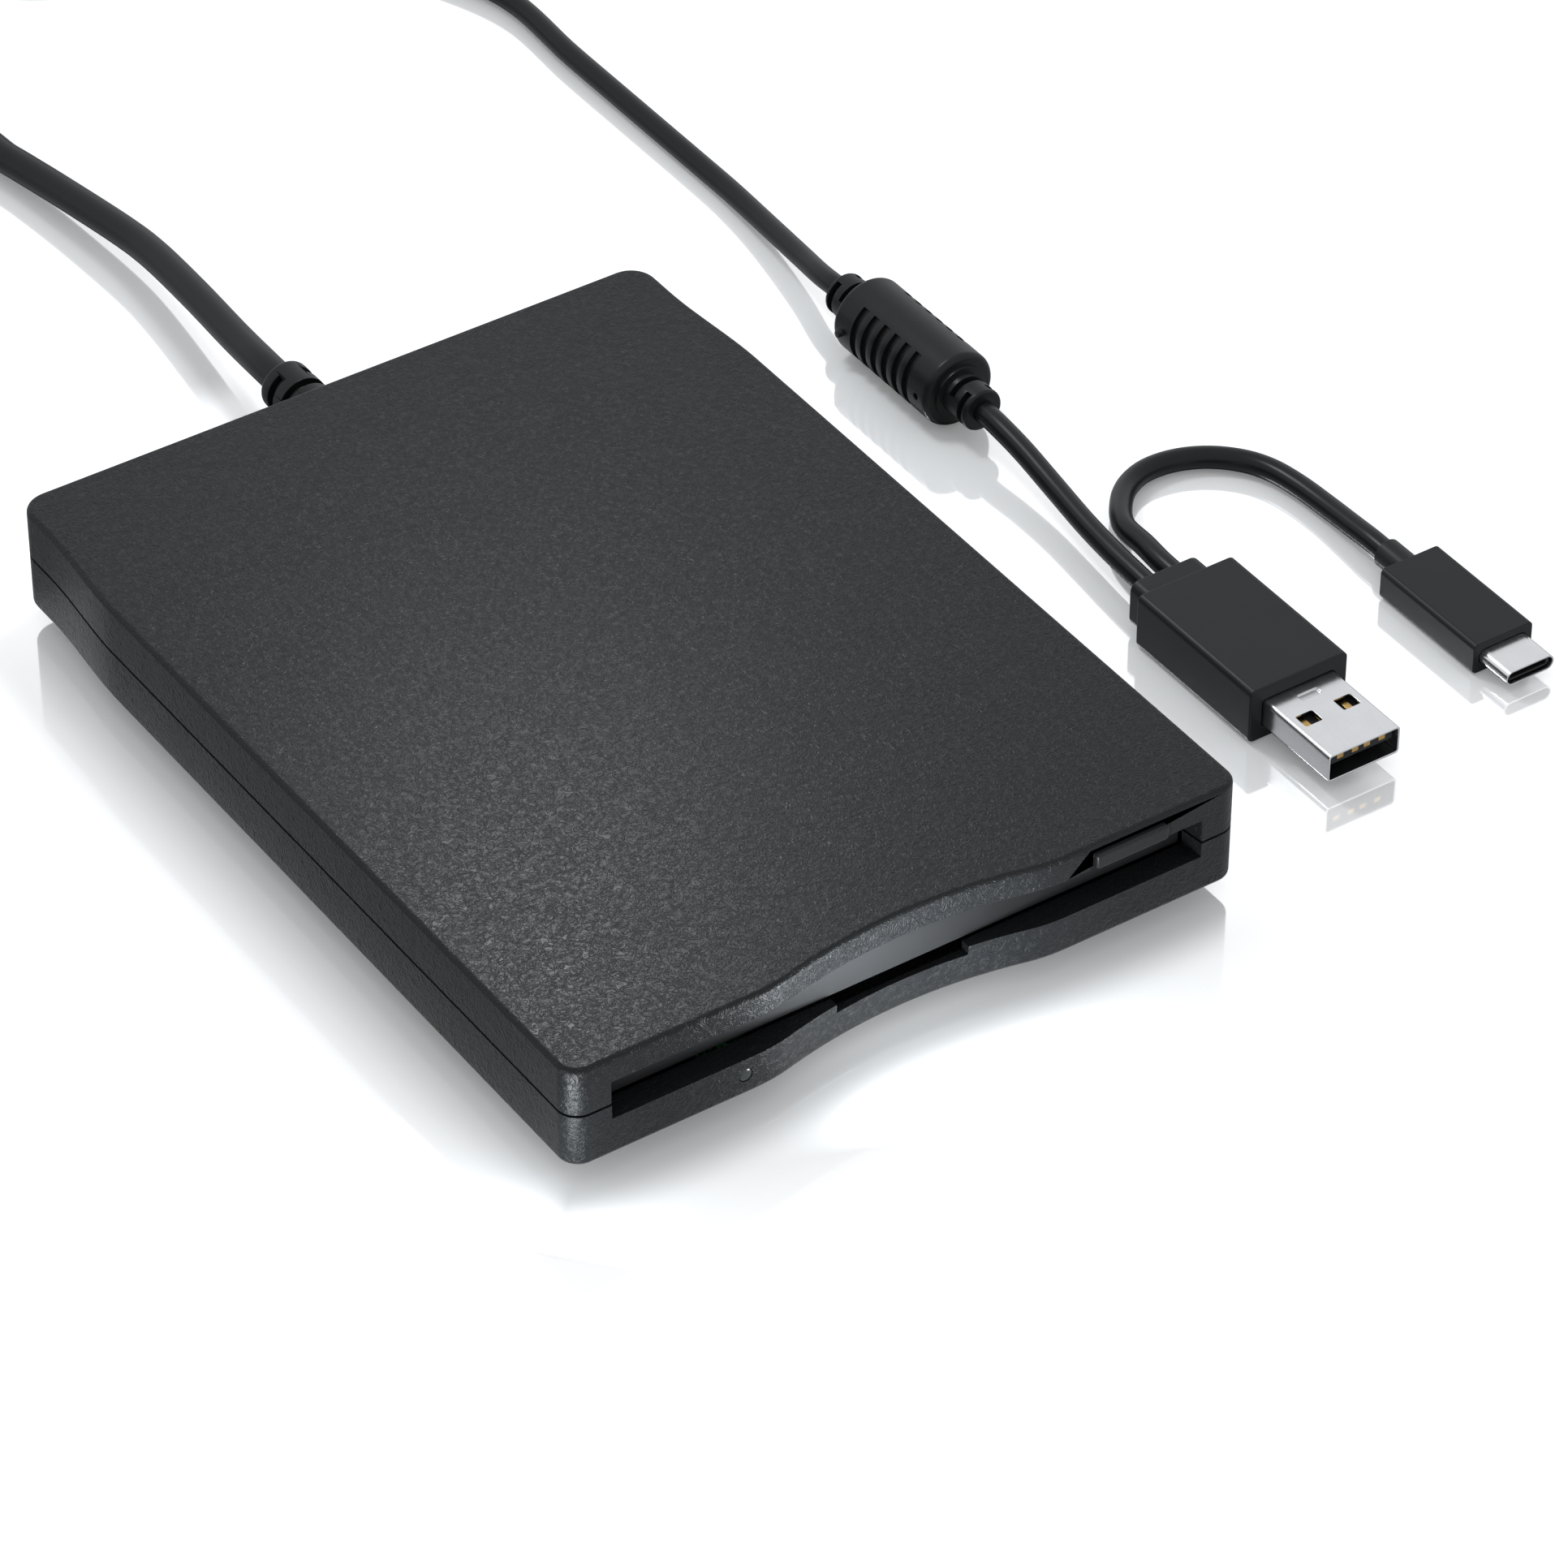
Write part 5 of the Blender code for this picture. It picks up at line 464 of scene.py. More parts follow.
def choose(piece: bpy.types.Object, mode: str, wanted: Callable) -> None:
    """Selects faces, edges or vertices by their place, out of edit mode.

    Args:
        piece: the piece.
        mode: VERT, EDGE or FACE.
        wanted: says of one element whether it is selected.
    """
    take(piece)
    bpy.ops.object.mode_set(mode="EDIT")
    bpy.ops.mesh.select_mode(type=mode)
    bpy.ops.mesh.select_all(action="DESELECT")
    bpy.ops.object.mode_set(mode="OBJECT")
    mesh = piece.data
    parts = {"VERT": mesh.vertices, "EDGE": mesh.edges, "FACE": mesh.polygons}[mode]
    for part in parts:
        part.select = bool(wanted(part))
    bpy.ops.object.mode_set(mode="EDIT")


def outwards(piece: bpy.types.Object) -> bpy.types.Object:
    """Turns all of a piece's faces outwards."""
    take(piece)
    bpy.ops.object.mode_set(mode="EDIT")
    bpy.ops.mesh.select_all(action="SELECT")
    bpy.ops.mesh.normals_make_consistent(inside=False)
    bpy.ops.object.mode_set(mode="OBJECT")
    return piece


def slab(name: str, outline: Sequence[Flat], axis: Axis, low: float, high: float) -> bpy.types.Object:
    """A closed outline drawn out along an axis.

    Args:
        name: the piece's name.
        outline: points in the two other axes, in order.
        axis: the axis that it is drawn out along.
        low: where it starts on that axis.
        high: where it ends.

    Returns:
        The piece, at the origin.
    """
    deselect_all()
    bpy.ops.mesh.primitive_circle_add(vertices=len(outline), radius=1.0, fill_type="NGON")
    piece = bpy.context.object
    piece.name = name
    along, (across, up) = axis.value
    for vertex, (a, b) in zip(piece.data.vertices, outline):
        place = [0.0, 0.0, 0.0]
        place[along], place[across], place[up] = low, a, b
        vertex.co = place
    move = [0.0, 0.0, 0.0]
    move[along] = high - low
    bpy.ops.object.mode_set(mode="EDIT")
    bpy.ops.mesh.select_all(action="SELECT")
    bpy.ops.mesh.extrude_region_move(TRANSFORM_OT_translate={"value": move})
    bpy.ops.object.mode_set(mode="OBJECT")
    return outwards(piece)


def block(name: str, low: Point, high: Point, edge: float = 0.0, steps: int = 4,
          axis: Axis | None = None) -> bpy.types.Object:
    """A box between two corners with rounded edges.

    Args:
        name: the piece's name.
        low: its lowest corner.
        high: its highest corner.
        edge: the radius of its edges.
        steps: the segments of a rounded edge.
        axis: rounds only the edges along this axis.

    Returns:
        The piece, at the origin.
    """
    deselect_all()
    centre = [(a + b) / 2 for a, b in zip(low, high)]
    bpy.ops.mesh.primitive_cube_add(size=1.0, location=centre)
    piece = bpy.context.object
    piece.name = name
    piece.scale = [b - a for a, b in zip(low, high)]
    settle(piece)
    if edge:
        def fits(part: bpy.types.MeshEdge) -> bool:
            """Says whether an edge is rounded."""
            if axis is None:
                return True
            a, b = (piece.data.vertices[i].co for i in part.vertices)
            run = b - a
            return abs(run[axis.value[0]]) > 0.9 * run.length
        choose(piece, "EDGE", fits)
        bpy.ops.mesh.bevel(offset=edge, segments=steps, profile=0.5, affect="EDGES")
        bpy.ops.object.mode_set(mode="OBJECT")
    return piece


def turned(name: str, profile: Sequence[Flat], centre: Point, axis: Axis = Axis.Z,
           steps: int = 64) -> bpy.types.Object:
    """A solid turned about an axis: a disc that is extruded and scaled from step to step.

    Args:
        name: the piece's name.
        profile: (radius, height) points from one end to the other, none of zero radius.
        centre: the point on the axis where height is zero.
        axis: the axis.
        steps: its facets round the axis.

    Returns:
        The piece, at the origin.
    """
    deselect_all()
    radius, height = profile[0]
    bpy.ops.mesh.primitive_circle_add(
        vertices=steps, radius=radius, fill_type="NGON", location=(0.0, 0.0, height)
    )
    piece = settle(bpy.context.object)
    piece.name = name
    bpy.ops.object.mode_set(mode="EDIT")
    bpy.ops.mesh.select_all(action="SELECT")
    for next_radius, next_height in profile[1:]:
        move = (0.0, 0.0, next_height - height)
        bpy.ops.mesh.extrude_region_move(TRANSFORM_OT_translate={"value": move})
        share = next_radius / radius
        bpy.ops.transform.resize(value=(share, share, 1.0), center_override=(0.0, 0.0, next_height))
        radius, height = next_radius, next_height
    bpy.ops.object.mode_set(mode="OBJECT")
    turn = {Axis.X: (0.0, math.pi / 2, 0.0), Axis.Y: (-math.pi / 2, 0.0, 0.0), Axis.Z: (0.0, 0.0, 0.0)}
    piece.rotation_euler = turn[axis]
    piece.location = centre
    return outwards(settle(piece))


def boolean(piece: bpy.types.Object, others: Iterable[bpy.types.Object], operation: str) -> bpy.types.Object:
    """Cuts pieces out of a piece, or adds them to it, and removes them."""
    for other in others:
        take(piece)
        step = piece.modifiers.new(other.name, "BOOLEAN")
        step.operation = operation
        step.solver = "EXACT"
        step.object = other
        bpy.ops.object.modifier_apply(modifier=step.name)
        bpy.data.objects.remove(other)
    return piece


def carve(piece: bpy.types.Object, *cutters: bpy.types.Object) -> bpy.types.Object:
    """Cuts the cutters out of a piece."""
    return boolean(piece, cutters, "DIFFERENCE")


def weld(piece: bpy.types.Object, *others: bpy.types.Object) -> bpy.types.Object:
    """Adds other solids to a piece."""
    return boolean(piece, others, "UNION")


def soften(piece: bpy.types.Object, width: float, steps: int = 2, angle: float = 32.0) -> bpy.types.Object:
    """Rounds a piece's sharp edges and shades it smooth.

    Args:
        piece: the piece.
        width: the width of the rounding.
        steps: its segments.
        angle: edges sharper than this many degrees are rounded.

    Returns:
        The piece.
    """
    take(piece)
    if width:
        step = piece.modifiers.new("soft_edges", "BEVEL")
        step.width = width
        step.segments = steps
        step.limit_method = "ANGLE"
        step.angle_limit = math.radians(angle)
        step.harden_normals = False
        step.use_clamp_overlap = True
        bpy.ops.object.modifier_apply(modifier=step.name)
    bpy.ops.object.shade_smooth_by_angle(angle=math.radians(40.0))
    step = piece.modifiers.new("face_normals", "WEIGHTED_NORMAL")
    step.keep_sharp = True
    bpy.ops.object.modifier_apply(modifier=step.name)
    return piece


def arc(centre: Flat, radius: float, start: float, end: float, steps: int) -> list[Flat]:
    """Points along an arc, with both of its ends.

    Args:
        centre: the arc's centre.
        radius: its radius.
        start: its first angle in radians.
        end: its last angle.
        steps: its segments.

    Returns:
        The points.
    """
    turns = (start + (end - start) * i / steps for i in range(steps + 1))
    return [(centre[0] + radius * math.cos(t), centre[1] + radius * math.sin(t)) for t in turns]


def sector_ring(centre: Flat, inner: float, outer: float, middle: float, sweep: float,
                steps: int = 16) -> list[Flat]:
    """The outline of a part of a ring, centred on the angle middle."""
    first, last = middle - sweep / 2, middle + sweep / 2
    return [*arc(centre, outer, first, last, steps), *arc(centre, inner, last, first, steps)]


def stadium(centre: Flat, width: float, height: float, steps: int = 12) -> list[Flat]:
    """The outline of a bar with round sides."""
    radius = height / 2
    reach = width / 2 - radius
    right = arc((centre[0] + reach, centre[1]), radius, -math.pi / 2, math.pi / 2, steps)
    left = arc((centre[0] - reach, centre[1]), radius, math.pi / 2, 3 * math.pi / 2, steps)
    return right + left


def smooth_step(t: float) -> float:
    """A soft step from 0 to 1."""
    t = min(max(t, 0.0), 1.0)
    return t * t * (3.0 - 2.0 * t)


def smooth_route(points: Sequence[Sequence[float]], spacing: float) -> list[Vector]:
    """Points at about an even spacing on a smooth curve through the given points."""
    marks = [Vector(p) for p in points]
    marks = [2 * marks[0] - marks[1], *marks, 2 * marks[-1] - marks[-2]]
    fine: list[Vector] = []
    for a, b, c, d in zip(marks, marks[1:], marks[2:], marks[3:]):
        for i in range(24):
            t = i / 24
            bend = (2 * a - 5 * b + 4 * c - d) * t * t + (3 * b - a - 3 * c + d) * t * t * t
            fine.append(0.5 * (2 * b + (c - a) * t + bend))
    fine.append(marks[-2])
    lengths = [0.0]
    for a, b in zip(fine, fine[1:]):
        lengths.append(lengths[-1] + (b - a).length)
    count = max(2, round(lengths[-1] / spacing))
    result, at = [], 0
    for i in range(count + 1):
        goal = lengths[-1] * i / count
        while at < len(fine) - 2 and lengths[at + 1] < goal:
            at += 1
        share = (goal - lengths[at]) / max(lengths[at + 1] - lengths[at], 1e-12)
        result.append(fine[at].lerp(fine[at + 1], min(share, 1.0)))
    return result


def line_length(points: Sequence[Vector]) -> float:
    """The length of a line through the points."""
    return sum((b - a).length for a, b in zip(points, points[1:]))


@dataclass
class Bench:
    """What the sub-assemblies share: the frame, the finishes and the list of what was made."""

    frame: dict
    finishes: dict[str, bpy.types.Material] = field(default_factory=dict)
    made: list[str] = field(default_factory=list)

    def finish(self, recipe: object) -> bpy.types.Material:
        """The material of a finish, made once."""
        if recipe.name not in self.finishes:
            self.finishes[recipe.name] = recipe.build()
        return self.finishes[recipe.name]

    def dress(self, piece: bpy.types.Object, recipe: object, body: str, slot: str,
              *nodes: str) -> bpy.types.Object:
        """Gives a new piece its finish, its body and the nodes that it stands for.

        Args:
            piece: the piece.
            recipe: its finish.
            body: the body that it rides on.
            slot: the record's material slot; not used.
            nodes: the nodes that it replaces.

        Returns:
            The piece.
        """
        piece.data.materials.clear()
        piece.data.materials.append(self.finish(recipe))
        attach(piece, body)
        if nodes:
            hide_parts(*nodes)
        self.made.append(piece.name)
        LOG.info("%s: %d faces", piece.name, len(getattr(piece.data, "polygons", [])))
        return piece

    def coat(self, recipe: object, *nodes: str) -> None:
        """Gives carried-over nodes a finish."""
        for name in nodes:
            slots = self.frame["nodes"][name].data.materials
            slots.clear()
            slots.append(self.finish(recipe))
            LOG.info("%s: %s", name, recipe.name)


# The drive's case ---------------------------------------------------------------------------


@dataclass
class DriveCase:
    """The two shells with the scooped front, the button, the lens, the door and the feet."""

    bench: Bench
    width: float = 104.0 * MM
    front: float = -70.25 * MM
    back: float = 71.25 * MM
    base: float = 3.0 * MM
    top: float = 19.0 * MM
    lower_rim: float = 11.15 * MM
    upper_rim: float = 11.45 * MM
    wall: float = 1.4 * MM
    inner_front: float = -66.55 * MM
    front_corner: float = 3.0 * MM
    back_corner: float = 4.0 * MM
    tail_inset: float = 1.25 * MM
    tail: tuple[float, float] = (43.0 * MM, 63.0 * MM)
    rim: float = 0.75 * MM
    scoop_half: float = 24.2 * MM
    scoop_depth: float = 2.9 * MM
    scoop_hollow: float = 0.76
    slot_half: float = 45.75 * MM
    slot_taper: float = 0.45 * MM
    slot: tuple[float, float] = (8.95 * MM, 15.0 * MM)
    notch_half: float = 10.25 * MM
    notch_low: float = 7.6 * MM
    button: tuple[Point, Point] = ((28.15 * MM, -71.25 * MM, 15.5 * MM), (39.65 * MM, -62.0 * MM, 17.8 * MM))
    channel: tuple[Point, Point] = ((27.8 * MM, -72.0 * MM, 14.5 * MM), (40.0 * MM, -59.5 * MM, 18.15 * MM))
    lens: Point = (-25.66 * MM, -70.25 * MM, 6.3 * MM)
    gland_height: float = 9.5 * MM
    posts: tuple[Flat, ...] = (
        (-47.8 * MM, -61.5 * MM), (47.8 * MM, -61.5 * MM), (-46.6 * MM, 67.1 * MM), (46.6 * MM, 67.1 * MM)
    )
    feet: tuple[Flat, ...] = (
        (-38.0 * MM, -52.0 * MM), (38.0 * MM, -52.0 * MM), (-38.0 * MM, 54.0 * MM), (38.0 * MM, 54.0 * MM)
    )

    def scoop(self, x: float) -> float:
        """How far the finger scoop lies behind the front face at x."""
        x = abs(x)
        if x >= self.scoop_half:
            return 0.0
        bend = self.scoop_half * self.scoop_hollow
        slope = 2.0 * self.scoop_depth / self.scoop_half
        if x <= bend:
            return self.scoop_depth - x * x * slope / (2.0 * bend)
        return (self.scoop_half - x) ** 2 * slope / (2.0 * (self.scoop_half - bend))

    def plan(self, inset: float, straight: bool = False) -> list[Flat]:
        """The case's outline seen from above.

        Args:
            inset: how far inside the outer wall it runs.
            straight: leaves the scoop out and stops behind the front wall.

        Returns:
            Points in order round the case.
        """
        side = self.width / 2 - inset
        back = self.back - inset
        nose = self.inner_front if straight else self.front + inset
        front_radius = max(self.front_corner - inset, 0.5 * MM)
        back_radius = max(self.back_corner - inset, 0.5 * MM)
        end = side - self.tail_inset
        right = arc((side - front_radius, nose + front_radius), front_radius, -math.pi / 2, 0.0, 14)
        for i in range(21):
            y = self.tail[0] + (self.tail[1] - self.tail[0]) * i / 20
            right.append((side - self.tail_inset * smooth_step(i / 20), y))
        right += arc((end - back_radius, back - back_radius), back_radius, 0.0, math.pi / 2, 14)
        left = [(-x, y) for x, y in reversed(right)]
        hollow = []
        if not straight:
            for i in range(65):
                x = self.scoop_half * (i / 32 - 1.0)
                hollow.append((x, nose + self.scoop(x)))
        return hollow + right + left

    def shell(self, name: str, low: float, high: float, rim: float) -> bpy.types.Object:
        """One half of the case, solid, with its outer rim rounded."""
        piece = slab(name, self.plan(0.0), Axis.Z, low, high)
        vertices = piece.data.vertices
        choose(piece, "EDGE", lambda e: all(abs(vertices[i].co.z - rim) < 1e-6 for i in e.vertices))
        bpy.ops.mesh.bevel(offset=self.rim, segments=5, profile=0.5, affect="EDGES")
        bpy.ops.object.mode_set(mode="OBJECT")
        return piece

    def slot_cutter(self, name: str) -> bpy.types.Object:
        """The disk slot, a little narrower inside than at the front."""
        wide, narrow = self.slot_half, self.slot_half - self.slot_taper
        out, inside = self.front - 2 * MM, self.inner_front + 1 * MM
        outline = [(-wide, out), (wide, out), (wide, self.front), (narrow, self.inner_front),
                   (narrow, inside), (-narrow, inside), (-narrow, self.inner_front), (-wide, self.front)]
        return slab(name, outline, Axis.Z, *self.slot)

    def make_lid(self) -> bpy.types.Object:
        """The upper shell: rounded rim, slot, button channel, hollow inside."""
        lid = self.shell("drive_lid", self.upper_rim, self.top, self.top)
        roof = self.top - self.wall
        carve(lid, slab("lid_room", self.plan(self.wall, True), Axis.Z, self.upper_rim - 1 * MM, roof))
        carve(lid, self.slot_cutter("slot_above"))
        carve(lid, block("button_channel", *self.channel))
        hole = [(3.1 * MM, self.back - 4 * MM), (3.1 * MM, self.back + 2 * MM)]
        carve(lid, turned("gland_above", hole, (0.0, 0.0, self.gland_height), Axis.Y, 48))
        for i, (x, y) in enumerate(self.posts):
            weld(lid, turned(f"lid_post_{i}", [(2.2 * MM, 12.5 * MM), (2.2 * MM, roof + 0.4 * MM)], (x, y, 0.0)))
        for side in (-1, 1):
            ends = sorted((side * 45.5 * MM, side * 48.0 * MM))
            low = (ends[0], self.inner_front - 0.2 * MM, 12.9 * MM)
            weld(lid, block(f"door_lug_{side}", low, (ends[1], -64.2 * MM, roof + 0.3 * MM)))
            pin = [(0.75 * MM, ends[0] - 0.5 * MM), (0.75 * MM, ends[0] + 2.3 * MM)]
            carve(lid, turned(f"door_bore_{side}", pin, (0.0, -65.7 * MM, 14.6 * MM), Axis.X, 24))
        soften(lid, 0.16 * MM, 2)
        return self.bench.dress(lid, GrainedShell(), "drive", "case", "top_case")

    def make_tray(self) -> bpy.types.Object:
        """The lower shell: slot, thumb notch, lens hole, screw sinks and foot pockets."""
        tray = self.shell("drive_tray", self.base, self.lower_rim, self.base)
        floor = self.base + self.wall
        carve(tray, slab("tray_room", self.plan(self.wall, True), Axis.Z, floor, self.lower_rim + 1 * MM))
        ring = slab("tray_lip", self.plan(self.wall + 0.05 * MM), Axis.Z, 9.65 * MM, 12.45 * MM)
        front = block("lip_front", (-60 * MM, -80 * MM, 9 * MM), (60 * MM, self.inner_front + 0.05 * MM, 13 * MM))
        carve(ring, front)
        carve(ring, slab("lip_room", self.plan(self.wall + 0.75 * MM), Axis.Z, 9.0 * MM, 13.0 * MM))
        carve(ring, block("lip_slot", (-45.3 * MM, -80 * MM, 8.9 * MM), (45.3 * MM, -60 * MM, 13 * MM)))
        weld(tray, ring)
        carve(tray, self.slot_cutter("slot_below"))
        low = (-self.notch_half, self.front - 2 * MM, self.notch_low)
        carve(tray, block("thumb_notch", low, (self.notch_half, self.inner_front + 1 * MM, 10 * MM)))
        hole = [(1.05 * MM, self.front - 1 * MM), (1.05 * MM, self.inner_front + 1 * MM)]
        carve(tray, turned("lens_hole", hole, (self.lens[0], 0.0, self.lens[2]), Axis.Y, 40))
        hole = [(3.1 * MM, self.back - 4 * MM), (3.1 * MM, self.back + 2 * MM)]
        carve(tray, turned("gland_below", hole, (0.0, 0.0, self.gland_height), Axis.Y, 48))
        for i, (x, y) in enumerate(self.posts):
            weld(tray, turned(f"tray_post_{i}", [(2.2 * MM, floor - 0.4 * MM), (2.2 * MM, 12.45 * MM)], (x, y, 0.0)))
            sink = [(1.55 * MM, 0.0), (1.55 * MM, 4.75 * MM), (0.85 * MM, 4.76 * MM), (0.85 * MM, 13.0 * MM)]
            carve(tray, turned(f"screw_sink_{i}", sink, (x, y, 0.0), Axis.Z, 32))
        for i, (x, y) in enumerate(self.feet):
            pocket = [(4.55 * MM, self.base - 1 * MM), (4.55 * MM, self.base + 0.5 * MM)]
            carve(tray, turned(f"foot_pocket_{i}", pocket, (x, y, 0.0), Axis.Z, 48))
        soften(tray, 0.16 * MM, 2)
        return self.bench.dress(tray, GrainedShell(), "drive", "case_lower", "bottom_case")

    def make_button(self) -> bpy.types.Object:
        """The eject button: a long bar with softly rounded edges."""
        low, high = self.button
        button = block("eject_key", low, high, 0.42 * MM, 5)
        soften(button, 0.0)
        finish = SatinMould("button_satin", roughness=0.28, specular=0.2)
        return self.bench.dress(button, finish, "slider", "button", "eject_button")

    def make_lens(self) -> bpy.types.Object:
        """The smoked lens of the lamp, nearly flush with the front."""
        x, y, z = self.lens
        profile = [(0.55 * MM, y - 0.02 * MM), (0.86 * MM, y + 0.04 * MM), (1.0 * MM, y + 0.16 * MM),
                   (1.0 * MM, y + 3.7 * MM)]
        lens = soften(turned("lamp_lens", profile, (x, 0.0, z), Axis.Y, 40), 0.0)
        finish = SatinMould("smoked_lens", colour=(0.018, 0.020, 0.019), roughness=0.2, specular=0.3)
        return self.bench.dress(lens, finish, "drive", "lens", "led_lens")

    def make_feet(self) -> None:
        """Four rubber feet with a dished sole."""
        names = ("front_left", "front_right", "back_left", "back_right")
        profile = [(2.6 * MM, 0.25 * MM), (3.0 * MM, 0.0), (4.0 * MM, 0.0), (4.36 * MM, 0.15 * MM),
                   (4.5 * MM, 0.5 * MM), (4.5 * MM, 3.2 * MM)]
        finish = SatinMould("foot_rubber", colour=(0.012, 0.012, 0.0125), roughness=0.62)
        for name, (x, y) in zip(names, self.feet):
            foot = soften(turned(f"rubber_foot_{name}", profile, (x, y, 0.0), Axis.Z, 48), 0.0)
            self.bench.dress(foot, finish, "drive", "foot", f"foot_{name}")

    def make_all(self) -> None:
        """Builds the case and finishes the nodes that stay."""
        self.make_lid()
        self.make_tray()
        self.make_button()
        self.make_lens()
        self.make_feet()
        screws = [f"case_screw_{end}_{side}" for end in ("front", "back") for side in ("left", "right")]
        black = PlatedMetal("black_screw", (0.10, 0.10, 0.105), (0.05, 0.05, 0.055), 0.38)
        self.bench.coat(black, *screws, "chassis_screw_front", "chassis_screw_back")
        door = SatinMould("door_matte", colour=(0.008, 0.008, 0.0085), roughness=0.55, specular=0.3)
        self.bench.coat(door, "dust_door")


# The cable ----------------------------------------------------------------------------------

DRIVE_RUN = [
    (0.0, 86.5, 9.5), (0.15, 91.5, 9.3), (1.0, 101.0, 8.2), (2.3, 114.6, 7.0), (3.2, 127.8, 5.8),
    (3.0, 137.3, 4.9), (1.4, 152.5, 3.7), (0.0, 162.4, 3.1), (-0.7, 167.3, 2.9), (-0.6, 178.0, 2.6),
    (3.0, 191.0, 2.1), (10.5, 203.0, 1.75), (17.6, 213.0, 1.7),
]
FERRITE_RUN = [
    (63.4, 214.0, 5.2), (66.5, 204.0, 3.6), (73.0, 190.0, 2.0), (81.0, 176.5, 1.72), (85.8, 161.7, 1.7),
    (85.44, 144.3, 1.7), (85.41, 130.6, 1.7), (85.4, 108.3, 1.7), (85.2, 99.1, 1.9), (84.4, 89.4, 2.5),
    (82.8, 77.2, 4.0), (81.55, 70.2, 5.3),
]
PLUG_RUN = [
    (81.05, 25.4, 6.0), (80.9, 18.8, 5.4), (80.2, 10.2, 4.6), (79.2, 1.3, 4.2), (78.5, -6.0, 4.2),
    (78.1, -12.4, 4.3), (77.9, -16.6, 4.3),
]
PIGTAIL_RUN = [
    (82.6, -16.6, 4.3), (82.7, -11.6, 4.3), (83.3, -6.9, 4.0), (84.1, -1.1, 3.3), (87.3, 4.0, 2.4),
    (91.0, 7.6, 1.8), (95.3, 9.3, 1.7), (100.1, 9.0, 1.7), (104.6, 7.0, 1.7), (108.2, 3.6, 1.7),
    (110.3, -0.4, 1.7), (111.3, -5.6, 1.7), (111.6, -11.5, 1.8), (111.5, -18.0, 2.2), (111.4, -22.1, 2.5),
    (111.4, -25.2, 2.5),
]


def in_metres(points: Sequence[Point]) -> list[Point]:
    """Points in metres from points in millimetres."""
    return [(x * MM, y * MM, z * MM) for x, y, z in points]


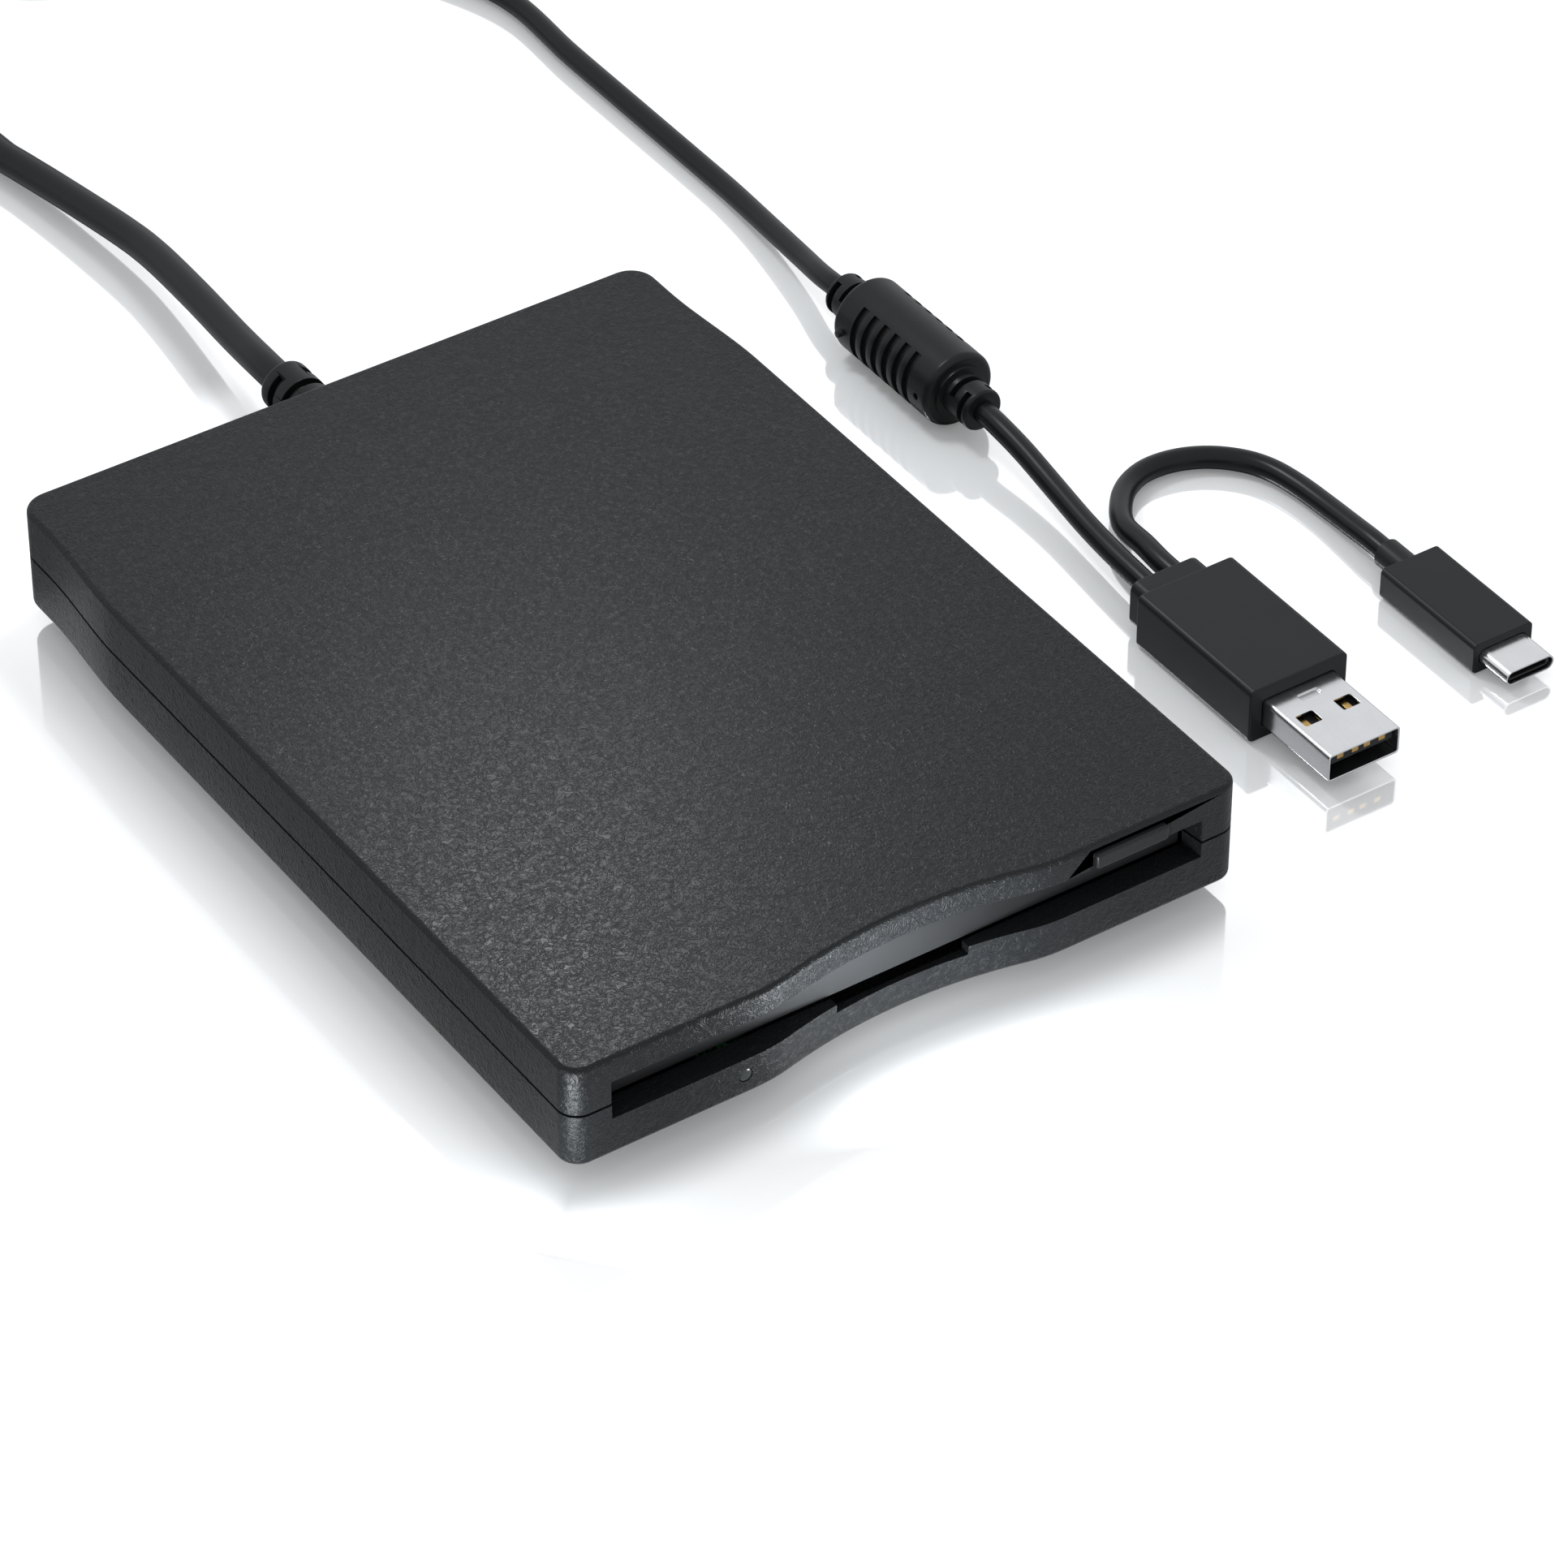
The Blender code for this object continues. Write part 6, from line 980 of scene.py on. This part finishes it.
@dataclass
class Cable:
    """The cable's stretches, its coil with the strap, and the pigtail."""

    bench: Bench
    thick: float = 2.4 * MM
    thin: float = 1.675 * MM
    taper: tuple[float, float] = (170.0 * MM, 195.0 * MM)
    end_run: float = 3.35 * MM
    coil_centre: Flat = (42.0 * MM, 230.0 * MM)
    coil_radius: float = 20.6 * MM
    coil_pitch: float = 4.5 * MM
    coil_layer: float = 3.9 * MM
    tie_lift: float = 0.9 * MM
    ferrite: Point = (81.15 * MM, 46.45 * MM, 6.0 * MM)
    ferrite_reach: float = 17.6 * MM

    def coil_points(self) -> list[Vector]:
        """The coil's centre line: in on the table, up, and out on top."""
        turns = 2.5
        steps = 120
        points = []
        for i in range(steps + 1):
            turn = turns * i / steps
            inward = min(turn, 1.0) - max(turn - 1.5, 0.0)
            radius = self.coil_radius - self.coil_pitch * inward
            angle = math.pi - 2.0 * math.pi * turn
            lift = self.tie_lift * max(math.cos(angle - math.pi / 2), 0.0) ** 2
            height = self.thin + 0.025 * MM + self.coil_layer * smooth_step((turn - 1.0) / 0.5) + lift
            points.append(Vector((self.coil_centre[0] + radius * math.cos(angle),
                                  self.coil_centre[1] + radius * math.sin(angle), height)))
        step = Vector((0.0, self.end_run, 0.0))
        return [points[0] - step, *points, points[-1] - step]

    def tube(self, name: str, points: Sequence[Vector], radii: Sequence[float]) -> bpy.types.Object:
        """A round cord along the points, as a curve."""
        thickest = max(radii)
        curve = bpy.data.curves.new(name, "CURVE")
        curve.dimensions = "3D"
        curve.bevel_depth = thickest
        curve.bevel_resolution = 8
        curve.use_fill_caps = True
        line = curve.splines.new("POLY")
        line.points.add(len(points) - 1)
        for point, place, radius in zip(line.points, points, radii):
            point.co = (*place, 1.0)
            point.radius = radius / thickest
        line.use_smooth = True
        piece = bpy.data.objects.new(name, curve)
        bpy.context.scene.collection.objects.link(piece)
        return piece

    def make_tie(self) -> bpy.types.Object:
        """The strap round the coil."""
        low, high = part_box("coil_tie")
        strap = block("strap", tuple(low), tuple(high), 1.2 * MM, 6, Axis.X)
        inner_low = (low.x - 1 * MM, low.y + 0.5 * MM, low.z + 0.5 * MM)
        inner_high = (high.x + 1 * MM, high.y - 0.5 * MM, high.z - 0.5 * MM)
        carve(strap, block("strap_room", inner_low, inner_high, 0.7 * MM, 6, Axis.X))
        soften(strap, 0.12 * MM, 2)
        return self.bench.dress(strap, WovenStrap(), "drive", "tie", "coil_tie")

    def make_all(self) -> None:
        """Builds the cords and works out the length of each."""
        jacket = SatinMould("cable_jacket", colour=(0.0045, 0.0047, 0.0050), roughness=0.3, specular=0.2)
        coil = self.coil_points()
        start = Vector((0.0, 0.05 * MM, 0.0))
        run = Vector((0.0, self.end_run, 0.0))
        ends = [tuple(coil[0] - start - run), tuple(coil[0] - start)]
        route = smooth_route(in_metres(DRIVE_RUN) + ends, 1.6 * MM)
        radii = []
        for point in route:
            share = smooth_step((point.y - self.taper[0]) / (self.taper[1] - self.taper[0]))
            radii.append(self.thick + (self.thin - self.thick) * share)
        first = self.tube("drive_cord", route, radii)
        self.bench.dress(first, jacket, "drive", "cable", "cord_at_drive")
        ring = self.tube("wound_cord", coil, [self.thin] * len(coil))
        self.bench.dress(ring, jacket, "drive", "cable", "cord_coil")
        strap = self.make_tie()
        far = self.ferrite[1] + self.ferrite_reach
        ends = [tuple(coil[-1] - start), tuple(coil[-1] - start - run)]
        last = [(self.ferrite[0], far + self.end_run / 2, self.ferrite[2]), (self.ferrite[0], far, self.ferrite[2])]
        to_ferrite = smooth_route(ends + in_metres(FERRITE_RUN) + last, 1.6 * MM)
        second = self.tube("ferrite_cord", to_ferrite, [self.thin] * len(to_ferrite))
        self.bench.dress(second, jacket, "drive", "cable", "cord_to_ferrite")
        near = [(self.ferrite[0], self.ferrite[1] - self.ferrite_reach, self.ferrite[2])]
        to_plug = smooth_route(near + in_metres(PLUG_RUN), 1.2 * MM)
        third = self.tube("plug_cord", to_plug, [self.thin] * len(to_plug))
        self.bench.dress(third, jacket, "drive", "cable", "cord_to_plug")
        pigtail = smooth_route(in_metres(PIGTAIL_RUN), 1.0 * MM)
        fourth = self.tube("pigtail", pigtail, [self.thin] * len(pigtail))
        self.bench.dress(fourth, jacket, "drive", "cable", "pigtail_cord")
        line_length(route)
        line_length(coil)
        line_length(to_ferrite)
        line_length(to_plug)
        line_length(pigtail)


@dataclass
class ReliefAndFerrite:
    """The slotted strain relief at the drive and the moulded ferrite."""

    bench: Bench
    gland_height: float = 9.5 * MM
    gland_start: float = 71.3 * MM
    gland_end: float = 85.95 * MM
    gland_radius: float = 3.9 * MM
    centre: Point = (81.15 * MM, 46.45 * MM, 6.0 * MM)
    radius: float = 5.95 * MM
    half: float = 11.75 * MM
    collar: float = 5.8 * MM
    collar_radius: float = 3.3 * MM

    def slots(self, piece: bpy.types.Object, centre: Flat, core: float, outer: float,
              places: Sequence[float], width: float) -> None:
        """Cuts paired slots with rounded ends across a strain relief, turned a quarter each time."""
        for i, y in enumerate(places):
            for side in range(2):
                middle = math.pi * side + (0.0 if i % 2 == 0 else math.pi / 2)
                outline = sector_ring(centre, core, outer + 0.6 * MM, middle, math.radians(128.0), 20)
                cutter = slab(f"slot_{i}_{side}", outline, Axis.Y, y - width / 2, y + width / 2)
                carve(piece, cutter)

    def make_gland(self) -> bpy.types.Object:
        """The strain relief: round end, four pairs of slots, flange inside the back wall."""
        r, end, start = self.gland_radius, self.gland_end, self.gland_start
        profile = [(2.45 * MM, end)]
        profile += [(r - 0.9 * MM + a, end - 0.9 * MM + b) for a, b in arc((0, 0), 0.9 * MM, math.pi / 2, 0.0, 8)]
        profile += [(r, start), (2.9 * MM, start), (2.9 * MM, 69.8 * MM), (3.8 * MM, 69.79 * MM), (3.8 * MM, 68.6 * MM)]
        gland = turned("strain_relief", profile, (0.0, 0.0, self.gland_height), Axis.Y, 72)
        places = [end - 3.0 * MM - 3.3 * MM * i for i in range(4)]
        self.slots(gland, (0.0, self.gland_height), 2.7 * MM, r, places, 1.35 * MM)
        soften(gland, 0.14 * MM, 3)
        finish = SatinMould("relief_rubber", colour=(0.0060, 0.0062, 0.0064), roughness=0.3)
        return self.bench.dress(gland, finish, "drive", "cable", "cable_gland")

    def make_ferrite(self) -> bpy.types.Object:
        """The ferrite: grooved barrel, stepped ends, slotted collars and four small holes."""
        r, half, tip = self.radius, self.half, self.half + self.collar
        upper = [(1.72 * MM, tip), (self.collar_radius - 0.5 * MM, tip)]
        upper += [(self.collar_radius - 0.5 * MM + a, tip - 0.5 * MM + b)
                  for a, b in arc((0, 0), 0.5 * MM, math.pi / 2, 0.0, 5)]
        upper += [(self.collar_radius, half + 0.5 * MM), (4.2 * MM, half + 0.49 * MM), (4.25 * MM, half)]
        upper += [(r - 1.0 * MM + a, half - 1.0 * MM + b) for a, b in arc((0, 0), 1.0 * MM, math.pi / 2, 0.0, 8)]
        lower = [(radius, -height) for radius, height in reversed(upper)]
        ferrite = turned("ferrite", upper + lower, self.centre, Axis.Y, 96)
        x, y, z = self.centre
        for side in range(2):
            for i in range(6):
                at = y + 2.6 * MM * (i - 2.5)
                outline = sector_ring((x, z), r - 0.6 * MM, r + 0.6 * MM, math.pi * side, math.radians(110.0), 24)
                carve(ferrite, slab(f"groove_{side}_{i}", outline, Axis.Y, at - 0.7 * MM, at + 0.7 * MM))
            for end in (-1, 1):
                sign = -1 if side else 1
                reach = [(0.55 * MM, sign * (r - 1.4 * MM)), (0.55 * MM, sign * (r + 0.8 * MM))]
                reach.sort(key=lambda step: step[1])
                at = (x, y + end * (half - 2.4 * MM), z)
                carve(ferrite, turned(f"hole_{side}_{end}", reach, at, Axis.X, 24))
        for end in (-1, 1):
            places = [y + end * (tip - 1.3 * MM - 2.4 * MM * i) for i in range(2)]
            self.slots(ferrite, (x, z), 2.3 * MM, self.collar_radius, places, 1.1 * MM)
        soften(ferrite, 0.12 * MM, 3)
        finish = SatinMould("ferrite_mould", colour=(0.0065, 0.0067, 0.0070), roughness=0.33, depth=0.03 * MM)
        return self.bench.dress(ferrite, finish, "drive", "ferrite", "ferrite_choke")

    def make_all(self) -> None:
        """Builds the strain relief and the ferrite."""
        self.make_gland()
        self.make_ferrite()


@dataclass
class PlugA:
    """The wide plug: overmould with its stepped neck, shell, tongue and gilt contacts."""

    bench: Bench
    x: float = 80.1 * MM
    back: float = -20.5 * MM
    front: float = -46.4 * MM
    width: float = 16.4 * MM
    height: float = 8.8 * MM
    mouth: float = -60.9 * MM
    shell_low: float = 2.05 * MM
    shell_high: float = 6.55 * MM
    shell_half: float = 6.0 * MM
    sheet: float = 0.3 * MM

    def make_body(self) -> bpy.types.Object:
        """The overmould with its neck."""
        half = self.width / 2
        body = block("plug_a_body", (self.x - half, self.front, 0.0), (self.x + half, self.back, self.height),
                     0.95 * MM, 6, Axis.Y)
        low = (79.1 * MM - 5.8 * MM, self.back - 0.5 * MM, 0.7 * MM)
        neck = block("plug_neck", low, (79.1 * MM + 5.8 * MM, self.back + 3.6 * MM, 8.1 * MM), 1.5 * MM, 6, Axis.Y)
        weld(body, neck)
        gap = 0.05 * MM
        low = (self.x - self.shell_half - gap, self.front - 1 * MM, self.shell_low - gap)
        high = (self.x + self.shell_half + gap, self.front + 2.75 * MM, self.shell_high + gap)
        carve(body, block("plug_pocket", low, high, 0.6 * MM, 4, Axis.Y))
        soften(body, 0.45 * MM, 5)
        return self.bench.dress(body, self.finish(), "drive", "overmould", "usb_a_overmould")

    @staticmethod
    def finish() -> SatinMould:
        """The finish of both overmoulds."""
        return SatinMould("overmould_satin", colour=(0.0100, 0.0103, 0.0108), roughness=0.4, specular=0.18)

    def make_shell(self) -> bpy.types.Object:
        """The shell: folded sheet, two windows on each side and a shallow latch recess."""
        half, sheet = self.shell_half, self.sheet
        back = self.front + 2.7 * MM
        shell = block("plug_a_shell", (self.x - half, self.mouth, self.shell_low),
                      (self.x + half, back, self.shell_high), 0.6 * MM, 6, Axis.Y)
        low = (self.x - half + sheet, self.mouth - 1 * MM, self.shell_low + sheet)
        high = (self.x + half - sheet, back + 1 * MM, self.shell_high - sheet)
        carve(shell, block("shell_room", low, high, 0.35 * MM, 4, Axis.Y))
        for side in (-1, 1):
            x = self.x + side * 3.2 * MM
            far = self.front - 5.1 * MM
            low, high = (x - 1.4 * MM, far - 2.5 * MM, 0.0), (x + 1.4 * MM, far, 9.0 * MM)
            carve(shell, block(f"window_{side}", low, high, 0.25 * MM, 3, Axis.Z))
        far = self.front - 1.6 * MM
        low = (self.x - 1.65 * MM, far - 1.3 * MM, self.shell_high - 0.22 * MM)
        carve(shell, block("latch", low, (self.x + 1.65 * MM, far, 9.0 * MM), 0.25 * MM, 3, Axis.Z))
        seam = (self.x - 0.06 * MM, self.mouth - 1 * MM, 0.0)
        carve(shell, block("seam", seam, (self.x + 0.06 * MM, back + 1 * MM, self.shell_low + 0.12 * MM)))
        soften(shell, 0.1 * MM, 3)
        return self.bench.dress(shell, PlatedMetal("nickel_shell"), "drive", "nickel", "usb_a_shell")

    def make_tongue(self) -> None:
        """The insulator and, on it, the four contacts."""
        low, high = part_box("usb_a_tongue")
        top = high.z - 0.2 * MM
        front = low.y + 0.2 * MM
        profile = [(front, top - 1.3 * MM), (high.y - 3.5 * MM, top - 1.3 * MM), (high.y - 3.5 * MM, low.z),
                   (high.y, low.z), (high.y, top), (front, top)]
        tongue = slab("plug_a_tongue", profile, Axis.X, low.x, high.x)
        soften(tongue, 0.12 * MM, 2)
        dark = SatinMould("tongue_black", colour=(0.010, 0.010, 0.011), roughness=0.42)
        self.bench.dress(tongue, dark, "drive", "insulator", "usb_a_tongue")
        contacts = None
        for offset in (-3.5, -1.0, 1.0, 3.5):
            x = self.x + offset * MM
            strip = block(f"contact_{offset}", (x - 0.55 * MM, front - 0.2 * MM, top - 0.65 * MM),
                          (x + 0.55 * MM, high.y - 1.8 * MM, top + 0.2 * MM), 0.1 * MM, 3)
            contacts = strip if contacts is None else weld(contacts, strip)
        contacts.name = "plug_a_contacts"
        soften(contacts, 0.0)
        gilt = PlatedMetal("gilt_contact", (0.66, 0.42, 0.14), (0.36, 0.22, 0.08), 0.26)
        self.bench.dress(contacts, gilt, "drive", "insulator")

    def make_all(self) -> None:
        """Builds the plug."""
        self.make_body()
        self.make_shell()
        self.make_tongue()


@dataclass
class PlugC:
    """The small plug: slim overmould with a round neck, oval shell and its insert."""

    bench: Bench
    x: float = 111.4 * MM
    back: float = -30.6 * MM
    front: float = -51.4 * MM
    middle: float = 2.5 * MM
    mouth: float = -57.4 * MM

    def make_all(self) -> None:
        """Builds the plug."""
        half = 5.1 * MM
        body = block("plug_c_body", (self.x - half, self.front, 0.0), (self.x + half, self.back, 5.0 * MM),
                     0.8 * MM, 6, Axis.Y)
        neck = [(2.2 * MM, self.back - 0.5 * MM), (2.2 * MM, self.back + 5.1 * MM)]
        weld(body, turned("plug_c_neck", neck, (self.x, 0.0, self.middle), Axis.Y, 48))
        outline = stadium((self.x, self.middle), 8.35 * MM, 2.5 * MM)
        carve(body, slab("plug_c_pocket", outline, Axis.Y, self.front - 1 * MM, self.front + 1.75 * MM))
        soften(body, 0.25 * MM, 4)
        self.bench.dress(body, PlugA.finish(), "drive", "overmould", "usb_c_overmould")
        outline = stadium((self.x, self.middle), 8.25 * MM, 2.4 * MM, 16)
        shell = slab("plug_c_shell", outline, Axis.Y, self.mouth, self.front + 1.7 * MM)
        outline = stadium((self.x, self.middle), 7.75 * MM, 1.9 * MM, 16)
        carve(shell, slab("plug_c_room", outline, Axis.Y, self.mouth - 1 * MM, self.front + 3 * MM))
        soften(shell, 0.06 * MM, 2)
        self.bench.dress(shell, PlatedMetal("nickel_shell"), "drive", "nickel", "usb_c_shell")
        face = self.mouth + 0.5 * MM
        outline = stadium((self.x, self.middle), 7.25 * MM, 1.4 * MM, 12)
        insert = slab("plug_c_insert", outline, Axis.Y, face, self.front + 1.7 * MM)
        low = (self.x - 3.1 * MM, face - 1 * MM, self.middle - 0.35 * MM)
        carve(insert, block("plug_c_mouth", low, (self.x + 3.1 * MM, face + 4.6 * MM, self.middle + 0.35 * MM)))
        soften(insert, 0.05 * MM, 2)
        dark = SatinMould("insert_black", colour=(0.010, 0.010, 0.011), roughness=0.42)
        self.bench.dress(insert, dark, "drive", "insulator", "usb_c_insert")


@dataclass
class Mechanism:
    """The drive's inside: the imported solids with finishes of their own."""

    bench: Bench

    def make_all(self) -> None:
        """Finishes every node of the mechanism."""
        coat = self.bench.coat
        coat(SpangledSheet(), "chassis", "mechanism_cover", "disk_holder", "slider_frame", "screw_bracket")
        bright = PlatedMetal("bright_steel", (0.66, 0.67, 0.68), (0.48, 0.49, 0.5), 0.24)
        coat(bright, "guide_rod", "arm_hinge_pin", "shutter_lever", "slider_spring", "spindle_rotor",
             "spindle_hub", "stepper_motor")
        coat(PlatedMetal("ground_screw", (0.6, 0.6, 0.62), (0.3, 0.3, 0.32), 0.3, 0.8 * MM, (0.1, 1.0, 0.1),
                         0.06 * MM), "lead_screw")
        coat(PlatedMetal("turned_brass", (0.72, 0.52, 0.22), (0.5, 0.35, 0.13), 0.28), "drive_pin", "spindle_bearing")
        coat(WoundCopper(), "stator")
        coat(CircuitBoard(), "motor_board", "main_board", "activity_led")
        coat(FlatFilm(), "ribbon_cable")
        coat(SatinMould("nylon", colour=(0.55, 0.52, 0.42), roughness=0.45), "cable_header")
        coat(SatinMould("resin", colour=(0.03, 0.031, 0.033), roughness=0.5), "head_carriage", "upper_head_arm",
             "density_plunger", "write_protect_plunger")
        coat(SatinMould("switch_black", colour=(0.012, 0.012, 0.013), roughness=0.45), "density_switch",
             "write_protect_switch")
        coat(SatinMould("ferrite_head", colour=(0.12, 0.12, 0.13), roughness=0.2), "lower_head", "upper_head")
        coat(SatinMould("wire_jacket", colour=(0.014, 0.014, 0.015), roughness=0.4), "cable_core")


# The studio ---------------------------------------------------------------------------------


@dataclass
class Studio:
    """The camera, the floor, the soft lights and the white surround."""

    position: Point = (-0.40216, -0.63419, 0.60859)
    forward: Point = (0.4342191, 0.64069608, -0.63321584)
    right: Point = (0.8286308, -0.55979255, 0.0018168)
    down: Point = (-0.35330549, -0.52549104, -0.77397313)
    focal_pixels: float = 8837.475
    floor_glow: float = 0.13
    cool: Point = (0.93, 0.985, 1.03)
    frame_pixels: float = 1932.0

    def make_camera(self) -> None:
        """The camera at the photograph's viewing angle."""
        camera = bpy.data.cameras.new("photo_camera")
        camera.sensor_fit = "HORIZONTAL"
        camera.sensor_width = 36.0
        camera.lens = self.focal_pixels / self.frame_pixels * camera.sensor_width
        camera.clip_start, camera.clip_end = 0.05, 20.0
        holder = bpy.data.objects.new("photo_camera", camera)
        bpy.context.scene.collection.objects.link(holder)
        axes = Matrix((self.right, [-v for v in self.down], [-v for v in self.forward])).transposed()
        holder.matrix_world = Matrix.Translation(self.position) @ axes.to_4x4()
        bpy.context.scene.camera = holder

    def make_floor(self) -> None:
        """A white table top with a faint gloss. Seen in reflections, its colour is painted shade, dark everywhere but
        in front of the case, and painted light, paler in front. A band along the edge of the case's footprint glows
        only in reflections, a painted highlight on the bottom rim.
        """
        deselect_all()
        bpy.ops.mesh.primitive_plane_add(size=6.0, location=(0.0, 0.0, -0.0002))
        floor = settle(bpy.context.object)
        floor.name = "table_top"
        shader = Shader("white_gloss")
        shader.set(Roughness=0.9, Specular_IOR_Level=0.0)
        mirrored = shader.node("ShaderNodeLightPath", {}, {}, "Is Glossy Ray")
        # Painted shade and light: glossy rays see the floor painted dark (0.25) everywhere but in front of the case,
        # and paler (0.72) in front of it. Camera and diffuse rays see it white.
        front = shader.along("Y").smooth(-66.0 * MM, -76.0 * MM)
        darker = shader.mix(front, (0.25, 0.255, 0.265), (0.72, 0.73, 0.75))
        shader.feed(shader.surface.inputs["Base Color"], shader.mix(mirrored, (1.0, 1.0, 1.0), darker))
        across = shader.node("ShaderNodeMath", {"operation": "ABSOLUTE"}, {0: shader.along("X")})
        down = shader.node("ShaderNodeMath", {"operation": "ABSOLUTE"}, {0: shader.along("Y") - 0.5 * MM})
        beyond = shader.node("ShaderNodeMath", {"operation": "MAXIMUM"},
                             {0: across - 52.0 * MM, 1: down - 70.75 * MM})
        contact = front * 0.25 + 0.55
        share = contact - beyond.smooth(-2.0 * MM, 10.0 * MM) * (contact - 0.06)
        far = shader.node("ShaderNodeMath", {"operation": "MAXIMUM"}, {
            0: beyond.smooth(24.0 * MM, 34.0 * MM), 1: shader.along("X").smooth(59.0 * MM, 68.0 * MM)})
        share = share + far * 0.4
        tree = shader.tree
        gloss = shader.node("ShaderNodeBsdfGlossy", {}, {"Color": (1.0, 1.0, 1.0), "Roughness": 0.06})
        diffuse = Value(shader, shader.surface.outputs[0])
        mixed = shader.node("ShaderNodeMixShader", {}, {0: share, 1: diffuse, 2: gloss})
        seen = shader.node("ShaderNodeLightPath", {}, {}, "Is Camera Ray")
        # Painted highlight: a band from 7 mm inside to 2 mm outside the edge of the case's footprint glows for glossy
        # rays only, so the case's bottom rim shows a light line. It is no lamp.
        painted_rim_glow = beyond.smooth(-7.0 * MM, -3.0 * MM) - beyond.smooth(0.0, 2.0 * MM)
        strength = seen * self.floor_glow + mirrored * painted_rim_glow * 0.7
        glow = shader.node("ShaderNodeEmission", {}, {"Color": (1.0, 1.0, 1.0), "Strength": strength})
        both = shader.node("ShaderNodeAddShader", {}, {0: mixed, 1: glow})
        tree.links.new(both.socket, tree.nodes["Material Output"].inputs["Surface"])
        floor.data.materials.append(shader.material)

    def make_world(self) -> None:
        """A soft, even surround of slightly cool white, the same in every direction."""
        world = bpy.data.worlds.new("studio_surround")
        world.use_nodes = True
        bpy.context.scene.world = world
        tree = world.node_tree
        back = tree.nodes["Background"]
        back.inputs["Color"].default_value = (0.97, 0.99, 1.01, 1.0)
        back.inputs["Strength"].default_value = 1.0

    def add_softbox(self, name: str, place: Point, aim: Point, size: Flat, power: float) -> None:
        """One rectangular soft light that faces a point."""
        light = bpy.data.lights.new(name, "AREA")
        light.shape = "RECTANGLE"
        light.size, light.size_y = size
        light.energy = power
        light.color = self.cool
        holder = bpy.data.objects.new(name, light)
        bpy.context.scene.collection.objects.link(holder)
        holder.location = place
        holder.rotation_mode = "QUATERNION"
        holder.rotation_quaternion = (Vector(aim) - Vector(place)).to_track_quat("-Z", "Y")
        holder.visible_camera = False

    def make_all(self) -> None:
        """Sets the stage."""
        self.make_camera()
        self.make_floor()
        self.make_world()
        self.add_softbox("back_box", (0.0401, 0.0885, 0.1622), (-0.0432, -0.0528, 0.019), (0.04, 0.04), 0.15)
        self.add_softbox("corner_card", (-0.0615, -0.0785, 0.0008), (-0.0525, -0.071, 0.012), (0.015, 0.015), 0.02)
        self.add_softbox("scoop_card", (0.0, -0.091, 0.0008), (0.008, -0.069, 0.014), (0.024, 0.014), 0.05)
        scene = bpy.context.scene
        scene.view_settings.view_transform = "Standard"


def main() -> None:
    """Builds the studio and the sub-assemblies in order."""
    logging.basicConfig(level=logging.INFO, format="%(name)s: %(message)s")
    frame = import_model()
    bench = Bench(frame)
    Studio().make_all()
    ReliefAndFerrite(bench).make_all()
    PlugA(bench).make_all()
    PlugC(bench).make_all()
    Cable(bench).make_all()
    DriveCase(bench).make_all()
    Mechanism(bench).make_all()
    deselect_all()
    LOG.info("%d new pieces", len(bench.made))


if __name__ == "__main__":
    main()
